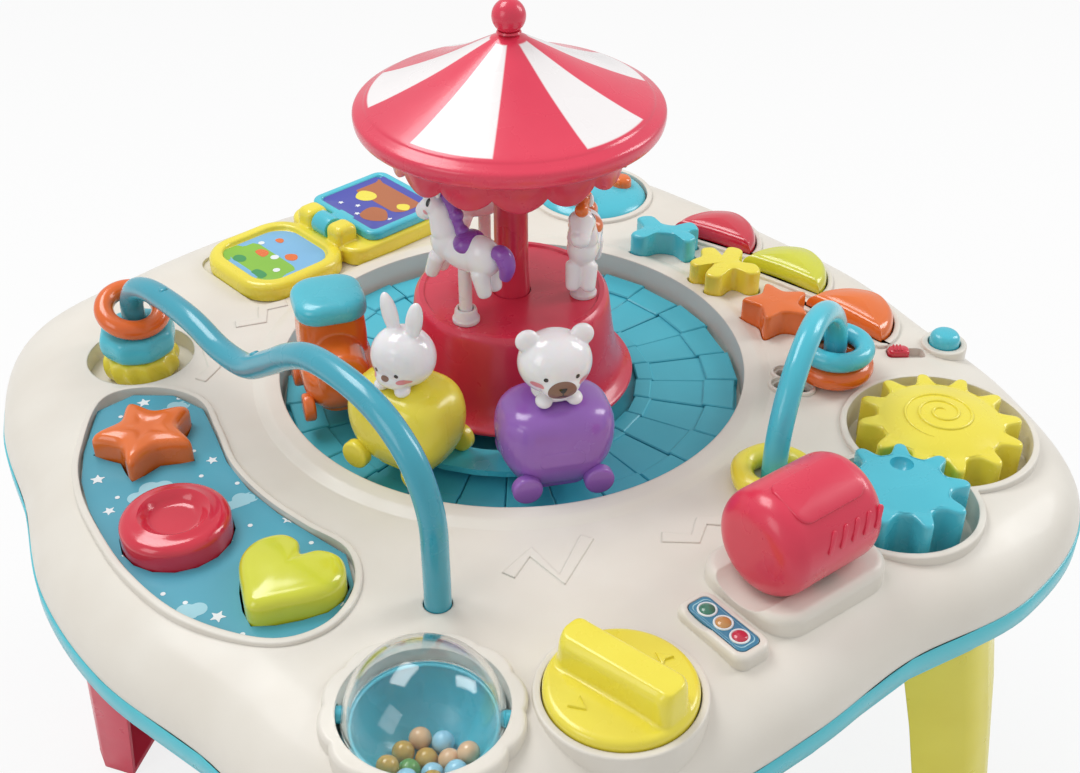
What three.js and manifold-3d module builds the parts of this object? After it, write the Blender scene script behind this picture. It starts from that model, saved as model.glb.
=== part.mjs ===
// A baby activity table: a lobed play top on four legs, with a carousel and train in the
// middle and gears, buttons, beads, a book and other things to turn and push around it.
// Millimetres, +Z up, the floor at z = 0. Placed by its box: the middle of it is x = y = 0.
import * as THREE from "three";
import { mergeVertices } from "three/addons/utils/BufferGeometryUtils.js";
import Module from "manifold-3d";

const wasm = await Module();
wasm.setup();

// Fits shared by all pieces
const GAP = 0.3;
const RUNNING_GAP = 0.5;
const WALL = 2.6;
const OVERRUN = 4;
const MERGE_TOLERANCE = 0.001;

// Play top: its radius, its height over the floor and its rounded border
const TABLE_RADIUS = 200;
const TOP_Z = 268;
const BORDER_WIDTH = 34;
const BORDER_DROP = 22;
const RIM_BAND = 10;
const HOUSING_DEPTH = 44;
const LIP_HEIGHT = 1.6;
const STATION_ROOT = 16;
const OUTLINE_STEPS = 48;
const OUTLINE_SHARES = [
  0.953, 0.94, 0.982, 1.052, 1.018, 0.97, 0.979, 0.995, 1.04, 1.115, 1.056, 0.98,
  0.988, 0.997, 1.01, 1.105, 1.065, 1.025, 0.977, 0.969, 1.077, 1.137, 1.062, 0.975,
];

// Where things stand on the top, as shares of its radius, from the middle of the turntable
const TABLE_SHARE = [-0.035, -0.06];
const STAR_SHARE = [-0.745, 0.115];
const ROUND_SHARE = [-0.785, -0.155];
const HEART_SHARE = [-0.675, -0.39];
const KEY_SHARES = [
  [0.695, 0.2],
  [0.73, -0.02],
  [0.735, -0.24],
];
const BLOCK_SHARES = [
  [0.54, 0.215],
  [0.57, 0.02],
  [0.565, -0.165],
];
const SWITCH_SHARE = [0.725, -0.4];
const MODE_SHARE = [0.815, -0.42];
const GRILLE_SHARE = [0.455, -0.36];
const SUN_SHARE = [0.59, -0.64];
const ROLLER_SHARE = [0.09, -0.81];
const LIGHT_SHARE = [-0.102, -0.86];
const KNOB_SHARE = [-0.32, -0.885];
const BALL_SHARE = [-0.605, -0.76];
const BOOK_SHARE = [-0.12, 0.652];
const SPINNER_SHARE = [0.54, 0.53];
const LEFT_TUBE_SHARES = [
  [-0.472, -0.557],
  [-0.655, 0.424],
];
const RIGHT_TUBE_SHARES = [
  [0.213, -0.597],
  [0.538, -0.382],
];
const PANEL_SHARES = [
  [-0.86, 0.165],
  [-0.775, 0.3],
  [-0.675, 0.285],
  [-0.612, 0.2],
  [-0.618, 0.09],
  [-0.632, -0.03],
  [-0.618, -0.15],
  [-0.585, -0.26],
  [-0.548, -0.36],
  [-0.58, -0.455],
  [-0.66, -0.51],
  [-0.755, -0.49],
  [-0.85, -0.37],
  [-0.895, -0.22],
  [-0.905, -0.06],
  [-0.895, 0.06],
];

// Turntable well and its track
const WELL_RADIUS = 96;
const WELL_DEPTH = 14;
const TRACK_GAP = 1.6;
const TRACK_BASE = 2.6;
const PLANKS = 28;
const PLANK_RISE = 3.2;
const PLANK_TILT = 1.4;
const PLANK_STEP_SHARE = 0.8;
const PLANK_STAGGER = 2.2;

// Carousel: hub, drum, column and roof
const HUB_RADIUS = 9;
const RUNNER_DROP = 4.6;
const RUNNER_THICKNESS = 2.6;
const RUNNER_INNER = 58;
const RUNNER_OUTER = 71;
const SPOKE_WIDTH = 12;
const DRUM_RADIUS = 50;
const DRUM_HEIGHT = 38;
const DRUM_SHARES = [
  [1, 0],
  [0.93, 0.08],
  [0.86, 0.28],
  [0.82, 0.6],
  [0.785, 0.93],
  [0.74, 1],
];
const DRUM_LINING_SHARES = [
  [1, 0],
  [0.86, 0.28],
];
const DRUM_NECK_SHARE = 0.785;
const COLUMN_RADIUS = 7.4;
const COLUMN_WALL = 2;
const COLUMN_SIDES = 16;
const ROOF_RADIUS = 58.5;
const ROOF_RIM_Z = 110;
const ROOF_HEIGHT = 34;
const ROOF_SHARES = [
  [0.955, 0],
  [1, 0.1],
  [0.99, 0.2],
  [0.93, 0.275],
  [0.78, 0.36],
  [0.6, 0.5],
  [0.42, 0.65],
  [0.2, 0.86],
  [0.06, 1],
];
const ROOF_LINING_SHARES = [
  [0.99, 0.2],
  [0.78, 0.36],
  [0.2, 0.86],
];
const ROOF_FOOT_SHARE = 0.955;
const SKIRT_RADIUS = 45;
const SKIRT_DROP = 16;
const SKIRT_SCALLOP = 5;
const SKIRT_SCALLOPS = 14;
const FINIAL_RADIUS = 6.3;

// Horses on their posts
const HORSES = 3;
const HORSE_RING = 29;
const HORSE_LENGTH = 38;
const HORSE_WIDTH = 12;
const HORSE_TURN = 202;
const HORSE_POST = 2.6;
const COLLAR_RADIUS = 4.8;
const COLLAR_HEIGHT = 5;
const HORSE_LIFTS = [14, 7, 10];

// Train cars, which stand on the runner
const CAR_RING = 73;
const LOCO_ANGLE = 166;
const YELLOW_ANGLE = 207;
const PURPLE_ANGLE = 252;
const CAR_LENGTH = 43;
const CAR_WIDTH = 31;
const CAR_HEIGHT = 31;
const CAR_EDGE = 8;
const CAR_WHEEL = 6.5;
const CAR_WHEEL_WIDTH = 5;
const LOCO_LENGTH = 40;
const LOCO_HEIGHT = 32;
const CAB_HEIGHT = 15;
const HEAD_RADIUS = 13.5;
const BEAR_RISE = 4;

// Buttons and keys
const BUTTON_FLANGE = 1.2;
const BUTTON_TRAVEL = 3;
const STAR_RADIUS_SHARE = 0.1025;
const STAR_RADIUS = TABLE_RADIUS * STAR_RADIUS_SHARE;
const ROUND_RADIUS_SHARE = 0.1;
const ROUND_RADIUS = TABLE_RADIUS * ROUND_RADIUS_SHARE;
const HEART_RADIUS_SHARE = 0.0975;
const HEART_RADIUS = TABLE_RADIUS * HEART_RADIUS_SHARE;
const BUTTON_RISE = 9;
const BUTTON_EDGE = 5;
const BUTTON_HOLLOW_SHARE = 0.55;
const DISH_DEPTH = 2.4;
const PANEL_DEPTH = 3.4;
const PANEL_THICKNESS = 2;
const KEY_LENGTH = 40;
const KEY_WIDTH = 23;
const KEY_RISE = 9;
const KEY_EDGE = 6;
const KEY_TURNS = [26, 20, 12];
const KEY_SLEEVE = 7;
const MODE_SLEEVE = 15;
const MODE_RADIUS = 6.4;
const MODE_RISE = 7;
const SWITCH_LENGTH = 9;
const SWITCH_WIDTH = 6;
const SWITCH_RISE = 3;
const SWITCH_TRAVEL = 6;
const SWITCH_TURN = -30;
const SLOT_DEPTH = 4;

// Blocks that lift out of shallow pockets
const BLOCK_RADIUS = 15;
const BLOCK_HEIGHT = 15;
const BLOCK_DEPTH = 4;
const BLOCK_EDGE = 2;

// Gears
const SUN_TEETH = 12;
const SUN_PITCH_SHARE = 0.143;
const SUN_PITCH = TABLE_RADIUS * SUN_PITCH_SHARE;
const TOOTH_HEIGHT = 3;
const GEAR_WELL_DEPTH = 12;
const GEAR_WELL_GAP = 4;
const SUN_RISE = 6;
const SUN_DOME = 4;
const MATE_RISE = 10;
const MATE_ANGLE = 210;
const GEAR_PIN = 4;
const GEAR_EDGE = 1.6;
const DIMPLE_RADIUS = 4.5;
const DIMPLE_DEPTH = 5;

// Roller in its cradle, and the traffic light
const ROLLER_RADIUS_SHARE = 0.0975;
const ROLLER_RADIUS = TABLE_RADIUS * ROLLER_RADIUS_SHARE;
const ROLLER_LENGTH_SHARE = 0.235;
const ROLLER_LENGTH = TABLE_RADIUS * ROLLER_LENGTH_SHARE;
const ROLLER_EDGE = 8;
const ROLLER_CENTRE = 23;
const ROLLER_ROCK = 40;
const ROLLER_TURN = 6;
const AXLE_RADIUS = 3;
const AXLE_SEAT = 5;
const WEB_LENGTH = 9;
const WEB_WIDTH = 10;
const CRADLE_RISE = 7;
const CRADLE_CORNER = 9;
const LIGHT_LENGTH = 27;
const LIGHT_WIDTH = 9.5;
const LIGHT_TURN = -84;
const LIGHT_RISE = 4;
const LIGHT_PLATE = 1.2;

// Knob, rattle ball, spinner
const KNOB_RADIUS = 25;
const KNOB_RISE = 5;
const KNOB_GRIP_RISE = 12;
const KNOB_GRIP_WIDTH = 15;
const KNOB_TURN = -75;
const KNOB_SEAT = 3;
const BALL_RADIUS = 26;
const BALL_WALL = 1.8;
const BALL_CENTRE = -2;
const BALL_WELL_GAP = 1.4;
const BALL_PIVOT = 3;
const BALL_TURN = -33;
const PETALS = 12;
const PETAL_WIDTH = 5.5;
const BEAD_RADIUS = 4.2;
const SPINNER_RADIUS = 27;
const SPINNER_RISE = 5;
const SPINNER_DEPTH = 6;
const PEGS = 3;
const PEG_RADIUS = 5;
const PEG_RING = 15;
const PEG_RISE = 9;

// Book with one page that turns
const BOOK_TURN = 12;
const BOOK_WING = 56;
const BOOK_DEPTH = 54;
const BOOK_CORNER = 9;
const BOOK_RISE = 7;
const BOOK_SEAT = 1.5;
const PAGE_THICKNESS = 4;
const KNUCKLE_RADIUS = 5.5;
const KNUCKLE_LENGTH = 11;
const HINGE_PIN = 1.8;

// Bead tubes and rings
const TUBE_RADIUS = 4.6;
const TUBE_SEAT = 9;
const TUBE_SIDES = 8;
const LEFT_TUBE_RISE = 69;
const LEFT_TUBE_STEPS = 26;
const LEFT_TUBE_PATH_SHARES = [
  [0, 0],
  [0, 0.28],
  [0.005, 0.54],
  [0.04, 0.77],
  [0.09, 0.9],
  [0.16, 0.98],
  [0.25, 1],
  [0.33, 0.97],
  [0.395, 0.88],
  [0.47, 0.73],
  [0.55, 0.59],
  [0.64, 0.56],
  [0.74, 0.61],
  [0.83, 0.61],
  [0.91, 0.58],
  [0.97, 0.5],
  [0.998, 0.38],
  [1, 0.26],
  [1, 0.1],
];
const RIGHT_TUBE_RISE = 50;
const RIGHT_TUBE_STEPS = 14;
const RIGHT_TUBE_PATH_SHARES = [
  [0, 0],
  [0.005, 0.38],
  [0.1, 0.7],
  [0.28, 0.93],
  [0.47, 1],
  [0.68, 0.9],
  [0.88, 0.66],
  [0.99, 0.35],
  [1, 0],
];
const RING_WELL_RADIUS = 22;
const RING_WELL_DEPTH = 8;
const RING_RADIUS = 11.4;
const RING_SECTION = 4.3;
const WIDE_RING_RADIUS = 12;
const WIDE_RING_SECTION = 4.8;
const BAND_RING_RADIUS = 16;
const BAND_RING_HEIGHT = 11;
const RING_SIDES = 12;

// Legs
const LEG_ANGLES = [135, -45, -135, 45];
const LEG_WIDTH = 84;
const LEG_DEPTH = 38;
const LEG_WALL = 3;
const LEG_TOP_SHARE = 1;
const LEG_TOP_RADIUS = TABLE_RADIUS * LEG_TOP_SHARE;
const LEG_SPLAY = 27;
const LEG_TAPER_SHARE = 0.3;
const LEG_STEPS = 3;
const LEG_PLUG = 12;
const LEG_PLUG_LENGTH = 44;
const LEG_PLUG_WIDTH = 16;
const LEG_SECTION_SHARES = [
  [-1, -0.5],
  [-0.35, -0.47],
  [-0.08, -0.33],
  [0, 0],
  [-0.08, 0.33],
  [-0.35, 0.47],
  [-1, 0.5],
];

// Inner works and the battery door
const MOTOR_RADIUS = 17;
const MOTOR_SHARE = [0, 0];
const SPEAKER_RADIUS = 20;
const SPEAKER_HEIGHT = 10;
const BOARD_LENGTH = 62;
const BOARD_WIDTH = 40;
const BOARD_THICKNESS = 1.6;
const BOARD_SHARE = [-0.02, -0.48];
const STANDOFF_RADIUS = 3;
const STANDOFF_HEIGHT = 5;
const DOOR_LENGTH = 74;
const DOOR_WIDTH = 60;
const DOOR_SHARE = [-0.05, 0.42];
const DOOR_CORNER = 5;
const BATTERY_DEPTH = 18;

// Sizes that follow from the ones above
const RIM_Z = TOP_Z - BORDER_DROP;
const UNDER_Z = TOP_Z - HOUSING_DEPTH;
const FLOOR_IN_Z = UNDER_Z + WALL;
const WELL_FLOOR_Z = TOP_Z - WELL_DEPTH;
const TRACK_RADIUS = WELL_RADIUS - TRACK_GAP;
const RUNNER_Z = TOP_Z - RUNNER_DROP;
const RUNNER_TOP_Z = RUNNER_Z + RUNNER_THICKNESS;
const DRUM_Z = RUNNER_TOP_Z + GAP;
const DRUM_TOP_Z = DRUM_Z + DRUM_HEIGHT;
const ROOF_Z = TOP_Z + ROOF_RIM_Z;
const ROOF_TOP_Z = ROOF_Z + ROOF_HEIGHT;
const TUBE_WELL = TUBE_RADIUS + RUNNING_GAP;
const MATE_TEETH = Math.round(SUN_TEETH * 0.75);
const MATE_PITCH = (SUN_PITCH * MATE_TEETH) / SUN_TEETH;

const degrees = THREE.MathUtils.degToRad;
const placeOf = ([x, y]) => [x * TABLE_RADIUS, y * TABLE_RADIUS];
const tableCentre = placeOf(TABLE_SHARE);

// Solids: every form is a closed BufferGeometry, joined and cut as a solid body
function solidOf(geometry) {
  const plain = geometry.clone();
  plain.deleteAttribute("normal");
  plain.deleteAttribute("uv");
  const merged = mergeVertices(plain, MERGE_TOLERANCE);
  return new wasm.Manifold(
    new wasm.Mesh({
      numProp: 3,
      vertProperties: merged.getAttribute("position").array,
      triVerts: new Uint32Array(merged.index.array),
    }),
  );
}

function geometryOf(solid) {
  const mesh = solid.getMesh();
  const geometry = new THREE.BufferGeometry();
  const points = new Float32Array(mesh.vertProperties);
  geometry.setAttribute("position", new THREE.BufferAttribute(points, 3));
  geometry.setIndex([...mesh.triVerts]);
  return geometry;
}

function join(...forms) {
  return geometryOf(forms.map(solidOf).reduce((a, b) => a.add(b)));
}

function cut(form, ...tools) {
  return geometryOf(tools.map(solidOf).reduce((a, b) => a.subtract(b), solidOf(form)));
}

function common(form, ...others) {
  return geometryOf(others.map(solidOf).reduce((a, b) => a.intersect(b), solidOf(form)));
}

// Forms about their own origin, standing on z = 0 unless said otherwise
function turnedForm(profile, segments = 24) {
  const points = profile.map(([r, z]) => new THREE.Vector2(Math.max(r, 0), z));
  return new THREE.LatheGeometry(points, segments).rotateX(Math.PI / 2);
}

function disc(radius, bottom, top, segments = 16) {
  return turnedForm(
    [
      [0, bottom],
      [radius, bottom],
      [radius, top],
      [0, top],
    ],
    segments,
  );
}

function tubeForm(inner, outer, bottom, top, segments = 24) {
  return turnedForm(
    [
      [inner, bottom],
      [outer, bottom],
      [outer, top],
      [inner, top],
      [inner, bottom],
    ],
    segments,
  );
}

function prism(shape, bottom, top, curveSegments = 1) {
  const settings = { depth: top - bottom, bevelEnabled: false, curveSegments };
  return new THREE.ExtrudeGeometry(shape, settings).translate(0, 0, bottom);
}

// A prism whose top edge is rounded over by edge outwards and drop downwards, cut flat below
function pillow(shape, bottom, top, edge, drop = edge, bevelSegments = 2, curveSegments = 1) {
  const settings = {
    depth: top - bottom - drop + OVERRUN,
    bevelThickness: drop,
    bevelSize: edge,
    bevelOffset: -edge,
    bevelSegments,
    curveSegments,
  };
  const form = new THREE.ExtrudeGeometry(shape, settings).translate(0, 0, bottom - OVERRUN);
  const below = prism(rectangle(TABLE_RADIUS, TABLE_RADIUS, WALL), bottom - 2 * OVERRUN - drop, bottom);
  return cut(form, below);
}

// A prism drawn in towards its own middle at the top, for outlines with points and notches
function domed(shape, size, bottom, top, edge, drop = edge, rounds = 2) {
  const steps = rounds + 1;
  const form = new THREE.ExtrudeGeometry(shape, { depth: steps, steps, bevelEnabled: false });
  return bent(form, (p) => {
    const level = Math.round(p.z);
    const angle = (Math.PI / 2) * (Math.max(level - 1, 0) / rounds);
    const draw = 1 - (edge / size) * (1 - Math.cos(angle));
    const z = level === 0 ? bottom : top - drop + drop * Math.sin(angle);
    p.set(p.x * draw, p.y * draw, z);
  });
}

function bent(form, change) {
  const place = form.getAttribute("position");
  const p = new THREE.Vector3();
  for (let i = 0; i < place.count; i++) {
    p.fromBufferAttribute(place, i);
    change(p);
    place.setXYZ(i, p.x, p.y, p.z);
  }
  return form;
}

function ball(radius, x, y, z, stretch = [1, 1, 1], sides = 12) {
  const form = new THREE.SphereGeometry(radius, sides, Math.round(sides * 0.64));
  return form.rotateX(Math.PI / 2).scale(...stretch).translate(x, y, z);
}

// A round bar from one point to another, which may taper
function limb(from, to, startRadius, endRadius, sides = 6) {
  const start = new THREE.Vector3(...from);
  const way = new THREE.Vector3(...to).sub(start);
  const up = new THREE.Vector3(0, 1, 0);
  const turn = new THREE.Quaternion().setFromUnitVectors(up, way.clone().normalize());
  const form = new THREE.CylinderGeometry(endRadius, startRadius, way.length(), sides);
  const middle = start.clone().addScaledVector(way, 0.5);
  return form.applyQuaternion(turn).translate(middle.x, middle.y, middle.z);
}

// Flat outlines
function polarShape(steps, radiusAt) {
  const points = [];
  for (let i = 0; i < steps; i++) {
    const angle = (2 * Math.PI * i) / steps;
    const radius = radiusAt(angle);
    points.push(new THREE.Vector2(radius * Math.cos(angle), radius * Math.sin(angle)));
  }
  return new THREE.Shape(points);
}

const circle = (radius, steps = 20) => polarShape(steps, () => radius);

function rectangle(length, width, corner) {
  const x = length / 2 - corner;
  const y = width / 2 - corner;
  const shape = new THREE.Shape();
  shape.absarc(x, y, corner, 0, Math.PI / 2);
  shape.absarc(-x, y, corner, Math.PI / 2, Math.PI);
  shape.absarc(-x, -y, corner, Math.PI, 1.5 * Math.PI);
  shape.absarc(x, -y, corner, 1.5 * Math.PI, 2 * Math.PI);
  return shape;
}

// A smooth closed outline through places given as shares of a size, grown by a clearance
function smoothShape(shares, size, grow = 0, steps = 25) {
  const places = shares.map(([x, y]) => new THREE.Vector3(x * size, y * size, 0));
  const curve = new THREE.CatmullRomCurve3(places, true);
  const points = [];
  for (let i = 0; i < steps; i++) {
    const at = curve.getPoint(i / steps);
    const along = curve.getTangent(i / steps);
    const side = new THREE.Vector2(along.y, -along.x).multiplyScalar(grow * turnOf(shares));
    points.push(new THREE.Vector2(at.x + side.x, at.y + side.y));
  }
  return new THREE.Shape(points);
}

// +1 for an outline listed anticlockwise and -1 for a clockwise one
function turnOf(shares) {
  const area = shares.reduce((sum, [x, y], i) => {
    const [nextX, nextY] = shares[(i + 1) % shares.length];
    return sum + x * nextY - nextX * y;
  }, 0);
  return Math.sign(area);
}

function starShares(tips, waistShare, turn = 90) {
  const shares = [];
  for (let i = 0; i < tips * 2; i++) {
    const angle = degrees(turn) + (Math.PI * i) / tips;
    const reach = i % 2 ? waistShare : 1;
    shares.push([reach * Math.cos(angle), reach * Math.sin(angle)]);
  }
  return shares;
}

const HEART_OUTLINE_SHARES = [
  [0, -1],
  [0.5, -0.62],
  [0.93, -0.1],
  [0.98, 0.42],
  [0.68, 0.8],
  [0.3, 0.8],
  [0, 0.52],
  [-0.3, 0.8],
  [-0.68, 0.8],
  [-0.98, 0.42],
  [-0.93, -0.1],
  [-0.5, -0.62],
];

const HALF_MOON_SHARES = [
  [-0.44, -1],
  [-0.5, -0.92],
  [-0.46, 0],
  [-0.5, 0.92],
  [-0.44, 1],
  [-0.1, 0.94],
  [0.28, 0.68],
  [0.52, 0.32],
  [0.6, 0],
  [0.52, -0.32],
  [0.28, -0.68],
  [-0.1, -0.94],
];

const BUTTERFLY_SHARES = [
  [0.98, 0.28],
  [0.72, 0.62],
  [0.3, 0.3],
  [-0.2, 0.32],
  [-0.6, 0.72],
  [-1, 0.52],
  [-0.72, 0],
  [-1, -0.52],
  [-0.6, -0.72],
  [-0.2, -0.32],
  [0.3, -0.3],
  [0.72, -0.62],
  [0.98, -0.28],
  [0.74, 0],
];

const PLANE_SHARES = [
  [1.05, 0],
  [0.82, 0.3],
  [0.3, 0.26],
  [0.12, 0.9],
  [-0.32, 0.9],
  [-0.34, 0.3],
  [-0.72, 0.62],
  [-1.02, 0.42],
  [-0.86, 0],
  [-1.02, -0.42],
  [-0.72, -0.62],
  [-0.34, -0.3],
  [-0.32, -0.9],
  [0.12, -0.9],
  [0.3, -0.26],
  [0.82, -0.3],
];

// The table's outline: its radius, as a share, at an angle about the table's centre
function outlineShare(angle) {
  const count = OUTLINE_SHARES.length;
  const turn = (((angle / (2 * Math.PI)) % 1) + 1) % 1;
  const step = turn * count;
  const i = Math.floor(step) % count;
  const t = step - Math.floor(step);
  const at = (k) => OUTLINE_SHARES[(i + k + count) % count];
  const slope = (k) => (at(k + 1) - at(k - 1)) / 2;
  const a = 2 * at(0) - 2 * at(1) + slope(0) + slope(1);
  const b = 3 * at(1) - 3 * at(0) - 2 * slope(0) - slope(1);
  return a * t ** 3 + b * t ** 2 + slope(0) * t + at(0);
}

// Turns a round form into one that follows the table's outline
function lobed(form) {
  bent(form, (p) => {
    const share = outlineShare(Math.atan2(p.y, p.x));
    p.set(p.x * share, p.y * share, p.z);
  });
  return form.translate(tableCentre[0], tableCentre[1], 0);
}

// The rounded border from the flat top down to the rim, set in by an inset
function borderProfile(inset) {
  const steps = inset ? 2 : 4;
  const profile = [];
  for (let i = 0; i <= steps; i++) {
    const angle = (Math.PI / 2) * (i / steps);
    const r = TABLE_RADIUS - BORDER_WIDTH + (BORDER_WIDTH - inset) * Math.cos(angle);
    const z = RIM_Z + (BORDER_DROP - inset) * Math.sin(angle);
    profile.push([r, z]);
  }
  return profile;
}

// Top shell
function topSkin() {
  const inner = borderProfile(WALL).reverse();
  const profile = [[0, TOP_Z - WALL], ...inner, ...borderProfile(0), [0, TOP_Z]];
  return lobed(turnedForm(profile, OUTLINE_STEPS));
}

// A pocket sunk in the top: its wall, which may stand up as a lip, and what is cut away
function pocket(shapeOf, depth, lip = 0, at = [0, 0], turn = 0, root = WALL) {
  const put = (form) => form.rotateZ(degrees(turn)).translate(at[0], at[1], 0);
  const top = TOP_Z + (lip || -WALL / 2);
  const wall = put(prism(shapeOf(WALL), TOP_Z - depth - root, top));
  const hollow = put(prism(shapeOf(0), TOP_Z - depth, TOP_Z + LIP_HEIGHT + OVERRUN));
  return { add: [wall], hollow };
}

const starAt = placeOf(STAR_SHARE);
const roundAt = placeOf(ROUND_SHARE);
const heartAt = placeOf(HEART_SHARE);
const sunAt = placeOf(SUN_SHARE);
const mateAt = [
  sunAt[0] + (SUN_PITCH + MATE_PITCH) * Math.cos(degrees(MATE_ANGLE)),
  sunAt[1] + (SUN_PITCH + MATE_PITCH) * Math.sin(degrees(MATE_ANGLE)),
];
const rollerAt = placeOf(ROLLER_SHARE);
const lightAt = placeOf(LIGHT_SHARE);
const knobAt = placeOf(KNOB_SHARE);
const ballAt = placeOf(BALL_SHARE);
const bookAt = placeOf(BOOK_SHARE);
const spinnerAt = placeOf(SPINNER_SHARE);
const leftFeet = LEFT_TUBE_SHARES.map(placeOf);
const rightFeet = RIGHT_TUBE_SHARES.map(placeOf);
const doorAt = placeOf(DOOR_SHARE);
const boardAt = placeOf(BOARD_SHARE);
const speakerAt = placeOf(GRILLE_SHARE);
const switchAt = placeOf(SWITCH_SHARE);
const modeAt = placeOf(MODE_SHARE);

const starShape = (grow) => smoothShape(starShares(5, 0.62), STAR_RADIUS, grow, 20);
const roundShape = (grow) => circle(ROUND_RADIUS + grow, 16);
const heartShape = (grow) => smoothShape(HEART_OUTLINE_SHARES, HEART_RADIUS, grow, 18);
const panelShape = (grow) => smoothShape(PANEL_SHARES, TABLE_RADIUS, grow, 20);
const modeShape = (grow) => circle(MODE_RADIUS + grow, 10);

function keyShape(grow) {
  const shares = HALF_MOON_SHARES.map(([x, y]) => [(x * KEY_WIDTH) / KEY_LENGTH, y / 2]);
  return smoothShape(shares, KEY_LENGTH, grow, 12);
}

const blockShapes = [
  (grow) => smoothShape(BUTTERFLY_SHARES, BLOCK_RADIUS + grow * 1.5, 0, 14),
  (grow) => smoothShape(PLANE_SHARES, BLOCK_RADIUS + grow * 1.5, 0, 16),
  (grow) => smoothShape(starShares(5, 0.6), BLOCK_RADIUS + grow * 1.5, 0, 10),
];
const BLOCK_TURNS = [-45, -60, -20];

function gearShape(pitch, teeth, grow = 0) {
  const points = [];
  const tooth = [
    [-0.31, -1],
    [-0.1, 1],
    [0.1, 1],
    [0.31, -1],
  ];
  for (let i = 0; i < teeth; i++) {
    for (const [share, reach] of tooth) {
      const angle = (2 * Math.PI * (i + share)) / teeth;
      const radius = pitch + reach * TOOTH_HEIGHT + grow;
      points.push(new THREE.Vector2(radius * Math.cos(angle), radius * Math.sin(angle)));
    }
  }
  return new THREE.Shape(points);
}

const ROLLER_HALF = ROLLER_LENGTH / 2;
const CRADLE_LENGTH = ROLLER_LENGTH + 2 * AXLE_SEAT;
const CRADLE_WIDTH = 2 * ROLLER_RADIUS + AXLE_SEAT;
const ROLLER_Z = TOP_Z + ROLLER_CENTRE;
const AXLE_HALF = ROLLER_HALF - WALL - GAP;

// The cradle: a rounded bed under the barrel, with a web at its middle that holds the axle
function cradle() {
  const top = TOP_Z + CRADLE_RISE;
  const sunk = ROLLER_RADIUS + RUNNING_GAP;
  const bed = rectangle(CRADLE_LENGTH, CRADLE_WIDTH, CRADLE_CORNER);
  const block = pillow(bed, TOP_Z - WALL, top, CRADLE_RISE / 2, CRADLE_RISE / 2, 1);
  const hollow = limb([-CRADLE_LENGTH, 0, ROLLER_Z], [CRADLE_LENGTH, 0, ROLLER_Z], sunk, sunk, 16);
  const web = prism(rectangle(WEB_LENGTH, WEB_WIDTH, WALL), TOP_Z - WALL, ROLLER_Z);
  const boss = limb([-WEB_LENGTH / 2, 0, ROLLER_Z], [WEB_LENGTH / 2, 0, ROLLER_Z], WEB_WIDTH / 2, WEB_WIDTH / 2, 12);
  const axle = limb([-AXLE_HALF, 0, ROLLER_Z], [AXLE_HALF, 0, ROLLER_Z], AXLE_RADIUS, AXLE_RADIUS, 10);
  const put = (form) => form.rotateZ(degrees(ROLLER_TURN)).translate(rollerAt[0], rollerAt[1], 0);
  return { add: [block].map(put), remove: [hollow].map(put), last: [join(web, boss, axle)].map(put) };
}

// The ring of petals round the rattle ball, and the pivots that the ball turns on
const BALL_Z = TOP_Z + BALL_CENTRE;
const BALL_WELL = BALL_RADIUS + BALL_WELL_GAP;

function ballRing() {
  const petalled = polarShape(PETALS * 2, (angle) => {
    const wave = Math.abs(Math.sin((angle * PETALS) / 2));
    return BALL_WELL + PETAL_WIDTH / 2 + (PETAL_WIDTH / 2) * (1 + wave) * 0.5;
  });
  const ring = prism(petalled, TOP_Z - STATION_ROOT, TOP_Z + LIP_HEIGHT * 2);
  const outside = bowl(BALL_WELL + WALL);
  const inside = bowl(BALL_WELL);
  const well = common(outside, disc(BALL_WELL + WALL * 2, UNDER_Z, TOP_Z - WALL / 2));
  const throat = disc(BALL_WELL, BALL_Z, BALL_Z + BALL_RADIUS, 16);
  const reach = BALL_WELL + PETAL_WIDTH * 0.6;
  const bore = limb(
    [-reach, 0, BALL_Z],
    [reach, 0, BALL_Z],
    BALL_PIVOT + GAP,
    BALL_PIVOT + GAP,
    8,
  );
  const put = (form) => form.rotateZ(degrees(BALL_TURN)).translate(ballAt[0], ballAt[1], 0);
  return { add: [ring, well].map(put), remove: [inside, throat, bore].map(put) };
}

function bowl(radius) {
  const profile = [];
  const steps = 4;
  for (let i = 0; i <= steps; i++) {
    const angle = (-Math.PI / 2) * (1 - i / steps);
    profile.push([radius * Math.cos(angle), BALL_Z + radius * Math.sin(angle)]);
  }
  return turnedForm([...profile, [0, BALL_Z]], 16);
}

const BOOK_TOP_Z = TOP_Z + BOOK_RISE;

function bookOutline(grow) {
  return rectangle(2 * BOOK_WING + 2 * grow, BOOK_DEPTH + 2 * grow, BOOK_CORNER);
}

const LIGHT_BED = LIGHT_WIDTH / 2 + LIGHT_PLATE;

function lightBed() {
  const bed = rectangle(LIGHT_LENGTH + LIGHT_BED, LIGHT_WIDTH + LIGHT_BED, LIGHT_WIDTH / 3);
  const block = pillow(bed, TOP_Z - LIGHT_RISE * 2, TOP_Z + LIGHT_RISE, LIGHT_RISE / 2, LIGHT_RISE / 2, 1);
  const plate = lightPlate(GAP, TOP_Z + LIGHT_RISE - LIGHT_PLATE - GAP, TOP_Z + LIGHT_RISE + OVERRUN);
  const put = (form) => form.rotateZ(degrees(LIGHT_TURN)).translate(lightAt[0], lightAt[1], 0);
  return { add: [put(block)], remove: [put(plate)] };
}

function lightPlate(grow, bottom, top) {
  const plate = rectangle(LIGHT_LENGTH + 2 * grow, LIGHT_WIDTH + 2 * grow, LIGHT_WIDTH / 4);
  return prism(plate, bottom, top, 1);
}

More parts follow.
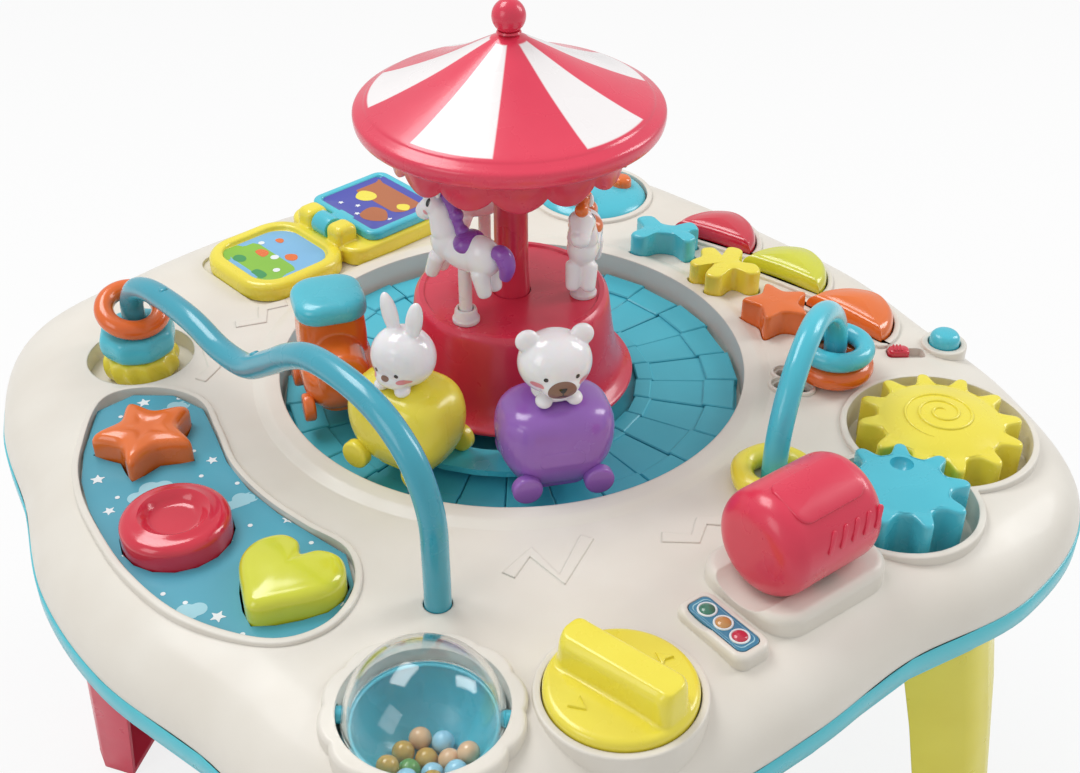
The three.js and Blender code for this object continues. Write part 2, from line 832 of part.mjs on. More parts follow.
// Raised loops round the speaker's openings
function grille() {
  const lobes = 4;
  const pad = polarShape(16, (angle) => SPEAKER_RADIUS * (0.5 + 0.1 * Math.cos(lobes * angle)));
  const raised = prism(pad, TOP_Z - WALL / 2, TOP_Z + LIP_HEIGHT);
  const holes = [];
  for (let i = 0; i < lobes; i++) {
    const angle = (2 * Math.PI * i) / lobes;
    const reach = SPEAKER_RADIUS * 0.3;
    const hole = disc(SPEAKER_RADIUS * 0.14, TOP_Z - WALL - OVERRUN, TOP_Z + OVERRUN, 6);
    holes.push(hole.translate(reach * Math.cos(angle), reach * Math.sin(angle), 0));
  }
  const put = (form) => form.translate(speakerAt[0], speakerAt[1], 0);
  return { add: [put(raised)], remove: holes.map(put) };
}

// A well for one ring-bearing tube foot, or a plain seat with a blind hole for a foot
function footSeat([x, y], lower = 0) {
  const floor = TOP_Z - lower;
  const boss = disc(TUBE_WELL + WALL, floor - TUBE_SEAT - WALL, floor - WALL / 2, 10);
  const hole = disc(TUBE_WELL, floor - TUBE_SEAT, floor + OVERRUN, 12);
  return { add: [boss.translate(x, y, 0)], remove: [hole.translate(x, y, 0)] };
}

const buttonWells = [
  { shapeOf: starShape, size: STAR_RADIUS, at: starAt, turn: 0, under: PANEL_DEPTH },
  { shapeOf: roundShape, size: ROUND_RADIUS, at: roundAt, turn: 0, under: PANEL_DEPTH },
  { shapeOf: heartShape, size: HEART_RADIUS, at: heartAt, turn: -60, under: PANEL_DEPTH },
  ...KEY_SHARES.map((share, i) => ({
    shapeOf: keyShape,
    size: KEY_WIDTH / 2,
    at: placeOf(share),
    turn: KEY_TURNS[i],
    under: KEY_SLEEVE - WALL,
    sleeve: true,
  })),
  { shapeOf: modeShape, size: MODE_RADIUS, at: modeAt, turn: 0, under: MODE_SLEEVE - WALL, sleeve: true },
];

function buttonHole({ shapeOf, at, turn, under }) {
  const hole = prism(shapeOf(RUNNING_GAP), TOP_Z - under - WALL - OVERRUN, TOP_Z + LIP_HEIGHT + OVERRUN);
  return hole.rotateZ(degrees(turn)).translate(at[0], at[1], 0);
}

function buttonSleeve({ shapeOf, at, turn, under }) {
  const shape = shapeOf(RUNNING_GAP + WALL);
  const sleeve = prism(shape, TOP_Z - under - WALL, TOP_Z + LIP_HEIGHT);
  return sleeve.rotateZ(degrees(turn)).translate(at[0], at[1], 0);
}

const gearWell = (at, radius, pin) => {
  const floor = TOP_Z - GEAR_WELL_DEPTH;
  const outside = disc(radius + WALL, floor - WALL, TOP_Z + LIP_HEIGHT, 18);
  const hollow = disc(radius, floor, TOP_Z + LIP_HEIGHT + OVERRUN, 18);
  const post = disc(GEAR_PIN, floor - WALL / 2, pin, 10);
  const put = (form) => form.translate(at[0], at[1], 0);
  return { add: [put(outside)], hollow: put(hollow), post: put(post) };
};

const SUN_TIP = SUN_PITCH + TOOTH_HEIGHT;
const MATE_TIP = MATE_PITCH + TOOTH_HEIGHT;
const SUN_TOP_Z = TOP_Z + SUN_RISE;
const MATE_TOP_Z = TOP_Z + MATE_RISE;
const SPINNER_FLOOR_Z = TOP_Z - SPINNER_DEPTH;
const KNOB_FLOOR_Z = TOP_Z - KNOB_SEAT;
const LEFT_FLOOR_Z = TOP_Z - RING_WELL_DEPTH;

function topShell() {
  const round = (radius) => (grow) => circle(radius + grow, 18);
  const well = pocket((grow) => circle(WELL_RADIUS + grow, 36), WELL_DEPTH, LIP_HEIGHT);
  const panel = pocket(panelShape, PANEL_DEPTH, LIP_HEIGHT);
  const rings = pocket(round(RING_WELL_RADIUS), RING_WELL_DEPTH, 0, leftFeet[1]);
  const spin = pocket(round(SPINNER_RADIUS + RUNNING_GAP), SPINNER_DEPTH, LIP_HEIGHT, spinnerAt);
  const knob = pocket(round(KNOB_RADIUS + RUNNING_GAP), KNOB_SEAT, LIP_HEIGHT, knobAt, 0, STATION_ROOT);
  const blocks = BLOCK_SHARES.map((share, i) =>
    pocket((grow) => blockShapes[i](grow + RUNNING_GAP), BLOCK_DEPTH, 0, placeOf(share), BLOCK_TURNS[i]),
  );
  const slotSize = [SWITCH_LENGTH + SWITCH_TRAVEL, SWITCH_WIDTH];
  const slotShape = (grow) =>
    rectangle(slotSize[0] + 2 * (grow + RUNNING_GAP), slotSize[1] + 2 * (grow + RUNNING_GAP), SWITCH_WIDTH / 3);
  const slot = pocket(slotShape, SLOT_DEPTH, 0, switchAt, SWITCH_TURN);
  const book = pocket((grow) => bookOutline(grow + GAP), BOOK_SEAT, 0, bookAt, BOOK_TURN);
  const sun = gearWell(sunAt, SUN_TIP + GEAR_WELL_GAP, SUN_TOP_Z - SUN_RISE);
  const mate = gearWell(mateAt, MATE_TIP + GEAR_WELL_GAP, TOP_Z);
  const pockets = [well, panel, rings, spin, knob, slot, book, ...blocks, sun, mate];
  const feet = [
    footSeat(leftFeet[0]),
    footSeat(leftFeet[1], RING_WELL_DEPTH),
    footSeat(rightFeet[0]),
    footSeat(rightFeet[1]),
  ];
  const rollerBed = cradle();
  const stations = [rollerBed, ballRing(), lightBed(), grille(), ...feet];
  const sleeves = buttonWells.filter(({ sleeve }) => sleeve).map(buttonSleeve);
  const added = [...pockets.flatMap((p) => p.add), ...stations.flatMap((s) => s.add), ...sleeves];
  const hubHole = disc(HUB_RADIUS + RUNNING_GAP, WELL_FLOOR_Z - OVERRUN, TOP_Z, 12);
  const spinPost = disc(GEAR_PIN, SPINNER_FLOOR_Z - WALL / 2, TOP_Z, 10);
  const knobPost = disc(GEAR_PIN, KNOB_FLOOR_Z - WALL / 2, TOP_Z + KNOB_SEAT, 10);
  const removed = [...pockets.map((p) => p.hollow), ...stations.flatMap((s) => s.remove)];
  const shell = cut(join(topSkin(), ...added), ...removed, hubHole, ...buttonWells.map(buttonHole));
  const posts = [
    sun.post,
    mate.post,
    spinPost.translate(spinnerAt[0], spinnerAt[1], 0),
    knobPost.translate(knobAt[0], knobAt[1], 0),
  ];
  return join(shell, ...posts, ...rollerBed.last);
}

// Bottom shell: the coloured rim band, turned under to a flat bottom
function bottomShell() {
  const top = RIM_Z - GAP;
  const bandZ = top - RIM_BAND;
  const turnIn = (bandZ - UNDER_Z) / 2;
  const outer = [
    [0, UNDER_Z],
    [TABLE_RADIUS - 1.6 * turnIn, UNDER_Z],
    [TABLE_RADIUS, bandZ],
    [TABLE_RADIUS, top],
  ];
  const inner = [
    [TABLE_RADIUS - WALL, top],
    [TABLE_RADIUS - WALL, bandZ],
    [TABLE_RADIUS - 1.6 * turnIn - WALL, FLOOR_IN_Z],
    [0, FLOOR_IN_Z],
  ];
  const tray = lobed(turnedForm([...outer, ...inner], OUTLINE_STEPS));
  const sockets = LEG_ANGLES.map((angle) => legPlace(socketForm(GAP), angle));
  const doorHole = prism(rectangle(...doorSize(GAP)), UNDER_Z - OVERRUN, FLOOR_IN_Z);
  const box = batteryBox();
  const posts = boardPosts();
  const motorSeat = disc(MOTOR_RADIUS + WALL, FLOOR_IN_Z - WALL / 2, FLOOR_IN_Z + WALL, 16);
  const speakerSeat = disc(SPEAKER_RADIUS * 0.6, FLOOR_IN_Z - WALL / 2, speakerBase(), 12);
  const added = join(
    tray,
    box.wall,
    ...posts,
    motorSeat,
    speakerSeat.translate(speakerAt[0], speakerAt[1], 0),
  );
  const motorHole = disc(MOTOR_RADIUS + GAP, FLOOR_IN_Z, FLOOR_IN_Z + OVERRUN, 16);
  return cut(added, ...sockets, doorHole.translate(doorAt[0], doorAt[1], 0), box.hollow, motorHole);
}

function doorSize(grow) {
  return [DOOR_LENGTH + 2 * grow, DOOR_WIDTH + 2 * grow, DOOR_CORNER];
}

function batteryBox() {
  const top = FLOOR_IN_Z + BATTERY_DEPTH;
  const outside = prism(rectangle(...doorSize(WALL)), FLOOR_IN_Z - WALL / 2, top + WALL);
  const inside = prism(rectangle(...doorSize(-WALL)), UNDER_Z - OVERRUN, top);
  const put = (form) => form.translate(doorAt[0], doorAt[1], 0);
  return { wall: put(outside), hollow: put(inside) };
}

function batteryDoor() {
  const lid = prism(rectangle(...doorSize(0)), UNDER_Z, FLOOR_IN_Z - GAP, 2);
  return lid.translate(doorAt[0], doorAt[1], 0);
}

const BOARD_Z = FLOOR_IN_Z + STANDOFF_HEIGHT;

function boardCorners() {
  const x = BOARD_LENGTH / 2 - STANDOFF_RADIUS;
  const y = BOARD_WIDTH / 2 - STANDOFF_RADIUS;
  const corners = [
    [x, y],
    [-x, y],
    [-x, -y],
    [x, -y],
  ];
  return corners.map(([u, v]) => [boardAt[0] + u, boardAt[1] + v]);
}

function boardPosts() {
  return boardCorners().map(([x, y]) =>
    disc(STANDOFF_RADIUS, FLOOR_IN_Z - WALL / 2, BOARD_Z - GAP, 8).translate(x, y, 0),
  );
}

function circuitBoard() {
  const plate = prism(rectangle(BOARD_LENGTH, BOARD_WIDTH, STANDOFF_RADIUS), 0, BOARD_THICKNESS, 1);
  const chip = rectangle(BOARD_WIDTH / 3, BOARD_WIDTH / 4, BOARD_THICKNESS / 2);
  const raised = prism(chip, BOARD_THICKNESS / 2, BOARD_THICKNESS * 2.5, 1);
  return join(plate, raised).translate(boardAt[0], boardAt[1], BOARD_Z);
}

const speakerBase = () => WELL_FLOOR_Z - WALL - RUNNING_GAP - SPEAKER_HEIGHT - GAP;

function speaker() {
  const z = speakerBase() + GAP;
  const top = z + SPEAKER_HEIGHT;
  const form = turnedForm(
    [
      [0, z],
      [SPEAKER_RADIUS * 0.55, z],
      [SPEAKER_RADIUS * 0.6, z + SPEAKER_HEIGHT * 0.5],
      [SPEAKER_RADIUS * 0.95, z + SPEAKER_HEIGHT * 0.8],
      [SPEAKER_RADIUS * 0.95, top],
      [SPEAKER_RADIUS * 0.85, top],
      [SPEAKER_RADIUS * 0.3, z + SPEAKER_HEIGHT * 0.65],
      [0, z + SPEAKER_HEIGHT * 0.75],
    ],
    16,
  );
  return form.translate(speakerAt[0], speakerAt[1], 0);
}

const MOTOR_TOP_Z = WELL_FLOOR_Z - WALL - RUNNING_GAP;

// The gear motor: a round box with a flat tail, and a socket in its top for the hub
function gearMotor() {
  const box = disc(MOTOR_RADIUS, FLOOR_IN_Z + GAP, MOTOR_TOP_Z, 16);
  const can = prism(
    rectangle(MOTOR_RADIUS * 2.6, MOTOR_RADIUS, MOTOR_RADIUS / 4),
    FLOOR_IN_Z + WALL + GAP,
    MOTOR_TOP_Z - WALL,
    1,
  );
  const socket = disc(HUB_RADIUS + GAP, HUB_BOTTOM_Z - GAP, MOTOR_TOP_Z + OVERRUN, 12);
  return cut(join(box, can.translate(MOTOR_RADIUS * 0.9, 0, 0)), socket);
}

const HUB_BOTTOM_Z = MOTOR_TOP_Z - WALL * 2;

// Legs: a U channel, open towards the middle, that tapers and splays to the floor
const LEG_HEIGHT = UNDER_Z - GAP;

function legSection() {
  const outside = LEG_SECTION_SHARES.map(([x, y]) => [x * LEG_DEPTH, y * LEG_WIDTH]);
  const inside = LEG_SECTION_SHARES.map(([x, y]) => {
    const across = y * (LEG_WIDTH - 2 * LEG_WALL);
    return [x * LEG_DEPTH - LEG_WALL * (1 + x), across];
  });
  const points = [...outside, ...inside.reverse()].map(([x, y]) => new THREE.Vector2(x, y));
  return new THREE.Shape(points);
}

function legFlow(p) {
  const t = 1 - THREE.MathUtils.clamp(p.z / LEG_HEIGHT, 0, 1);
  const shrink = 1 - LEG_TAPER_SHARE * t;
  const out = LEG_SPLAY * (1 - (1 - t) ** 1.5);
  p.set(p.x * shrink + out, p.y * shrink, p.z);
}

const socketForm = (grow) =>
  prism(
    rectangle(LEG_PLUG_WIDTH + 2 * grow, LEG_PLUG_LENGTH + 2 * grow, LEG_WALL),
    LEG_HEIGHT - LEG_WALL,
    LEG_HEIGHT + LEG_PLUG + grow,
    1,
  ).translate(-LEG_DEPTH / 2, 0, 0);

function legPlace(form, angle) {
  form.translate(LEG_TOP_RADIUS, 0, 0).rotateZ(degrees(angle));
  return form.translate(tableCentre[0], tableCentre[1], 0);
}

function leg(angle) {
  const steps = LEG_STEPS;
  const settings = { depth: LEG_HEIGHT, steps, bevelEnabled: false };
  const channel = bent(new THREE.ExtrudeGeometry(legSection(), settings), legFlow);
  const solidEnd = new THREE.Shape(
    LEG_SECTION_SHARES.map(([x, y]) => new THREE.Vector2(x * LEG_DEPTH, y * LEG_WIDTH)),
  );
  const foot = bent(prism(solidEnd, 0, LEG_WALL), legFlow);
  const head = bent(prism(solidEnd, LEG_HEIGHT - LEG_WALL, LEG_HEIGHT), legFlow);
  return legPlace(join(channel, foot, head, socketForm(0)), angle);
}

// Track: a ring of planks like a fan, each tilted, with its end stepped over the next one
function trackPlate() {
  const z = WELL_FLOOR_Z + GAP;
  const top = z + TRACK_BASE + PLANK_RISE;
  const form = tubeForm(HUB_RADIUS + RUNNING_GAP, TRACK_RADIUS, z, top, PLANKS * 2);
  return bent(form, (p) => {
    const radius = Math.hypot(p.x, p.y);
    const step = Math.round((Math.atan2(p.y, p.x) / Math.PI) * PLANKS + PLANKS * 2) % (PLANKS * 2);
    const plank = Math.floor(step / 2);
    const isEnd = step % 2 === 1;
    const angle = ((step + (isEnd ? PLANK_STEP_SHARE : 0)) * Math.PI) / PLANKS;
    const reach = radius > DRUM_RADIUS && plank % 2 ? radius - PLANK_STAGGER : radius;
    const drop = p.z > z + TRACK_BASE && !isEnd ? PLANK_TILT : 0;
    p.set(reach * Math.cos(angle), reach * Math.sin(angle), p.z - drop);
  });
}

// Runner: a curved bar that carries the train, with a spoke under each car from the hub
function arcShape(inner, outer, start, end, steps) {
  const at = (radius, i) => {
    const angle = degrees(start + ((end - start) * i) / steps);
    return new THREE.Vector2(radius * Math.cos(angle), radius * Math.sin(angle));
  };
  const points = [];
  for (let i = 0; i <= steps; i++) points.push(at(outer, i));
  for (let i = steps; i >= 0; i--) points.push(at(inner, i));
  return new THREE.Shape(points);
}

function trainRing() {
  const carSpan = THREE.MathUtils.radToDeg((CAR_LENGTH * 0.4) / CAR_RING);
  const band = arcShape(RUNNER_INNER, RUNNER_OUTER, LOCO_ANGLE - carSpan, PURPLE_ANGLE + carSpan, 12);
  const bar = prism(band, RUNNER_Z, RUNNER_TOP_Z);
  const hub = disc(DRUM_RADIUS * 0.4, RUNNER_Z, RUNNER_TOP_Z, 12);
  const spigot = disc(HUB_RADIUS, HUB_BOTTOM_Z, RUNNER_Z + RUNNER_THICKNESS / 2, 12);
  const reach = (RUNNER_INNER + RUNNER_OUTER) / 2;
  const spokes = [LOCO_ANGLE, YELLOW_ANGLE, PURPLE_ANGLE].map((angle) => {
    const spoke = new THREE.BoxGeometry(reach, SPOKE_WIDTH, RUNNER_THICKNESS);
    spoke.translate(reach / 2, 0, RUNNER_Z + RUNNER_THICKNESS / 2);
    return spoke.rotateZ(degrees(angle));
  });
  return join(bar, hub, spigot, ...spokes);
}

const horsePlaces = Array.from({ length: HORSES }, (_, i) => {
  const angle = degrees(HORSE_TURN) + (2 * Math.PI * i) / HORSES;
  return { x: HORSE_RING * Math.cos(angle), y: HORSE_RING * Math.sin(angle), angle };
});

function drum() {
  const outer = DRUM_SHARES.map(([r, z]) => [r * DRUM_RADIUS, DRUM_Z + z * DRUM_HEIGHT]);
  const inner = DRUM_LINING_SHARES.map(([r, z]) => [
    r * DRUM_RADIUS - WALL,
    DRUM_Z + z * (DRUM_HEIGHT - WALL),
  ]);
  inner.push([DRUM_NECK_SHARE * DRUM_RADIUS - WALL, DRUM_TOP_Z - WALL]);
  const hole = COLUMN_RADIUS + GAP;
  const profile = [
    ...outer,
    [hole, DRUM_TOP_Z],
    [hole, DRUM_TOP_Z - WALL],
    ...inner.reverse(),
    outer[0],
  ];
  const holes = horsePlaces.map(({ x, y }) =>
    disc(COLLAR_RADIUS + GAP, DRUM_TOP_Z - WALL * 2, DRUM_TOP_Z + OVERRUN, 8).translate(x, y, 0),
  );
  return cut(turnedForm(profile, 20), ...holes);
}

// The spider under the drum's top, with the three collars that guide the horses' posts
const SPIDER_Z = DRUM_TOP_Z - WALL - GAP;

function horseGuides() {
  const plate = disc(HORSE_RING, SPIDER_Z - WALL, SPIDER_Z, 12);
  const hole = disc(COLUMN_RADIUS + GAP, SPIDER_Z - OVERRUN, SPIDER_Z + OVERRUN, COLUMN_SIDES);
  const collars = horsePlaces.map(({ x, y }) =>
    disc(COLLAR_RADIUS, SPIDER_Z - WALL * 2, DRUM_TOP_Z + COLLAR_HEIGHT, 8).translate(x, y, 0),
  );
  const bores = horsePlaces.map(({ x, y }) =>
    disc(HORSE_POST + GAP, DRUM_Z, DRUM_TOP_Z + COLLAR_HEIGHT + OVERRUN, 8).translate(x, y, 0),
  );
  return cut(join(plate, ...collars), hole, ...bores);
}

const COLUMN_TOP_Z = ROOF_Z + ROOF_HEIGHT * 0.36;

function column() {
  return tubeForm(COLUMN_RADIUS - COLUMN_WALL, COLUMN_RADIUS, DRUM_Z, COLUMN_TOP_Z, COLUMN_SIDES);
}

const roofInner = ROOF_LINING_SHARES.map(([r, z]) => [
  r * (ROOF_RADIUS - WALL),
  ROOF_Z + z * ROOF_HEIGHT - WALL,
]);

// The height of the roof's underside at a radius
function roofInside(radius) {
  const [outer, inner] = roofInner;
  const share = (outer[0] - radius) / (outer[0] - inner[0]);
  return outer[1] + (inner[1] - outer[1]) * share;
}

function roof() {
  const outer = ROOF_SHARES.map(([r, z]) => [r * ROOF_RADIUS, ROOF_Z + z * ROOF_HEIGHT]);
  const bore = COLUMN_RADIUS + GAP;
  const boss = bore + WALL;
  const seat = COLUMN_TOP_Z + GAP;
  const profile = [
    [0, seat],
    [bore, seat],
    [bore, ROOF_Z + WALL],
    [boss, ROOF_Z + WALL],
    [boss, roofInner[roofInner.length - 1][1]],
    ...roofInner.slice(0, -1).reverse(),
    [ROOF_FOOT_SHARE * ROOF_RADIUS - WALL, ROOF_Z],
    ...outer,
    [0, ROOF_TOP_Z],
  ];
  return turnedForm(profile, 24);
}

// The scalloped skirt hangs from the roof's underside
function roofSkirt() {
  const top = roofInside(SKIRT_RADIUS) - GAP * 2;
  const bottom = ROOF_Z - SKIRT_DROP;
  const form = tubeForm(SKIRT_RADIUS - WALL / 1.5, SKIRT_RADIUS, bottom, top, SKIRT_SCALLOPS * 3);
  return bent(form, (p) => {
    if (p.z < ROOF_Z) {
      const wave = Math.abs(Math.sin((Math.atan2(p.y, p.x) * SKIRT_SCALLOPS) / 2));
      p.z += SKIRT_SCALLOP * (1 - wave);
    }
  });
}

function finial() {
  const z = ROOF_TOP_Z + GAP;
  const foot = (-65 / 180) * Math.PI;
  const middle = z + FINIAL_RADIUS * 0.95;
  const profile = [
    [0, z],
    [FINIAL_RADIUS * Math.cos(foot), z],
  ];
  const steps = 6;
  for (let i = 0; i <= steps; i++) {
    const angle = foot + ((Math.PI / 2 - foot) * i) / steps;
    profile.push([FINIAL_RADIUS * Math.cos(angle), middle + FINIAL_RADIUS * Math.sin(angle)]);
  }
  return turnedForm(profile, 12);
}

// A galloping horse that faces +X, on the post that rises and falls with it
const HORSE_SHARES = [
  [0.58, 0.31],
  [0.49, 0.24],
  [0.37, 0.29],
  [0.32, 0.06],
  [0.46, -0.12],
  [0.43, -0.36],
  [0.34, -0.36],
  [0.34, -0.17],
  [0.16, -0.15],
  [-0.08, -0.16],
  [-0.2, -0.2],
  [-0.29, -0.4],
  [-0.39, -0.4],
  [-0.36, -0.18],
  [-0.39, -0.02],
  [-0.53, -0.18],
  [-0.56, 0.02],
  [-0.4, 0.15],
  [-0.28, 0.18],
  [-0.05, 0.13],
  [0.11, 0.2],
  [0.15, 0.42],
  [0.27, 0.57],
  [0.36, 0.67],
  [0.4, 0.53],
  [0.55, 0.41],
];

function horse(lift) {
  const s = HORSE_LENGTH;
  const outline = new THREE.Shape(HORSE_SHARES.map(([x, z]) => new THREE.Vector2(x * s, z * s)));
  const half = HORSE_WIDTH / 2;
  const edge = HORSE_WIDTH / 6;
  const settings = { depth: HORSE_WIDTH - 2 * edge, bevelThickness: edge, bevelSize: edge / 2, bevelSegments: 1 };
  const side = new THREE.ExtrudeGeometry(outline, { ...settings, bevelOffset: -edge / 2 });
  const flat = side.translate(0, 0, edge - half).rotateX(Math.PI / 2);
  const barrel = ball(s, 0, 0, 0, [0.37, 0.19, 0.19], 7);
  const post = disc(HORSE_POST, -lift - s * 0.42 - HORSE_SUNK, 0, 8);
  return join(flat, barrel, post);
}

const HORSE_SUNK = 12;

function horseMesh(name, index) {
  const { x, y, angle } = horsePlaces[index];
  const lift = HORSE_LIFTS[index];
  const mesh = piece(name, horse(lift), glossWhite);
  mesh.position.set(x, y, DRUM_TOP_Z + COLLAR_HEIGHT + lift + HORSE_LENGTH * 0.3);
  mesh.rotation.z = angle - Math.PI / 2;
  return mesh;
}

// Train cars, each drawn facing +X with its outer side towards -Y
function wheels(length, width) {
  const forms = [];
  for (const x of [-length / 2 + CAR_WHEEL, length / 2 - CAR_WHEEL]) {
    for (const y of [-1, 1]) {
      const from = [x, y * (width / 2 - CAR_WHEEL_WIDTH), CAR_WHEEL];
      const to = [x, y * (width / 2 + CAR_WHEEL_WIDTH / 3), CAR_WHEEL];
      forms.push(limb(from, to, CAR_WHEEL, CAR_WHEEL, 8));
    }
  }
  return forms;
}

function puffyBox(length, width, bottom, top, edge) {
  const outline = rectangle(length, width, edge);
  return pillow(outline, bottom, top, edge * 0.8, edge, 2);
}

function wagon(hasPlate, rise) {
  const floor = CAR_WHEEL * 0.8;
  const body = puffyBox(CAR_LENGTH, CAR_WIDTH, floor, floor + CAR_HEIGHT, CAR_EDGE);
  const foot = rectangle(CAR_LENGTH * 0.6, CAR_WIDTH * 0.6, CAR_EDGE / 2);
  const base = prism(foot, 0, floor + CAR_EDGE, 1);
  const neck = disc(HEAD_RADIUS * 0.5, floor, floor + CAR_HEIGHT + HEAD_SEAT + rise, 8);
  const parts = [body, base, neck, ...wheels(CAR_LENGTH, CAR_WIDTH)];
  if (hasPlate) {
    const plate = rectangle(CAR_LENGTH * 0.4, CAR_HEIGHT * 0.26, CAR_EDGE / 4);
    const raised = prism(plate, 0, CAR_EDGE / 2, 1).rotateX(Math.PI / 2);
    parts.push(raised.translate(0, -CAR_WIDTH / 2 + CAR_EDGE / 4, floor + CAR_HEIGHT * 0.45));
  }
  return join(...parts);
}

const HEAD_SEAT = 2;
const CAR_FLOOR = CAR_WHEEL * 0.8;

function locoBody() {
  const chassis = puffyBox(LOCO_LENGTH, CAR_WIDTH, CAR_FLOOR, CAR_FLOOR + LOCO_HEIGHT * 0.45, CAR_EDGE * 0.6);
  const boiler = limb(
    [-LOCO_LENGTH * 0.1, 0, CAR_FLOOR + LOCO_HEIGHT * 0.45],
    [LOCO_LENGTH * 0.5, 0, CAR_FLOOR + LOCO_HEIGHT * 0.45],
    CAR_WIDTH * 0.36,
    CAR_WIDTH * 0.34,
    10,
  );
  const cab = puffyBox(LOCO_LENGTH * 0.55, CAR_WIDTH * 0.86, CAR_FLOOR, CAR_FLOOR + LOCO_HEIGHT, CAR_EDGE * 0.4);
  const foot = prism(rectangle(LOCO_LENGTH * 0.6, CAR_WIDTH * 0.6, CAR_EDGE / 2), 0, CAR_FLOOR + CAR_EDGE, 1);
  return join(
    chassis,
    boiler,
    cab.translate(-LOCO_LENGTH * 0.2, 0, 0),
    foot,
    ...wheels(LOCO_LENGTH, CAR_WIDTH),
  );
}

function locoRoof() {
  const form = puffyBox(LOCO_LENGTH * 0.72, CAR_WIDTH * 0.92, 0, CAB_HEIGHT * 0.55, CAR_EDGE * 0.62);
  return form.translate(-LOCO_LENGTH * 0.2, 0, CAR_FLOOR + LOCO_HEIGHT + GAP);
}

// Heads, each drawn facing -Y, hollow below for the neck that they sit on
function neckHole() {
  return disc(HEAD_RADIUS * 0.5 + GAP, -HEAD_RADIUS * 2, -HEAD_RADIUS * 0.8 + HEAD_SEAT + GAP, 8);
}

function bearHead() {
  const r = HEAD_RADIUS;
  const skull = ball(r, 0, 0, 0, [1.05, 0.92, 0.9], 9);
  const ears = [-1, 1].map((side) => ball(r * 0.32, side * r * 0.78, 0, r * 0.66, [1, 0.7, 1], 5));
  const muzzle = ball(r * 0.42, 0, -r * 0.72, -r * 0.22, [1, 0.7, 0.85], 6);
  const collar = disc(r * 0.78, -r * 0.8 - BEAR_RISE + GAP, -r * 0.4, 10);
  return cut(join(skull, ...ears, muzzle, collar), neckHole());
}

function rabbitHead() {
  const r = HEAD_RADIUS;
  const skull = ball(r, 0, 0, 0, [0.96, 0.9, 0.86], 9);
  const ears = [-1, 1].map((side) => {
    const ear = ball(r, 0, 0, 0, [0.22, 0.15, 0.72], 6).rotateY(side * 0.18);
    return ear.translate(side * r * 0.4, 0, r * 1.2);
  });
  const cheeks = [-1, 1].map((side) => ball(r * 0.3, side * r * 0.28, -r * 0.74, -r * 0.3, [1, 0.7, 0.8], 5));
  return cut(join(skull, ...ears, ...cheeks), neckHole());
}

// Buttons: a cap with a rounded edge over a flange that keeps it under the skin
function button({ shapeOf, size, at, turn, under }, rise, edge) {
  const flangeTop = TOP_Z - under - WALL - GAP;
  const flangeBottom = flangeTop - BUTTON_FLANGE;
  const cap = domed(shapeOf(0), size, flangeBottom, TOP_Z + rise, edge, edge * 0.8);
  const flange = prism(shapeOf(BUTTON_FLANGE + RUNNING_GAP), flangeBottom, flangeTop);
  const hollow = disc(size * BUTTON_HOLLOW_SHARE, flangeBottom - OVERRUN, TOP_Z + rise / 3, 10);
  return cut(join(cap, flange), hollow).rotateZ(degrees(turn)).translate(at[0], at[1], 0);
}

function roundButton() {
  const form = button(buttonWells[1], BUTTON_RISE, BUTTON_EDGE * 0.7);
  const top = TOP_Z + BUTTON_RISE;
  const dish = turnedForm(
    [
      [0, top - DISH_DEPTH],
      [ROUND_RADIUS * 0.4, top - DISH_DEPTH * 0.8],
      [ROUND_RADIUS * 0.7, top + DISH_DEPTH * 0.1],
      [0, top + OVERRUN],
    ],
    16,
  );
  return cut(form, dish.translate(roundAt[0], roundAt[1], 0));
}

// The panel: a flat plate in its recess, with holes that the buttons pass
function buttonPanel() {
  const bottom = TOP_Z - PANEL_DEPTH + GAP;
  const plate = prism(panelShape(-RUNNING_GAP), bottom, bottom + PANEL_THICKNESS);
  return cut(plate, ...buttonWells.slice(0, 3).map(buttonHole));
}

// Gears: the sun with a low dome, and its mate with a dimple for a finger
const GEAR_BOTTOM_Z = TOP_Z - GEAR_WELL_DEPTH + GAP;

function gearBore(top) {
  return disc(GEAR_PIN + GAP, GEAR_BOTTOM_Z - OVERRUN, top, 10);
}

function sunGear() {
  const shape = gearShape(SUN_PITCH, SUN_TEETH);
  const wheel = domed(shape, SUN_TIP, GEAR_BOTTOM_Z, SUN_TOP_Z, GEAR_EDGE, GEAR_EDGE, 1);
  const root = SUN_PITCH - TOOTH_HEIGHT;
  const dome = turnedForm(
    [
      [0, SUN_TOP_Z - GEAR_EDGE],
      [root * 0.8, SUN_TOP_Z - GEAR_EDGE],
      [root * 0.6, SUN_TOP_Z + SUN_DOME * 0.7],
      [0, SUN_TOP_Z + SUN_DOME],
    ],
    14,
  );
  const form = cut(join(wheel, dome), gearBore(TOP_Z + GAP));
  return form.rotateZ(degrees(MATE_ANGLE)).translate(sunAt[0], sunAt[1], 0);
}

function mateGear() {
  const shape = gearShape(MATE_PITCH, MATE_TEETH);
  const wheel = domed(shape, MATE_TIP, GEAR_BOTTOM_Z, MATE_TOP_Z, GEAR_EDGE, GEAR_EDGE, 1);
  const dimple = disc(DIMPLE_RADIUS, MATE_TOP_Z - DIMPLE_DEPTH, MATE_TOP_Z + OVERRUN, 10);
  const reach = MATE_PITCH - TOOTH_HEIGHT - DIMPLE_RADIUS * 1.6;
  const form = cut(wheel, gearBore(TOP_Z + GAP), dimple.translate(reach, 0, 0));
  const turn = MATE_ANGLE + 180 + 180 / MATE_TEETH;
  return form.rotateZ(degrees(turn)).translate(mateAt[0], mateAt[1], 0);
}

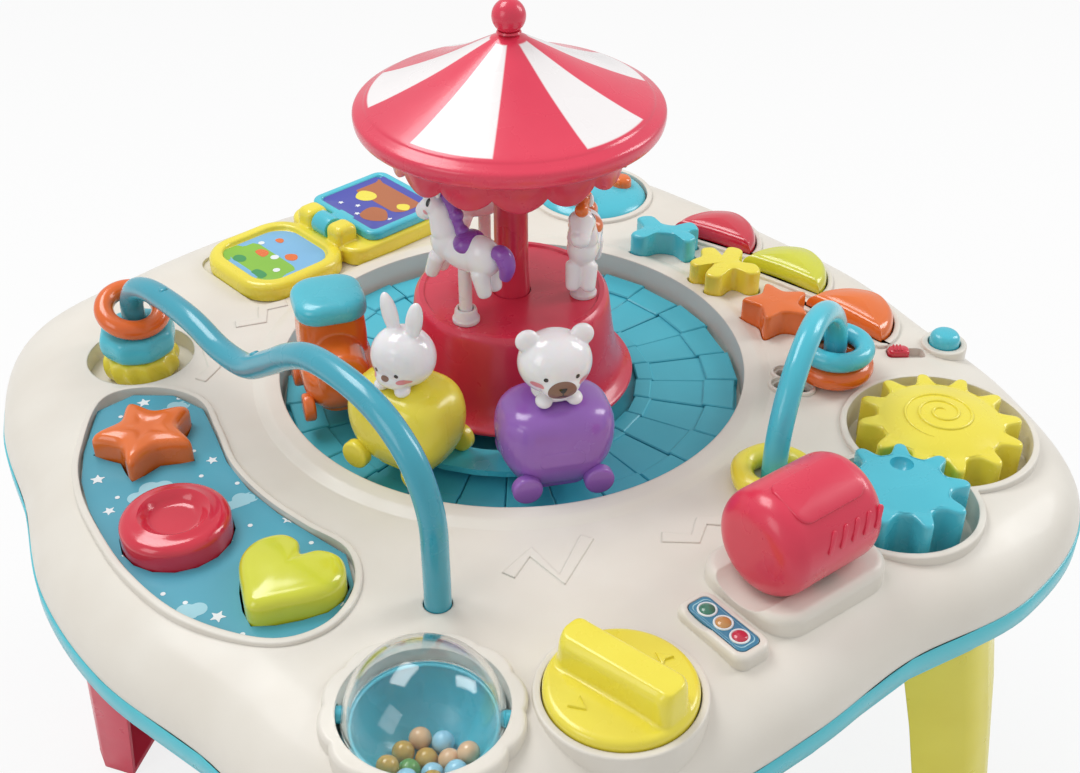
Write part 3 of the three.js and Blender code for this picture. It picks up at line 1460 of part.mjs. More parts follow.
// Roller: a hollow barrel with rounded ends, slotted below for the web that carries it
function barrelProfile(radius, half, edge) {
  const profile = [[0, -half]];
  const steps = 3;
  for (let i = 0; i <= steps; i++) {
    const angle = (Math.PI / 2) * (i / steps);
    const r = radius - edge + edge * Math.sin(angle);
    profile.push([r, -half + edge * (1 - Math.cos(angle))]);
  }
  for (let i = steps; i >= 0; i--) {
    const angle = (Math.PI / 2) * (i / steps);
    const r = radius - edge + edge * Math.sin(angle);
    profile.push([r, half - edge * (1 - Math.cos(angle))]);
  }
  profile.push([0, half]);
  return profile;
}

function roller() {
  const outside = turnedForm(barrelProfile(ROLLER_RADIUS, ROLLER_HALF, ROLLER_EDGE), 16);
  const edge = ROLLER_EDGE - WALL;
  const inside = turnedForm(barrelProfile(ROLLER_RADIUS - WALL, ROLLER_HALF - WALL, edge), 16);
  const seat = AXLE_RADIUS + GAP;
  const bosses = [-1, 1].map((side) => {
    const boss = disc(seat + WALL, ROLLER_HALF - WALL * 1.5 - AXLE_SEAT, ROLLER_HALF - WALL / 2, 12);
    return side > 0 ? boss : boss.rotateX(Math.PI);
  });
  const bore = disc(seat, -AXLE_HALF - GAP, AXLE_HALF + GAP, 10);
  const opening = degrees(ROLLER_ROCK) + Math.asin(WEB_WIDTH / 2 / (ROLLER_RADIUS - WALL));
  const reach = ROLLER_RADIUS * 2;
  const slot = new THREE.Shape([
    new THREE.Vector2(0, 0),
    new THREE.Vector2(reach * Math.cos(opening), reach * Math.sin(opening)),
    new THREE.Vector2(reach * 2, 0),
    new THREE.Vector2(reach * Math.cos(opening), -reach * Math.sin(opening)),
  ]);
  const half = WEB_LENGTH / 2 + RUNNING_GAP;
  const form = cut(join(cut(outside, inside), ...bosses), bore, prism(slot, -half, half));
  form.rotateY(Math.PI / 2).rotateZ(degrees(ROLLER_TURN));
  return form.translate(rollerAt[0], rollerAt[1], ROLLER_Z);
}

function lightPanel() {
  const top = TOP_Z + LIGHT_RISE;
  const plate = lightPlate(0, top - LIGHT_PLATE, top);
  const lamps = [-1, 0, 1].map((step) => {
    const lamp = ball(LIGHT_WIDTH * 0.3, 0, 0, top, [1, 1, 0.35], 6);
    return lamp.translate(step * LIGHT_LENGTH * 0.29, 0, 0);
  });
  return join(plate, ...lamps).rotateZ(degrees(LIGHT_TURN)).translate(lightAt[0], lightAt[1], 0);
}

// Knob: a disc with a waved grip across it
function knob() {
  const z = KNOB_FLOOR_Z + GAP;
  const top = TOP_Z + KNOB_RISE;
  const base = pillow(circle(KNOB_RADIUS, 22), z, top, KNOB_RISE / 2, KNOB_RISE / 2, 1);
  const length = KNOB_RADIUS * 1.9;
  const gripTop = top + KNOB_GRIP_RISE;
  const bar = pillow(
    rectangle(length, KNOB_GRIP_WIDTH, KNOB_GRIP_WIDTH / 2.5),
    top - KNOB_RISE / 2,
    gripTop,
    KNOB_GRIP_WIDTH / 5,
    KNOB_GRIP_WIDTH / 4,
    1,
    2,
  );
  const grip = bent(bar, (p) => {
    p.y += KNOB_GRIP_WIDTH * 0.12 * Math.sin((p.x / length) * 2 * Math.PI);
  });
  const bore = disc(GEAR_PIN + GAP, z - OVERRUN, TOP_Z + KNOB_SEAT + GAP, 10);
  const form = cut(join(base, grip), bore);
  return form.rotateZ(degrees(KNOB_TURN)).translate(knobAt[0], knobAt[1], 0);
}

// Rattle ball: two half shells about a level axle, with beads in the lower one
function ballHalf(side) {
  const quarter = (radius) => {
    const steps = 4;
    const angles = Array.from({ length: steps + 1 }, (_, i) => (Math.PI / 2) * (1 - i / steps));
    return angles.map((angle) => [radius * Math.cos(angle), radius * Math.sin(angle)]);
  };
  const outer = quarter(BALL_RADIUS);
  const inner = quarter(BALL_RADIUS - BALL_WALL);
  const profile = [...outer, ...inner.reverse()].map(([r, z]) => [r, z + GAP / 2]);
  const shell = turnedForm(profile.reverse(), 16);
  return side > 0 ? shell : shell.rotateX(Math.PI);
}

const putBall = (form) =>
  form.rotateZ(degrees(BALL_TURN)).translate(ballAt[0], ballAt[1], BALL_Z);

function ballLowerHalf() {
  const reach = BALL_WELL + PETAL_WIDTH * 0.5;
  const stub = (side) =>
    limb(
      [side * (BALL_RADIUS - BALL_WALL), 0, 0],
      [side * reach, 0, 0],
      BALL_PIVOT,
      BALL_PIVOT,
      8,
    );
  return putBall(join(ballHalf(-1), stub(-1), stub(1)));
}

function ballUpperHalf() {
  const reach = BALL_RADIUS * 2;
  const notch = limb([-reach, 0, 0], [reach, 0, 0], BALL_PIVOT + GAP, BALL_PIVOT + GAP, 8);
  return putBall(cut(ballHalf(1), notch));
}

function beads() {
  const depth = BALL_RADIUS - BALL_WALL - BEAD_RADIUS - GAP;
  const forms = [ball(BEAD_RADIUS, 0, 0, -depth, [1, 1, 1], 6)];
  const ring = 6;
  const spread = (BEAD_RADIUS * 1.6) / depth;
  for (let i = 0; i < ring; i++) {
    const angle = (2 * Math.PI * i) / ring;
    const x = depth * Math.sin(spread) * Math.cos(angle);
    const y = depth * Math.sin(spread) * Math.sin(angle);
    forms.push(ball(BEAD_RADIUS, x, y, -depth * Math.cos(spread), [1, 1, 1], 6));
  }
  return putBall(join(...forms));
}

// Spinner: a domed disc, with pegs that stand up through it from a ring underneath
const SPINNER_RING_TOP_Z = SPINNER_FLOOR_Z + GAP + WALL;

function spinnerDisc() {
  const z = SPINNER_RING_TOP_Z + GAP;
  const dome = pillow(circle(SPINNER_RADIUS, 20), z, TOP_Z + SPINNER_RISE, SPINNER_RADIUS / 3, SPINNER_RISE);
  const bore = disc(GEAR_PIN + GAP, z - OVERRUN, TOP_Z + GAP, 10);
  const holes = pegPlaces().map(([x, y]) =>
    disc(PEG_RADIUS + GAP, z - OVERRUN, TOP_Z + SPINNER_RISE + OVERRUN, 8).translate(x, y, 0),
  );
  return cut(dome, bore, ...holes).translate(spinnerAt[0], spinnerAt[1], 0);
}

function pegPlaces() {
  return Array.from({ length: PEGS }, (_, i) => {
    const angle = (2 * Math.PI * i) / PEGS + degrees(100);
    return [PEG_RING * Math.cos(angle), PEG_RING * Math.sin(angle)];
  });
}

function spinnerPegs() {
  const z = SPINNER_FLOOR_Z + GAP;
  const ring = tubeForm(GEAR_PIN + GAP, PEG_RING + PEG_RADIUS, z, SPINNER_RING_TOP_Z, 16);
  const pegs = pegPlaces().map(([x, y]) =>
    pillow(circle(PEG_RADIUS, 8), z, TOP_Z + PEG_RISE, PEG_RADIUS / 3, PEG_RADIUS / 3, 1).translate(x, y, 0),
  );
  return join(ring, ...pegs).translate(spinnerAt[0], spinnerAt[1], 0);
}

// Book: a base with two wings, and one framed page that turns over a hinge pin
const HINGE_Z = BOOK_TOP_Z + PAGE_THICKNESS / 2 + GAP;
const putBook = (form) => form.rotateZ(degrees(BOOK_TURN)).translate(bookAt[0], bookAt[1], 0);

const knuckle = (centre, length, radius = KNUCKLE_RADIUS) =>
  limb([0, centre - length / 2, HINGE_Z], [0, centre + length / 2, HINGE_Z], radius, radius, 12);

function pinHole() {
  return knuckle(0, BOOK_DEPTH * 2, HINGE_PIN + GAP);
}

const KNUCKLE_STEP = KNUCKLE_LENGTH + GAP;

function bookBase() {
  const bottom = TOP_Z - BOOK_SEAT + GAP;
  const slab = pillow(bookOutline(0), bottom, BOOK_TOP_Z, BLOCK_EDGE, BLOCK_EDGE, 1);
  const ears = [-KNUCKLE_STEP, KNUCKLE_STEP].map((y) => knuckle(y, KNUCKLE_LENGTH));
  const gap = knuckle(0, KNUCKLE_LENGTH + 2 * GAP, KNUCKLE_RADIUS + GAP);
  return putBook(cut(join(slab, ...ears), pinHole(), gap));
}

function hingePin() {
  return putBook(knuckle(0, KNUCKLE_LENGTH * 3, HINGE_PIN));
}

function bookPage() {
  const reach = BOOK_WING - BOOK_CORNER / 2;
  const clear = KNUCKLE_RADIUS + RUNNING_GAP;
  const leafShape = rectangle(reach - clear, BOOK_DEPTH - BOOK_CORNER / 2, BOOK_CORNER / 1.5);
  const leaf = prism(leafShape, BOOK_TOP_Z + GAP, BOOK_TOP_Z + GAP + PAGE_THICKNESS, 2);
  leaf.translate((reach + clear) / 2, 0, 0);
  const tongueShape = rectangle(clear * 2, KNUCKLE_LENGTH - GAP, HINGE_PIN / 2);
  const tongue = prism(tongueShape, BOOK_TOP_Z + GAP, BOOK_TOP_Z + GAP + PAGE_THICKNESS, 1);
  const bar = knuckle(0, KNUCKLE_LENGTH - GAP);
  return putBook(cut(join(leaf, tongue.translate(clear, 0, 0), bar), pinHole()));
}

// Slide switch, and the blocks
function powerSwitch() {
  const bottom = TOP_Z - SLOT_DEPTH + GAP;
  const form = pillow(
    rectangle(SWITCH_LENGTH, SWITCH_WIDTH, SWITCH_WIDTH / 3),
    bottom,
    TOP_Z + SWITCH_RISE,
    SWITCH_WIDTH / 6,
    SWITCH_WIDTH / 6,
    1,
  );
  form.translate(-SWITCH_TRAVEL / 2, 0, 0).rotateZ(degrees(SWITCH_TURN));
  return form.translate(switchAt[0], switchAt[1], 0);
}

function block(index) {
  const bottom = TOP_Z - BLOCK_DEPTH + GAP;
  const shape = blockShapes[index](0);
  const form = domed(shape, BLOCK_RADIUS, bottom, bottom + BLOCK_HEIGHT, BLOCK_EDGE, BLOCK_EDGE, 1);
  const [x, y] = placeOf(BLOCK_SHARES[index]);
  return form.rotateZ(degrees(BLOCK_TURNS[index])).translate(x, y, 0);
}

// Bead tubes: a round bar bent along a path between its two feet
function beadTube(feet, pathShares, rise, lower, steps) {
  const [[startX, startY], [endX, endY]] = feet;
  const points = pathShares.map(([along, up]) => {
    const x = startX + (endX - startX) * along;
    const y = startY + (endY - startY) * along;
    return new THREE.Vector3(x, y, TOP_Z + rise * up);
  });
  points[0].z = TOP_Z - TUBE_SEAT + GAP;
  points[points.length - 1].z -= rise * pathShares[pathShares.length - 1][1];
  points.push(points[points.length - 1].clone().setZ(TOP_Z - lower - TUBE_SEAT + GAP));
  if (lower === 0) points.splice(points.length - 2, 1);
  const path = new THREE.CatmullRomCurve3(points);
  const section = circle(TUBE_RADIUS, TUBE_SIDES);
  return new THREE.ExtrudeGeometry(section, { steps, bevelEnabled: false, extrudePath: path });
}

function torus(radius, section, z, [x, y], sides = 6) {
  const form = new THREE.TorusGeometry(radius, section, sides, RING_SIDES);
  return form.translate(x, y, z);
}

// A ring with flutes or facets on its outer side
function bandRing(z, height, flutes, depth, [x, y]) {
  const edge = height / 4;
  const outline = polarShape(flutes * 2, (angle) => {
    return BAND_RING_RADIUS - depth * (0.5 - 0.5 * Math.cos(angle * flutes));
  });
  const body = pillow(outline, z, z + height, edge, edge, 1);
  const bore = disc(TUBE_RADIUS + 2 * RUNNING_GAP + WALL / 2, z - OVERRUN, z + height + OVERRUN, 12);
  return cut(body, bore).translate(x, y, 0);
}

// Materials
function plastic(color, roughness = 0.35, metalness = 0) {
  return new THREE.MeshStandardMaterial({ color, roughness, metalness });
}

const cream = plastic(0xe2ddd2, 0.42);
const teal = plastic(0x4cc0d2);
const deepTeal = plastic(0x44b2c6, 0.45);
const red = plastic(0xe23b55);
const rose = plastic(0xd8304f);
const yellow = plastic(0xecd94a);
const lime = plastic(0xd0d03f);
const orange = plastic(0xe26a1f);
const purple = plastic(0x9a62be);
const glossWhite = plastic(0xf4f2f2, 0.25);
const panelBlue = plastic(0x4f9fb8, 0.5);
const clear = plastic(0xe8f0f2, 0.08);
const steel = plastic(0xb9bcc0, 0.3, 1);
const board = plastic(0x2f7a4a, 0.6);
const dark = plastic(0x303236, 0.6);

function piece(name, geometry, material) {
  geometry.deleteAttribute("uv");
  geometry.computeVertexNormals();
  const mesh = new THREE.Mesh(geometry, material);
  mesh.name = name;
  return mesh;
}

// Assembly: everything stands about the turntable's axis, then moves to the box's middle
const table = new THREE.Group();
const add = (name, geometry, material) => table.add(piece(name, geometry, material));

add("top_shell", topShell(), cream);
add("bottom_shell", bottomShell(), teal);
add("battery_door", batteryDoor(), teal);
add("leg_left", leg(LEG_ANGLES[0]), rose);
add("leg_right", leg(LEG_ANGLES[1]), yellow);
add("leg_front", leg(LEG_ANGLES[2]), yellow);
add("leg_back", leg(LEG_ANGLES[3]), rose);
add("circuit_board", circuitBoard(), board);
add("speaker", speaker(), dark);
add("gear_motor", gearMotor(), dark);

add("track_plate", trackPlate(), deepTeal);
add("train_ring", trainRing(), teal);
add("carousel_drum", drum(), rose);
add("carousel_column", column(), rose);
add("carousel_roof", roof(), red);
add("roof_skirt", roofSkirt(), rose);
add("roof_finial", finial(), rose);
add("horse_guides", horseGuides(), glossWhite);
table.add(horseMesh("horse_purple_mane", 0));
table.add(horseMesh("horse_orange_mane", 1));
table.add(horseMesh("horse_third", 2));

function carGroup(angle) {
  const group = new THREE.Group();
  const turn = degrees(angle);
  group.position.set(CAR_RING * Math.cos(turn), CAR_RING * Math.sin(turn), RUNNER_TOP_Z + GAP);
  group.rotation.z = turn + Math.PI / 2;
  table.add(group);
  return group;
}

const HEAD_Z = CAR_FLOOR + CAR_HEIGHT + HEAD_RADIUS * 0.8;
const locoGroup = carGroup(LOCO_ANGLE);
locoGroup.add(piece("loco_body", locoBody(), orange));
locoGroup.add(piece("loco_roof", locoRoof(), teal));
const yellowGroup = carGroup(YELLOW_ANGLE);
yellowGroup.add(piece("yellow_wagon", wagon(false, 0), yellow));
yellowGroup.add(piece("rabbit_head", rabbitHead().translate(0, 0, HEAD_Z), glossWhite));
const purpleGroup = carGroup(PURPLE_ANGLE);
purpleGroup.add(piece("purple_wagon", wagon(true, BEAR_RISE), purple));
purpleGroup.add(piece("bear_head", bearHead().translate(0, 0, HEAD_Z + BEAR_RISE), glossWhite));

add("button_panel", buttonPanel(), panelBlue);
add("star_button", button(buttonWells[0], BUTTON_RISE, BUTTON_EDGE), orange);
add("round_button", roundButton(), rose);
add("heart_button", button(buttonWells[2], BUTTON_RISE, BUTTON_EDGE), lime);
add("key_red", button(buttonWells[3], KEY_RISE, KEY_EDGE), rose);
add("key_lime", button(buttonWells[4], KEY_RISE, KEY_EDGE), lime);
add("key_orange", button(buttonWells[5], KEY_RISE, KEY_EDGE), orange);
add("mode_button", button(buttonWells[6], MODE_RISE, MODE_RADIUS / 4), teal);
add("power_switch", powerSwitch(), rose);
add("block_teal", block(0), teal);
add("block_yellow", block(1), yellow);
add("block_orange", block(2), orange);

add("sun_gear", sunGear(), yellow);
add("teal_gear", mateGear(), teal);
add("roller", roller(), red);
add("traffic_light_panel", lightPanel(), panelBlue);
add("knob", knob(), yellow);
add("ball_clear_half", ballUpperHalf(), clear);
add("ball_teal_half", ballLowerHalf(), teal);
add("ball_beads", beads(), orange);
add("spinner_disc", spinnerDisc(), teal);
add("spinner_pegs", spinnerPegs(), orange);
add("book_base", bookBase(), yellow);
add("book_hinge_pin", hingePin(), steel);
add("book_page", bookPage(), teal);

add(
  "left_bead_tube",
  beadTube(leftFeet, LEFT_TUBE_PATH_SHARES, LEFT_TUBE_RISE, RING_WELL_DEPTH, LEFT_TUBE_STEPS),
  teal,
);
add(
  "right_bead_tube",
  beadTube(rightFeet, RIGHT_TUBE_PATH_SHARES, RIGHT_TUBE_RISE, 0, RIGHT_TUBE_STEPS),
  teal,
);
// A ring's section has six sides, so its flats lie nearer its middle than its corners
const FLAT_SHARE = Math.sin(Math.PI / 3);
const FLUTED_Z = LEFT_FLOOR_Z + GAP;
const FACETED_Z = FLUTED_Z + BAND_RING_HEIGHT + GAP;
const LEFT_TORUS_Z = FACETED_Z + BAND_RING_HEIGHT + GAP + RING_SECTION * FLAT_SHARE;
add("left_ring_yellow", bandRing(FLUTED_Z, BAND_RING_HEIGHT, 12, 1.4, leftFeet[1]), yellow);
add("left_ring_teal", bandRing(FACETED_Z, BAND_RING_HEIGHT, 8, 1, leftFeet[1]), teal);
add("left_ring_orange", torus(RING_RADIUS, RING_SECTION, LEFT_TORUS_Z, leftFeet[1]), orange);
const RIGHT_TORUS_Z = TOP_Z + GAP + WIDE_RING_SECTION * FLAT_SHARE;
const BACK_TORUS_Z = RIGHT_TORUS_Z + LIP_HEIGHT;
const UPPER_TORUS_Z = BACK_TORUS_Z + (WIDE_RING_SECTION + RING_SECTION) * FLAT_SHARE + GAP;
add("right_ring_yellow", torus(WIDE_RING_RADIUS, WIDE_RING_SECTION, RIGHT_TORUS_Z, rightFeet[0]), yellow);
add("right_ring_orange", torus(WIDE_RING_RADIUS, WIDE_RING_SECTION, BACK_TORUS_Z, rightFeet[1]), orange);
add("right_ring_teal", torus(WIDE_RING_RADIUS, RING_SECTION, UPPER_TORUS_Z, rightFeet[1]), teal);

const part = new THREE.Group();
const box = new THREE.Box3().setFromObject(table);
table.position.set(-(box.min.x + box.max.x) / 2, -(box.min.y + box.max.y) / 2, 0);
part.add(table);

export default part;
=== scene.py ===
# %% [markdown]
# # A baby activity table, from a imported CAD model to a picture
# A lobed plastic top stands on four legs and carries a carousel, a train, gears, buttons
# and other toys. The CAD model fixes every size and place. This lesson gives each piece
# its moulded shape and its finish, and sets up the light and the camera.

# %% The frame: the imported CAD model, which never moves
import math
import random

import bmesh
import bpy
from mathutils import Matrix, Vector
from mathutils.bvhtree import BVHTree


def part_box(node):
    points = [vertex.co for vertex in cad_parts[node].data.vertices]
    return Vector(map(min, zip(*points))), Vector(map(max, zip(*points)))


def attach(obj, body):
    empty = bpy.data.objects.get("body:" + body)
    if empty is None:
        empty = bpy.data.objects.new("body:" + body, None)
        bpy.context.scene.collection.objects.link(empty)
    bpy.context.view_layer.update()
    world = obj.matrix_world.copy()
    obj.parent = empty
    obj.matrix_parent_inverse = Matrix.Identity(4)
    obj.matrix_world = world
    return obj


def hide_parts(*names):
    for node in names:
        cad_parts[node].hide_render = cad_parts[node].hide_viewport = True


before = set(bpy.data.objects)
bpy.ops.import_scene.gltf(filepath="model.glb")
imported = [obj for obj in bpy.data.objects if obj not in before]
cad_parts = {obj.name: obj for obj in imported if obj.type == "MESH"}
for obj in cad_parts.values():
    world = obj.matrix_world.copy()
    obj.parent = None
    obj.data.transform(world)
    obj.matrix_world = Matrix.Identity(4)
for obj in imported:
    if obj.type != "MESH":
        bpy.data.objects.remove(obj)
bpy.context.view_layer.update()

# %% [markdown]
# ## Where things are
# The model stands round the turntable's axis. All work below is in millimetres from the
# floor, because toys are drawn in millimetres; one helper turns them into metres. Places
# on the top are shares of its radius, counted from the turntable's axis.

# %% Places on the top
MM = 0.001
TABLE_RADIUS = 200.0
TOP_Z = 268.0
DOWN, ALONG_X = (0, 0, -1), (1, 0, 0)
foot_low, foot_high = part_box("carousel_drum")
AXIS = ((foot_low.x + foot_high.x) / 2 / MM, (foot_low.y + foot_high.y) / 2 / MM)


def spot(share):
    return (AXIS[0] + share[0] * TABLE_RADIUS, AXIS[1] + share[1] * TABLE_RADIUS)


def polar(middle, radius, angle):
    """The point at a radius and an angle, in radians, round a middle."""
    return (middle[0] + radius * math.cos(angle), middle[1] + radius * math.sin(angle))


def turns(count):
    """Angles spread evenly round a full turn."""
    return [2 * math.pi * i / count for i in range(count)]


def box_mm(node):
    low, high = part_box(node)
    return low / MM, high / MM


def in_scene(obj):
    bpy.context.scene.collection.objects.link(obj)
    return obj


print("turntable axis", [round(v, 2) for v in AXIS])

# %% [markdown]
# ## The camera
# A photograph fixes its camera: lines that run away from us meet in the distance, and how
# fast they meet gives the lens. The round turntable gave the tilt and the height here, so
# the camera stands where the photographer stood and the picture needs no shift.

# %% The camera at the photographer's place
CAMERA_BACK = (-253.0, -438.0)
CAMERA_UP = 347.6
CAMERA_HEADING = math.radians(58.68)
CAMERA_TILT = math.radians(35.48)
CAMERA_ROLL = math.radians(0.15)
LENS, SENSOR, NEAREST = 48.99, 36.0, 0.01

camera_data = bpy.data.cameras.new("photo_camera")
camera_data.sensor_width = SENSOR
camera_data.lens = LENS
camera_data.clip_start = NEAREST
camera = in_scene(bpy.data.objects.new("photo_camera", camera_data))
camera.location = Vector((AXIS[0] + CAMERA_BACK[0], AXIS[1] + CAMERA_BACK[1], TOP_Z + CAMERA_UP)) * MM
heading = Matrix.Rotation(CAMERA_HEADING - math.pi / 2, 4, "Z")
tilt = Matrix.Rotation(math.pi / 2 - CAMERA_TILT, 4, "X")
roll = Matrix.Rotation(CAMERA_ROLL, 4, "Z")
camera.matrix_world = Matrix.Translation(camera.location) @ heading @ tilt @ roll
bpy.context.scene.camera = camera
bpy.context.scene.view_settings.view_transform = "Standard"
print("camera at", [round(v, 3) for v in camera.location])

# %% [markdown]
# ## Node trees in few words
# Materials and repeated shapes are node trees. Two helpers keep them short: one adds a
# node and sets or links its inputs, the other adds a step of arithmetic. A third names
# the inputs and outputs of a group, so that each use of it can have its own values.

# %% Helpers for node trees


def makers(tree):
    def add(kind, values=None, **settings):
        made = tree.nodes.new(kind)
        for key, value in settings.items():
            setattr(made, key, value)
        for key, value in (values or {}).items():
            if isinstance(value, bpy.types.NodeSocket):
                tree.links.new(value, made.inputs[key])
            else:
                made.inputs[key].default_value = value
        return made

    def maths(operation, *values):
        return add("ShaderNodeMath", dict(enumerate(values)), operation=operation).outputs[0]

    return add, maths


def sockets(tree, way, *rows):
    for name, kind, *value in rows:
        socket = tree.interface.new_socket(name=name, in_out=way, socket_type="NodeSocket" + kind)
        if value:
            socket.default_value = value[0]


print("node helpers ready")

# %% [markdown]
# ## Floor and light
# A catalogue photograph has a white background and soft light from all sides. The floor
# is a plain diffuse sheet, and what the camera sees of it is lifted to white by Light Path
# and not by stronger lamps, so the toys keep their own colours and the floor its shadow.

# %% A pale floor that looks white to the camera
FLOOR_REACH = 3.0
FLOOR_GREY = 0.82
SEEN_WHITE = 1.0
SEEN_SHARE = 0.8


def stage_material():
    material = bpy.data.materials.new("studio_floor")
    material.use_nodes = True
    material.node_tree.nodes.clear()
    add, maths = makers(material.node_tree)
    paper = add("ShaderNodeBsdfDiffuse", {"Color": (FLOOR_GREY, FLOOR_GREY, FLOOR_GREY, 1)})
    glow = add("ShaderNodeEmission", {"Strength": SEEN_WHITE})
    path = add("ShaderNodeLightPath").outputs
    seen = maths("MAXIMUM", path["Is Camera Ray"], path["Is Transmission Ray"])
    share = maths("MULTIPLY", seen, SEEN_SHARE)
    mix = add("ShaderNodeMixShader", {0: share, 1: paper.outputs[0], 2: glow.outputs[0]})
    add("ShaderNodeOutputMaterial", {"Surface": mix.outputs[0]})
    return material


floor_mesh = bpy.data.meshes.new("studio_floor")
corners = [(x * FLOOR_REACH, y * FLOOR_REACH, 0) for x, y in ((-1, -1), (1, -1), (1, 1), (-1, 1))]
floor_mesh.from_pydata(corners, [], [(0, 1, 2, 3)])
floor_mesh.materials.append(stage_material())
studio_floor = in_scene(bpy.data.objects.new("studio_floor", floor_mesh))
print("floor reach", FLOOR_REACH, "m")

# %% Soft lamps and a white world
WORLD_STRENGTH = 0.62
# Each lamp's place and size are in metres, its power in watts.
LAMPS = (
    ("lamp_over", (-0.35, 0.75, 1.75), (1.0, 0.7), 13.0),
    ("lamp_right", (1.5, -0.3, 1.2), (0.5, 0.9), 9.0),
    ("lamp_left", (-1.5, -0.3, 1.1), (0.7, 0.9), 4.0),
)

for name, place, size, power in LAMPS:
    data = bpy.data.lights.new(name, "AREA")
    data.shape = "RECTANGLE"
    data.size, data.size_y = size
    data.energy = power
    lamp = in_scene(bpy.data.objects.new(name, data))
    lamp.location = place
    aim = Vector((AXIS[0] * MM, AXIS[1] * MM, TOP_Z * MM)) - lamp.location
    lamp.rotation_euler = aim.to_track_quat("-Z", "Y").to_euler()

world = bpy.data.worlds.new("studio_world")
bpy.context.scene.world = world
world.use_nodes = True
backdrop = world.node_tree.nodes["Background"]
backdrop.inputs["Color"].default_value = (1, 1, 1, 1)
add, _ = makers(world.node_tree)
by_camera = add("ShaderNodeLightPath").outputs["Is Camera Ray"]
strength = add("ShaderNodeMapRange", {"Value": by_camera, "To Min": WORLD_STRENGTH, "To Max": SEEN_WHITE})
world.node_tree.links.new(strength.outputs["Result"], backdrop.inputs["Strength"])
print("lamps", len(bpy.data.lights))

# %% [markdown]
# ## Moulded plastic
# Nearly everything here is injection-moulded plastic. Its colour is mixed through and is
# almost even: thicker places look a little deeper, the skin has a very fine orange peel,
# and handling leaves patches that shine less. All finishes share these effects, so they
# live in one node group, and each material sets its own values.

# %% One node group for the effects of a moulded skin
HANDLED_SIZE, RIPPLE_SIZE, PEEL_SHARE = 55.0, 130.0, 0.35


def build_moulded_skin():
    tree = bpy.data.node_groups.new("moulded_skin", "ShaderNodeTree")
    sockets(tree, "INPUT", ("Colour", "Color"), ("Deep colour", "Color"))
    sockets(tree, "INPUT", ("Mottle size", "Float", 30.0), ("Mottle share", "Float", 0.5))
    sockets(tree, "INPUT", ("Peel size", "Float", 900.0))
    sockets(tree, "INPUT", ("Gloss low", "Float", 0.2), ("Gloss high", "Float", 0.35))
    sockets(tree, "OUTPUT", ("Colour", "Color"), ("Roughness", "Float"), ("Height", "Float"))
    add, maths = makers(tree)
    given = add("NodeGroupInput").outputs
    place = add("ShaderNodeTexCoord").outputs["Object"]

    def noise(size, detail):
        values = {"Vector": place, "Scale": size, "Detail": detail}
        return add("ShaderNodeTexNoise", values).outputs["Fac"]

    def spread(source, low, high, ends):
        values = {"Value": source, "From Min": low, "From Max": high, **ends}
        return add("ShaderNodeMapRange", values).outputs["Result"]

    mottle = spread(noise(given["Mottle size"], 3.0), 0.35, 0.7, {})
    weight = maths("MULTIPLY", mottle, given["Mottle share"])
    colours = {"Factor": weight, "A": given["Colour"], "B": given["Deep colour"]}
    blend = add("ShaderNodeMix", colours, data_type="RGBA")
    ends = {"To Min": given["Gloss low"], "To Max": given["Gloss high"]}
    gloss = spread(noise(HANDLED_SIZE, 4.0), 0.35, 0.65, ends)
    height = maths("MULTIPLY_ADD", noise(given["Peel size"], 2.0), PEEL_SHARE, noise(RIPPLE_SIZE, 1.0))
    results = {"Colour": blend.outputs["Result"], "Roughness": gloss, "Height": height}
    add("NodeGroupOutput", results)
    return tree


moulded_skin = build_moulded_skin()
print("group", moulded_skin.name, len(moulded_skin.nodes), "nodes")

# %% A material of moulded plastic
MOTTLE, PEEL, PEEL_DEPTH = (30.0, 0.55), 900.0, 0.0004
COAT_ROUGHNESS, GLOW_REACH, EDGE_SAMPLES = 0.12, 0.004, 6


def shown_colour(code):
    """A colour as a screen writes it, turned into the linear values that light uses."""
    parts = [int(code[i : i + 2], 16) / 255 for i in (0, 2, 4)]
    linear = [c / 12.92 if c <= 0.04045 else ((c + 0.055) / 1.055) ** 2.4 for c in parts]
    return (*linear, 1.0)


def skinned(name, colours, mottle, peel, gloss, relief, edge, constants):
    """A material whose colour, roughness and bump come from the moulded skin."""
    material = bpy.data.materials.new(name)
    material.use_nodes = True
    tree = material.node_tree
    add, _ = makers(tree)
    values = {"Colour": shown_colour(colours[0]), "Deep colour": shown_colour(colours[1])}
    values |= {"Mottle size": mottle[0], "Mottle share": mottle[1], "Peel size": peel}
    values |= {"Gloss low": gloss[0], "Gloss high": gloss[1]}
    skin = add("ShaderNodeGroup", None, node_tree=moulded_skin)
    for key, value in values.items():
        skin.inputs[key].default_value = value
    bump = {"Strength": relief[0], "Distance": relief[1], "Height": skin.outputs["Height"]}
    if edge:
        rounding = add("ShaderNodeBevel", {"Radius": edge * MM}, samples=EDGE_SAMPLES)
        bump["Normal"] = rounding.outputs["Normal"]
    relief_node = add("ShaderNodeBump", bump)
    bsdf = tree.nodes["Principled BSDF"]
    for key, value in constants.items():
        bsdf.inputs[key].default_value = value
    tree.links.new(skin.outputs["Colour"], bsdf.inputs["Base Color"])
    tree.links.new(skin.outputs["Roughness"], bsdf.inputs["Roughness"])
    tree.links.new(relief_node.outputs["Normal"], bsdf.inputs["Normal"])
    return material


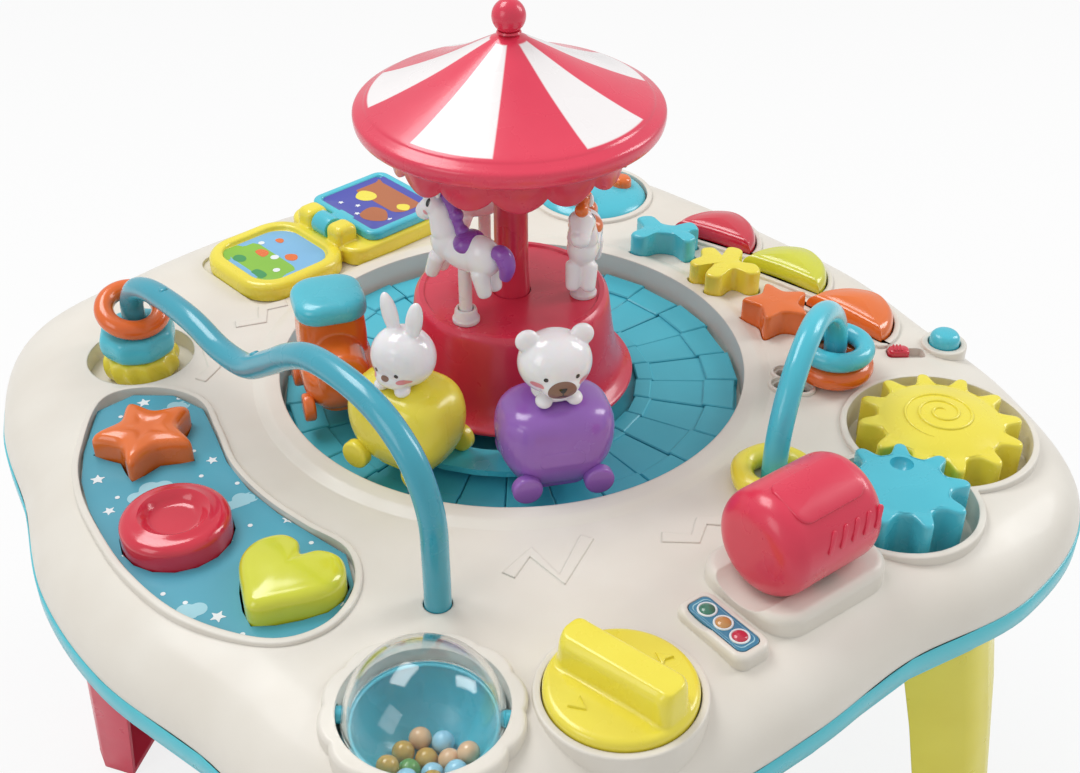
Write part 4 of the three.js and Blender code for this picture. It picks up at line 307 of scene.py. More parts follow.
def plastic(name, colour, deep, gloss=(0.2, 0.34), coat=0.35, bump=0.04, edge=0.0, glow=0.0):
    """A moulded plastic; edge is the radius in millimetres that sharp edges are softened by."""
    constants = {"Coat Weight": coat, "Coat Roughness": COAT_ROUGHNESS}
    if glow:
        constants |= {"Subsurface Weight": glow, "Subsurface Scale": GLOW_REACH}
    return skinned(name, (colour, deep), MOTTLE, PEEL, gloss, (bump, PEEL_DEPTH), edge, constants)


cream = plastic("cream_satin", "e2ddd3", "d9d2c6", (0.34, 0.46), 0.12, 0.05, edge=0.9)
teal_shell = plastic("teal_shell", "55c6d4", "47b8c8", (0.26, 0.38), 0.25, edge=0.8)
rose_leg = plastic("rose_leg", "d63a52", "c72c46", (0.26, 0.4), 0.25, edge=0.9)
yellow_leg = plastic("yellow_leg", "ece04e", "e2d23c", (0.26, 0.4), 0.25, edge=0.9)
track_teal = plastic("track_teal", "4bbcd0", "3fadc2", (0.36, 0.5), 0.1)
teal = plastic("teal_gloss", "4fc3d6", "3fb3c8")
tube_teal = plastic("tube_teal", "3ea3b8", "3497ad", (0.18, 0.3), 0.45)
rose = plastic("rose_gloss", "dc3450", "cf2946", (0.24, 0.36))
button_rose = plastic("button_rose", "d42a40", "c02038", (0.12, 0.2), 0.6)
yellow = plastic("yellow_gloss", "eee04a", "e6d236")
lime = plastic("lime_gloss", "d3d63a", "c6c72f", (0.14, 0.24), 0.55)
orange = plastic("orange_gloss", "e8742a", "da6220", (0.16, 0.28), 0.5)
ring_orange = plastic("ring_orange", "e56a22", "d85c18", (0.16, 0.26), 0.5)
purple = plastic("purple_gloss", "9d68c2", "8e5ab4", (0.18, 0.28), 0.45)
horse_purple = plastic("horse_purple", "8f4fb0", "7d40a0", (0.24, 0.36))
white = plastic("white_gloss", "f3f1f2", "e9e6ea", (0.14, 0.24), 0.5, glow=0.15)
post_white = plastic("post_white", "ece4e4", "e0d6d8", (0.24, 0.34), 0.3, glow=0.4)
eye_black = plastic("eye_black", "1a1718", "241f20", (0.15, 0.2), 0.6, 0.0)
cheek_pink = plastic("cheek_pink", "e8949a", "e08890", (0.3, 0.4), 0.2, 0.0)
muzzle_brown = plastic("muzzle_brown", "8d6a58", "83604f", (0.3, 0.4), 0.2, 0.0)
board_green = plastic("board_green", "2f7a4a", "276b40", (0.35, 0.5), 0.1)
speaker_dark = plastic("speaker_dark", "303236", "28292c", (0.4, 0.6), 0.0, 0.1)
print("plastics", len(bpy.data.materials))

# %% [markdown]
# ## Making a piece
# Every piece below is points and faces in millimetres. One helper merges doubled points,
# turns the faces outwards, marks the sharp edges and fastens the piece to the body that
# it moves with.

# %% From points and faces to a piece
MERGE, CAD_MERGE, CUT_MERGE = 0.001, 0.002, 0.004


def mesh_of(name, form):
    mesh = bpy.data.meshes.new(name)
    mesh.from_pydata([tuple(c * MM for c in p) for p in form[0]], [], form[1])
    return mesh


def finish_mesh(mesh, sharp=38.0, merge=MERGE):
    work = bmesh.new()
    work.from_mesh(mesh)
    bmesh.ops.remove_doubles(work, verts=work.verts, dist=merge * MM)
    bmesh.ops.recalc_face_normals(work, faces=work.faces)
    for face in work.faces:
        face.smooth = True
    limit = math.radians(sharp)
    for edge in work.edges:
        edge.smooth = not (edge.is_manifold and edge.calc_face_angle(0.0) > limit)
    work.to_mesh(mesh)
    work.free()
    return mesh


def applied(obj):
    """The mesh of an object with its modifiers done."""
    shape = obj.evaluated_get(bpy.context.evaluated_depsgraph_get())
    return bpy.data.meshes.new_from_object(shape)


def put_on(name, mesh, material, body, stands_for=()):
    mesh.name = name
    mesh.materials.clear()
    mesh.materials.append(material)
    obj = in_scene(bpy.data.objects.new(name, mesh))
    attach(obj, body)
    if stands_for:
        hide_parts(*stands_for)
    return obj


def piece(name, form, material, body, stands_for=(), sharp=38.0):
    return put_on(name, finish_mesh(mesh_of(name, form), sharp), material, body, stands_for)


def joined(*forms):
    points, faces = [], []
    for more, around in forms:
        start = len(points)
        points += more
        faces += [tuple(i + start for i in face) for face in around]
    return points, faces


def moved(form, at=(0, 0, 0), turn=0.0, tilt=0.0, axis="X"):
    """A form tilted about an axis, turned about Z in degrees, and carried to a place. The
    place may be flat, as the places on the top are."""
    spin = Matrix.Rotation(math.radians(turn), 3, "Z")
    matrix = spin @ Matrix.Rotation(math.radians(tilt), 3, axis)
    move = Vector((*at, 0.0)[:3])
    return [tuple(matrix @ Vector(p) + move) for p in form[0]], form[1]


print("doubled points merged within", MERGE, "mm")

# %% [markdown]
# ### Forms from rings
# A turned knob, a soft cap and a flat print look different, but each is a stack of rings
# with faces between them. Modifiers such as Screw and Bevel could make them as well.
# Plain rings were chosen, because every point of the form can then follow a formula.

# %% Skins, turned profiles, curves and caps


def skin(rings):
    """Faces between rings of equal counts; a ring of one point is a pole."""
    points, faces, starts = [], [], []
    for ring in rings:
        starts.append(len(points))
        points += [tuple(p) for p in ring]
    for k in range(len(rings) - 1):
        a, b = starts[k], starts[k + 1]
        m, n = len(rings[k]), len(rings[k + 1])
        count = max(m, n)
        for i in range(count):
            j = (i + 1) % count
            if m == 1:
                faces.append((a, b + j, b + i))
            elif n == 1:
                faces.append((a + i, a + j, b))
            else:
                faces.append((a + i, a + j, b + j, b + i))
    return points, faces


def revolved(profile, sides=72, wave=None):
    """A profile of (radius, height) turned about Z; wave changes (angle, radius, height)."""
    rings = []
    for r, z in profile:
        if r < 1e-6:
            rings.append([(0, 0, z)])
            continue
        ring = []
        for angle in turns(sides):
            reach, height = wave(angle, r, z) if wave else (r, z)
            ring.append((reach * math.cos(angle), reach * math.sin(angle), height))
        rings.append(ring)
    return skin(rings)


def arc(centre, radius, start, end, steps):
    """Points of (radius, height) on a quarter or part circle, for rounded profiles."""
    out = []
    for i in range(steps + 1):
        out.append(polar(centre, radius, math.radians(start + (end - start) * i / steps)))
    return out


def flowing(points, steps, closed=False):
    """A smooth curve through points of any dimension."""
    count = len(points)
    spans = count if closed else count - 1

    def at(k):
        return points[k % count] if closed else points[min(max(k, 0), count - 1)]

    out = []
    for i in range(spans * steps + (0 if closed else 1)):
        k, t = divmod(i / steps, 1.0)
        k = int(k)
        row = []
        for a, b, c, e in zip(at(k - 1), at(k), at(k + 1), at(k + 2)):
            bend = (2 * a - 5 * b + 4 * c - e) * t * t + (3 * b - a - 3 * c + e) * t**3
            row.append(0.5 * (2 * b + (c - a) * t + bend))
        out.append(tuple(row))
    return out


def puffed(outline, bottom, top, edge, crown=0.0, drop=None, edge_steps=6, crown_steps=8, dish=None):
    """A cap over an outline: straight sides, a rounded edge and a crown of a given height.
    dish, where given, is a function that lowers the top at a share from middle to edge."""
    drop = edge if drop is None else drop
    dish = dish or (lambda share: 0.0)
    size = max(math.hypot(x, y) for x, y in outline)
    rings = [[(0, 0, bottom)], [(x, y, bottom) for x, y in outline]]
    for i in range(edge_steps + 1):
        angle = math.pi / 2 * i / edge_steps
        draw = 1 - edge / size * (1 - math.cos(angle))
        z = top - drop + drop * math.sin(angle)
        rings.append([(x * draw, y * draw, z) for x, y in outline])
    rim = 1 - edge / size
    for i in range(1, crown_steps):
        share = 1 - i / crown_steps
        z = top + crown * (1 - share * share) - dish(share)
        rings.append([(x * rim * share, y * rim * share, z) for x, y in outline])
    rings.append([(0, 0, top + crown - dish(0.0))])
    return skin(rings)


def rounded_rectangle(length, width, corner, steps=6):
    out = []
    for i, (sx, sy) in enumerate(((1, 1), (-1, 1), (-1, -1), (1, -1))):
        middle = (sx * (length / 2 - corner), sy * (width / 2 - corner))
        out += [polar(middle, corner, math.pi / 2 * (i + k / steps)) for k in range(steps + 1)]
    return out


print("points round a soft square", len(rounded_rectangle(2, 2, 0.5)))

# %% [markdown]
# ### Bars, ovals and hoops
# A bar is a turned profile that is stood up along its own way, and a swept bar carries a
# ring along a path and keeps it from twisting, so that no facet winds round it.

# %% Round bars, ellipsoids and hoops


def swept(path, radius, sides=24):
    """A round bar along a path of points; radius may be a function of the share along it."""
    reach = radius if callable(radius) else (lambda share: radius)
    points = [Vector(p) for p in path]
    rings, side = [], None
    count = len(points)
    for i, p in enumerate(points):
        along = (points[min(i + 1, count - 1)] - points[max(i - 1, 0)]).normalized()
        if side is None:
            side = along.orthogonal().normalized()
        side = (side - along * side.dot(along)).normalized()
        other = along.cross(side)
        r = reach(i / (count - 1))
        ring = [p + side * (r * math.cos(a)) + other * (r * math.sin(a)) for a in turns(sides)]
        rings.append(ring)
    return skin([[points[0]], *rings, [points[-1]]])


def stood(form, start, way):
    """A form that stands along Z, turned to point another way from its start."""
    turn = way.to_track_quat("Z", "Y").to_matrix()
    return [tuple(turn @ Vector(p) + Vector(start)) for p in form[0]], form[1]


def bar(start, end, radius, edge, sides=40, end_radius=None):
    """A round bar with rounded ends between two points; the ends may differ in radius."""
    way = Vector(end) - Vector(start)
    length = way.length
    last = radius if end_radius is None else end_radius
    profile = [(0.0, 0.0), *arc((radius - edge, edge), edge, -90, 0, 5)]
    profile += [*arc((last - edge, length - edge), edge, 0, 90, 5), (0.0, length)]
    return stood(revolved(profile, sides), start, way)


def oval(size, at=(0, 0, 0), sides=40):
    """An ellipsoid of three half sizes."""
    profile = [(math.cos(a), math.sin(a)) for a in (math.pi * (i / 24 - 0.5) for i in range(25))]
    profile[0], profile[-1] = (0.0, -1.0), (0.0, 1.0)
    points, faces = revolved(profile, sides)
    return [tuple(p[d] * size[d] + at[d] for d in range(3)) for p in points], faces


def hoop(radius, section, sides=72, section_sides=28):
    rings = []
    for angle in (*turns(section_sides), 0.0):
        r, z = radius + section * math.cos(angle), section * math.sin(angle)
        rings.append([(r * math.cos(a), r * math.sin(a), z) for a in turns(sides)])
    return skin(rings)


print("helpers ready")

# %% [markdown]
# ## Melted forms
# A toy animal is soft: its parts run into each other with no crease. Simple solids are
# laid over each other here, a voxel remesh joins them into one skin, and a few passes of
# smoothing melt the seams, as a sculptor's thumb would. Sculpting by hand would look the
# same but could not be repeated when a size changes.

# %% Solids melted into one skin
QUICK_COARSER, RELAX_SHARE, MELTED_SHARP = 1.6, 0.5, 70.0


def melted(name, form, voxel, passes, material, body, stands_for=()):
    rough = in_scene(bpy.data.objects.new(name + "_rough", mesh_of(name + "_rough", form)))
    remesh = rough.modifiers.new("melt", "REMESH")
    remesh.mode = "VOXEL"
    remesh.voxel_size = voxel * 1.0 * MM
    relax = rough.modifiers.new("relax", "SMOOTH")
    relax.factor = RELAX_SHARE
    relax.iterations = passes
    soft = applied(rough)
    bpy.data.objects.remove(rough)
    return put_on(name, finish_mesh(soft, MELTED_SHARP), material, body, stands_for)


print("relax share", RELAX_SHARE)

# %% [markdown]
# ## Prints and paint
# Eyes, cheeks and pictures are printed on the toys. A print is a thin skin laid on the
# surface under it: a filled outline is dropped on the finished piece along one direction,
# and each of its points stops just above the surface, so the print follows every curve.

# %% A print dropped on a surface
PRINT_LIFT = 0.08


def filled(outline, rings=6):
    """A flat outline filled with rings of points, so that it can bend."""
    x0 = sum(p[0] for p in outline) / len(outline)
    y0 = sum(p[1] for p in outline) / len(outline)
    out = [[(x0, y0, 0.0)]]
    for k in range(1, rings + 1):
        share = k / rings
        out.append([(x0 + (x - x0) * share, y0 + (y - y0) * share, 0.0) for x, y in outline])
    return skin(out)


def ellipse(rx, ry, at=(0, 0), steps=32):
    return [(at[0] + rx * math.cos(a), at[1] + ry * math.sin(a)) for a in turns(steps)]


def disc(radius, steps=96):
    return ellipse(radius, radius, (0, 0), steps)


def printed(name, target, forms, origin, down, across, material, body, lift=PRINT_LIFT):
    """Drops flat forms on the target: across is their x direction, down the way they fall."""
    corners = [v.co / MM for v in target.data.vertices]
    tree = BVHTree.FromPolygons(corners, [tuple(p.vertices) for p in target.data.polygons])
    fall, x_way = Vector(down).normalized(), Vector(across).normalized()
    y_way = x_way.cross(fall)
    points, faces = joined(*forms)
    landed, kept = [], []
    for p in points:
        from_point = Vector(origin) + x_way * p[0] + y_way * p[1]
        hit, _, _, _ = tree.ray_cast(from_point, fall)
        kept.append(hit is not None)
        landed.append(tuple((hit or from_point) - fall * lift))
    mesh = mesh_of(name, (landed, [f for f in faces if all(kept[i] for i in f)]))
    work = bmesh.new()
    work.from_mesh(mesh)
    bmesh.ops.remove_doubles(work, verts=work.verts, dist=MERGE * MM)
    bmesh.ops.delete(work, geom=[v for v in work.verts if not v.link_faces], context="VERTS")
    for face in work.faces:
        face.smooth = True
    turned = [face for face in work.faces if face.normal.dot(fall) > 0]
    bmesh.ops.reverse_faces(work, faces=turned)
    work.to_mesh(mesh)
    work.free()
    return put_on(name, mesh, material, body)


print("print lift", PRINT_LIFT, "mm")

# %% [markdown]
# ## The under shell, the legs and the works inside
# The under shell, its door and the legs keep the exact CAD shape, because seats have to
# fit, and so do the board, the speaker and the motor, which nobody sees. A copy of each is
# merged into one skin and shaded smooth, and the material softens the sharp edges of the
# mouldings by about a millimetre, as a mould does.

# %% CAD nodes as smooth moulded pieces


def from_cad(node, name, material, body, sharp=32.0):
    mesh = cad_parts[node].data.copy()
    return put_on(name, finish_mesh(mesh, sharp, CAD_MERGE), material, body, (node,))


# Each row: the CAD node, the piece's name, its finish and the angle of a sharp edge.
for node, name, look, sharp in (
    ("bottom_shell", "under_shell", teal_shell, 32.0),
    ("battery_door", "battery_lid", teal_shell, 32.0),
    ("leg_left", "leg_left_moulded", rose_leg, 52.0),
    ("leg_right", "leg_right_moulded", yellow_leg, 52.0),
    ("leg_front", "leg_front_moulded", yellow_leg, 52.0),
    ("leg_back", "leg_back_moulded", rose_leg, 52.0),
    ("circuit_board", "board_assembly", board_green, 32.0),
    ("speaker", "speaker_assembly", speaker_dark, 32.0),
    ("gear_motor", "motor_assembly", speaker_dark, 32.0),
):
    from_cad(node, name, look, "table", sharp)

# %% [markdown]
# ## The track of planks
# The train runs on a ring of short planks, cast in one piece. Long and short planks
# alternate, each a little proud of the next. One plank repeats round the ring, so a node
# tree places it: the count and the share by which every other plank is drawn back are
# inputs, and a change there lays the whole ring again.

# %% A node tree that repeats one piece round a ring


def build_ring_tree():
    tree = bpy.data.node_groups.new("repeat_round_ring", "GeometryNodeTree")
    tree.is_modifier = True
    sockets(tree, "INPUT", ("Geometry", "Geometry"), ("Count", "Int", 12))
    sockets(tree, "INPUT", ("Short share", "Float", 1.0), ("Low share", "Float", 1.0))
    sockets(tree, "INPUT", ("Start turn", "Float", 0.0), ("Material", "Material"))
    sockets(tree, "OUTPUT", ("Geometry", "Geometry"))
    add, maths = makers(tree)
    given = add("NodeGroupInput").outputs
    line = add("GeometryNodeMeshLine", {"Offset": (0.0, 0.0, 0.0), "Count": given["Count"]})
    index = add("GeometryNodeInputIndex").outputs[0]
    step = maths("DIVIDE", 2 * math.pi, given["Count"])
    turn = maths("ADD", maths("MULTIPLY", index, step), given["Start turn"])
    odd = maths("MODULO", index, 2)

    def drawn_back(share):
        return maths("ADD", 1.0, maths("MULTIPLY", odd, maths("SUBTRACT", given[share], 1.0)))

    rotation = add("ShaderNodeCombineXYZ", {"Z": turn})
    sizes = {"X": drawn_back("Short share"), "Y": 1.0, "Z": drawn_back("Low share")}
    scale = add("ShaderNodeCombineXYZ", sizes)
    places = {"Points": line.outputs["Mesh"], "Instance": given["Geometry"]}
    places |= {"Rotation": rotation.outputs[0], "Scale": scale.outputs[0]}
    copies = add("GeometryNodeInstanceOnPoints", places).outputs["Instances"]
    real = add("GeometryNodeRealizeInstances", {"Geometry": copies}).outputs["Geometry"]
    look = add("GeometryNodeSetMaterial", {"Geometry": real, "Material": given["Material"]})
    add("NodeGroupOutput", {"Geometry": look.outputs["Geometry"]})
    return tree


ring_tree = build_ring_tree()


def grown(name, form, tree, inputs, at, material, body, sharp):
    """A form sent through a node tree, applied, and carried to a place in millimetres."""
    seed_mesh = finish_mesh(mesh_of(name + "_seed", form), sharp)
    seed = in_scene(bpy.data.objects.new(name + "_seed", seed_mesh))
    modifier = seed.modifiers.new("grow", "NODES")
    modifier.node_group = tree
    named = {item.name: item for item in tree.interface.items_tree if item.item_type == "SOCKET"}
    for key, value in {**inputs, "Material": material}.items():
        modifier[named[key].identifier] = value
    made = applied(seed)
    bpy.data.objects.remove(seed)
    made.transform(Matrix.Translation(Vector(at) * MM))
    return put_on(name, made, material, body)


print("tree", ring_tree.name, len(ring_tree.nodes), "nodes")

# %% The planks, and the plate under them
PLANKS, PLANK_FILL, PLANK_LOW, PLANK_EDGE = 28, 0.97, -6.0, 0.5
WELL_RADIUS, DRUM_FOOT = 94.0, 52.0
PLATE_BORE, PLATE_THICK, PLATE_DIP = 16, 2.4, 0.2
track_low, track_high = box_mm("track_plate")
TRACK_TOP = track_high.z


def plank():
    """One plank along +X, with a raised block at each end; heights count from its top."""
    half = math.pi / PLANKS * PLANK_FILL
    forms = []
    for r0, r1, high in (
        (DRUM_FOOT, WELL_RADIUS - 6, -1.2),
        (WELL_RADIUS - 13, WELL_RADIUS, 0.0),
        (DRUM_FOOT, DRUM_FOOT + 7, -0.4),
    ):
        rings = []
        for inset, z in ((0, PLANK_LOW), (0, high - PLANK_EDGE), (PLANK_EDGE, high)):
            a, b = r0 + inset, r1 - inset
            ha, hb = math.tan(half) * a - inset, math.tan(half) * b - inset
            rings.append([(a, -ha, z), (b, -hb, z), (b, hb, z), (a, ha, z)])
        centre = (r0 + r1) / 2
        forms.append(skin([[(centre, 0, PLANK_LOW)], *rings, [(centre, 0, high)]]))
    return joined(*forms)


inputs = {"Count": PLANKS, "Short share": 0.985, "Low share": 0.72}
grown("track_planks", plank(), ring_tree, inputs, (*AXIS, TRACK_TOP), track_teal, "table", 30.0)
low, high = track_low.z, track_low.z + PLATE_THICK
plate = [(0, low + PLATE_DIP), (PLATE_BORE, low), (WELL_RADIUS, low), (WELL_RADIUS, high)]
plate += [(PLATE_BORE, high), (0, high - PLATE_DIP)]
piece("track_bed", moved(revolved(plate), AXIS), track_teal, "table", ("track_plate",))
print("planks", PLANKS, "track top", round(TRACK_TOP, 2))

# %% [markdown]
# ## The carousel
# The roof is a flat cone with a rolled rim, cast in red with five white fields painted on
# it. Under it hang a scalloped skirt and the middle column, and all of it stands on the
# glossy drum. They are round forms, so each is a profile turned about the axis, and the
# scallops are a wave on the lowest ring.

# %% Paint: wedges about the axis
ROOF_Z, ROOF_RADIUS, ROOF_HEIGHT = 378.0, 58.5, 34.0
WEDGES, WEDGE_SHARE, WEDGE_INNER, WEDGE_OUTER = 5, 0.482, 7.0, 52.5


def build_wedge_paint():
    tree = bpy.data.node_groups.new("wedge_paint", "ShaderNodeTree")
    sockets(tree, "INPUT", ("Centre", "Vector"), ("Count", "Float", 5.0), ("Share", "Float", 0.48))
    sockets(tree, "INPUT", ("Inner radius", "Float", 0.007), ("Outer radius", "Float", 0.052))
    sockets(tree, "INPUT", ("Soft edge", "Float", 0.0004))
    sockets(tree, "OUTPUT", ("Mask", "Float"))
    add, maths = makers(tree)
    given = add("NodeGroupInput").outputs
    place = add("ShaderNodeTexCoord").outputs["Object"]
    about = add("ShaderNodeVectorMath", {0: place, 1: given["Centre"]}, operation="SUBTRACT")
    parts = add("ShaderNodeSeparateXYZ", {0: about.outputs[0]}).outputs
    angle = maths("ARCTAN2", parts["Y"], parts["X"])
    squares = maths("ADD", maths("POWER", parts["X"], 2), maths("POWER", parts["Y"], 2))
    radius = maths("SQRT", squares)
    turned = maths("MULTIPLY", maths("DIVIDE", angle, 2 * math.pi), given["Count"])
    place_in = maths("ABSOLUTE", maths("SUBTRACT", turned, maths("ROUND", turned)))
    span = maths("DIVIDE", maths("MULTIPLY", radius, 2 * math.pi), given["Count"])
    half = maths("MULTIPLY", given["Share"], 0.5)
    from_side = maths("MULTIPLY", maths("SUBTRACT", half, place_in), span)
    from_inner = maths("SUBTRACT", radius, given["Inner radius"])
    from_outer = maths("SUBTRACT", given["Outer radius"], radius)
    least = maths("MINIMUM", from_side, maths("MINIMUM", from_inner, from_outer))
    ends = {"From Min": maths("MULTIPLY", given["Soft edge"], -1.0), "From Max": given["Soft edge"]}
    mask = add("ShaderNodeMapRange", {"Value": least, **ends}, interpolation_type="SMOOTHSTEP")
    add("NodeGroupOutput", {"Mask": mask.outputs[0]})
    return tree


wedge_paint = build_wedge_paint()
roof_look = plastic("roof_striped", "e63c58", "d93251", (0.2, 0.32), 0.4)
roof_tree = roof_look.node_tree
add, _ = makers(roof_tree)
values = {"Centre": (AXIS[0] * MM, AXIS[1] * MM, 0.0), "Count": WEDGES, "Share": WEDGE_SHARE}
values |= {"Inner radius": WEDGE_INNER * MM, "Outer radius": WEDGE_OUTER * MM}
wedges = add("ShaderNodeGroup", None, node_tree=wedge_paint)
for key, value in values.items():
    wedges.inputs[key].default_value = value
cast = next(n for n in roof_tree.nodes if n.type == "GROUP" and n.node_tree == moulded_skin)
values = {"Factor": wedges.outputs["Mask"], "A": cast.outputs["Colour"], "B": shown_colour("f2eeee")}
paint = add("ShaderNodeMix", values, data_type="RGBA")
roof_tree.links.new(paint.outputs["Result"], roof_tree.nodes["Principled BSDF"].inputs["Base Color"])
print("wedges", WEDGES)

# %% The roof, its skirt, the ball on top, the column and the drum
COLUMN_HALF, BALL_TOP_RADIUS, DRUM_RADIUS, DRUM_WALL_Z = 7.4, 6.3, 50.0, 280.0
SCALLOPS, SCALLOP, SKIRT_LOW, SKIRT_IN, SKIRT_OUT = 14, 5.0, ROOF_Z - 16, 43.4, 45.0


def scallop(angle, r, z):
    if z > ROOF_Z - 4:
        return r, z
    wave = abs(math.sin(angle * SCALLOPS / 2))
    return r, z + SCALLOP * (1 - wave ** 0.8)


roof_shares = [(0.945, 0.0), (0.985, 0.02), (1.0, 0.1), (0.995, 0.18), (0.955, 0.225)]
roof_shares += [(0.93, 0.25), (0.9, 0.285), (0.78, 0.365), (0.6, 0.5), (0.42, 0.65)]
roof_shares += [(0.2, 0.86), (0.08, 0.97), (0.0, 1.0)]
roof = [(0.0, ROOF_Z + 27), (11.5, ROOF_Z + 25), (44, ROOF_Z + 9.0), (53, ROOF_Z + 4.2), (54, ROOF_Z)]
roof += [(r * ROOF_RADIUS, ROOF_Z + z * ROOF_HEIGHT) for r, z in flowing(roof_shares, 5)]

skirt = [(SKIRT_IN, ROOF_Z + 5), (SKIRT_IN, ROOF_Z - 8), (SKIRT_IN, SKIRT_LOW + 0.6)]
skirt += [(43.8, SKIRT_LOW), (44.6, SKIRT_LOW), (SKIRT_OUT, SKIRT_LOW + 0.6)]
skirt += [(SKIRT_OUT, ROOF_Z - 8), (SKIRT_OUT, ROOF_Z + 5), (SKIRT_IN, ROOF_Z + 5)]

ball_low, ball_high = box_mm("roof_finial")
ball = [(0.0, ball_low.z), (4.6, ball_low.z), (4.2, ball_low.z + 0.7)]
ball += arc((0, ball_high.z - BALL_TOP_RADIUS), BALL_TOP_RADIUS, -58, 90, 20)

column_low, column_high = box_mm("carousel_column")
column = [(0.0, column_low.z), (COLUMN_HALF, column_low.z), (COLUMN_HALF, 306.0), (7.1, 308.0)]
column += [(6.8, 316.0), (6.7, 340.0), (6.8, 362.0), (7.2, 374.0), (COLUMN_HALF, ROOF_Z)]
column += [(COLUMN_HALF, column_high.z), (0.0, column_high.z)]

drum_low, drum_high = box_mm("carousel_drum")
DRUM_Z, DRUM_TOP = drum_low.z, drum_high.z
drum_shares = [(1.0, 0.0), (0.995, 0.03), (0.95, 0.07), (0.9, 0.14), (0.86, 0.28), (0.82, 0.6)]
drum_shares += [(0.79, 0.9), (0.775, 0.965)]
drum = [(r * DRUM_RADIUS, DRUM_Z + z * (DRUM_TOP - DRUM_Z)) for r, z in flowing(drum_shares, 4)]
drum += [(37.4, DRUM_TOP), (35.6, DRUM_TOP), (34.9, DRUM_TOP - 0.9), (9.0, DRUM_TOP - 0.9)]
drum += [(7.8, DRUM_TOP - 0.9), (7.8, DRUM_TOP - 2.6), (36.0, DRUM_TOP - 2.6)]
drum += [(40.0, DRUM_WALL_Z), (47.0, DRUM_Z), drum[0]]

# Each part: its profile, its sides, its wave, its finish and the angle of a sharp edge.
for name, node, profile, sides, wave, look, sharp in (
    ("striped_roof", "carousel_roof", roof, 120, None, roof_look, 50.0),
    ("scalloped_skirt", "roof_skirt", skirt, SCALLOPS * 14, scallop, rose, 55.0),
    ("top_ball", "roof_finial", ball, 64, None, rose, 50.0),
    ("middle_column", "carousel_column", column, 48, None, rose, 50.0),
    ("glossy_drum", "carousel_drum", drum, 96, None, rose, 40.0),
):
    form = moved(revolved(profile, sides, wave), AXIS)
    piece(name, form, look, "carousel", (node,), sharp=sharp)
from_cad("train_ring", "pulling_bar", teal, "carousel", 30.0)
print("drum top", round(DRUM_TOP, 2))

# %% [markdown]
# ## The horses
# Three plump foals gallop round the column. Each is cast white, with a mane, a saddle and
# a tail in one strong colour, painted eyes and cheeks, and rides on a milky post in a
# collar. The body is melted from bars and ovals, so that leg, chest and neck flow together.

# %% A horse, built facing +X and put on its post
HORSE_RING, HORSE_TURN, HORSE_SIZE = 29.0, 202.0, 38.0
COLLAR_TOP = DRUM_TOP + 5.0
POST_RADIUS, POST_TOP, POST_LOW = 2.6, -6.0, -26.0
# Each horse: its body, its node, its height above the lowest place, and its colour.
HORSES = (
    ("purple_horse", "horse_purple_mane", 14.0, horse_purple),
    ("orange_horse", "horse_orange_mane", 7.0, orange),
    ("third_horse", "horse_third", 10.0, yellow),
)


def horse_body():
    parts = [
        oval((13.2, 6.6, 7.6), (-1, 0, 0)),
        oval((8.0, 6.2, 8.2), (7, 0, 1.6)),
        oval((8.6, 6.6, 8.2), (-8.4, 0, 0.6)),
        bar((7, 0, 3), (12.0, 0, 17.5), 6.2, 4.0, 32, 5.0),
        bar((9.6, 0, 18.4), (19.6, 0, 10.6), 5.4, 4.2, 32, 4.2),
        oval((3.8, 3.9, 3.7), (18.4, 0, 11.4)),
    ]
    ears = [oval((1.5, 1.2, 2.9), (9.6, s * 2.9, 23.2)) for s in (-1, 1)]
    fore = [bar((10.2, s * 3.0, -3), (14.6, s * 3.1, -14.2), 3.4, 2.0, 24, 2.8) for s in (-1, 1)]
    hind = [bar((-9.6, s * 3.1, -3), (-12.6, s * 3.2, -14.6), 3.7, 2.0, 24, 2.9) for s in (-1, 1)]
    return joined(*parts, *ears, *fore, *hind)


def mane():
    line = [(15.2, 0, 21.8), (11.0, 0, 24.0), (6.4, 0, 20.4), (3.2, 0, 14.2), (0.6, 0, 8.2)]
    places = flowing(line, 2)
    curls = [oval((2.9, 2.7, 2.7), p, 20) for p in places[::2]]
    crest = swept([(p[0] + 0.4, 0, p[2] - 0.6) for p in places], 2.1, 16)
    return joined(*curls, crest)


def saddle_and_tail(first):
    seat = oval((5.6, 6.9, 4.4), (-2.6, 0, 4.8)) if first else oval((6.4, 7.0, 4.2), (-4.0, 0, 5.0))
    path = flowing([(-15.0, 0, 4.6), (-18.6, 0, 4.4), (-20.6, 0, 0.2), (-19.4, 0, -5.4)], 5)
    thick = lambda share: 1.5 + 2.1 * math.sin(math.pi * min(1.0, 0.2 + share * 0.72))
    return joined(seat, swept(path, thick, 18))


def horse_way(index):
    angle = math.radians(HORSE_TURN + 120.0 * index)
    return polar(AXIS, HORSE_RING, angle), math.degrees(angle) - 90.0


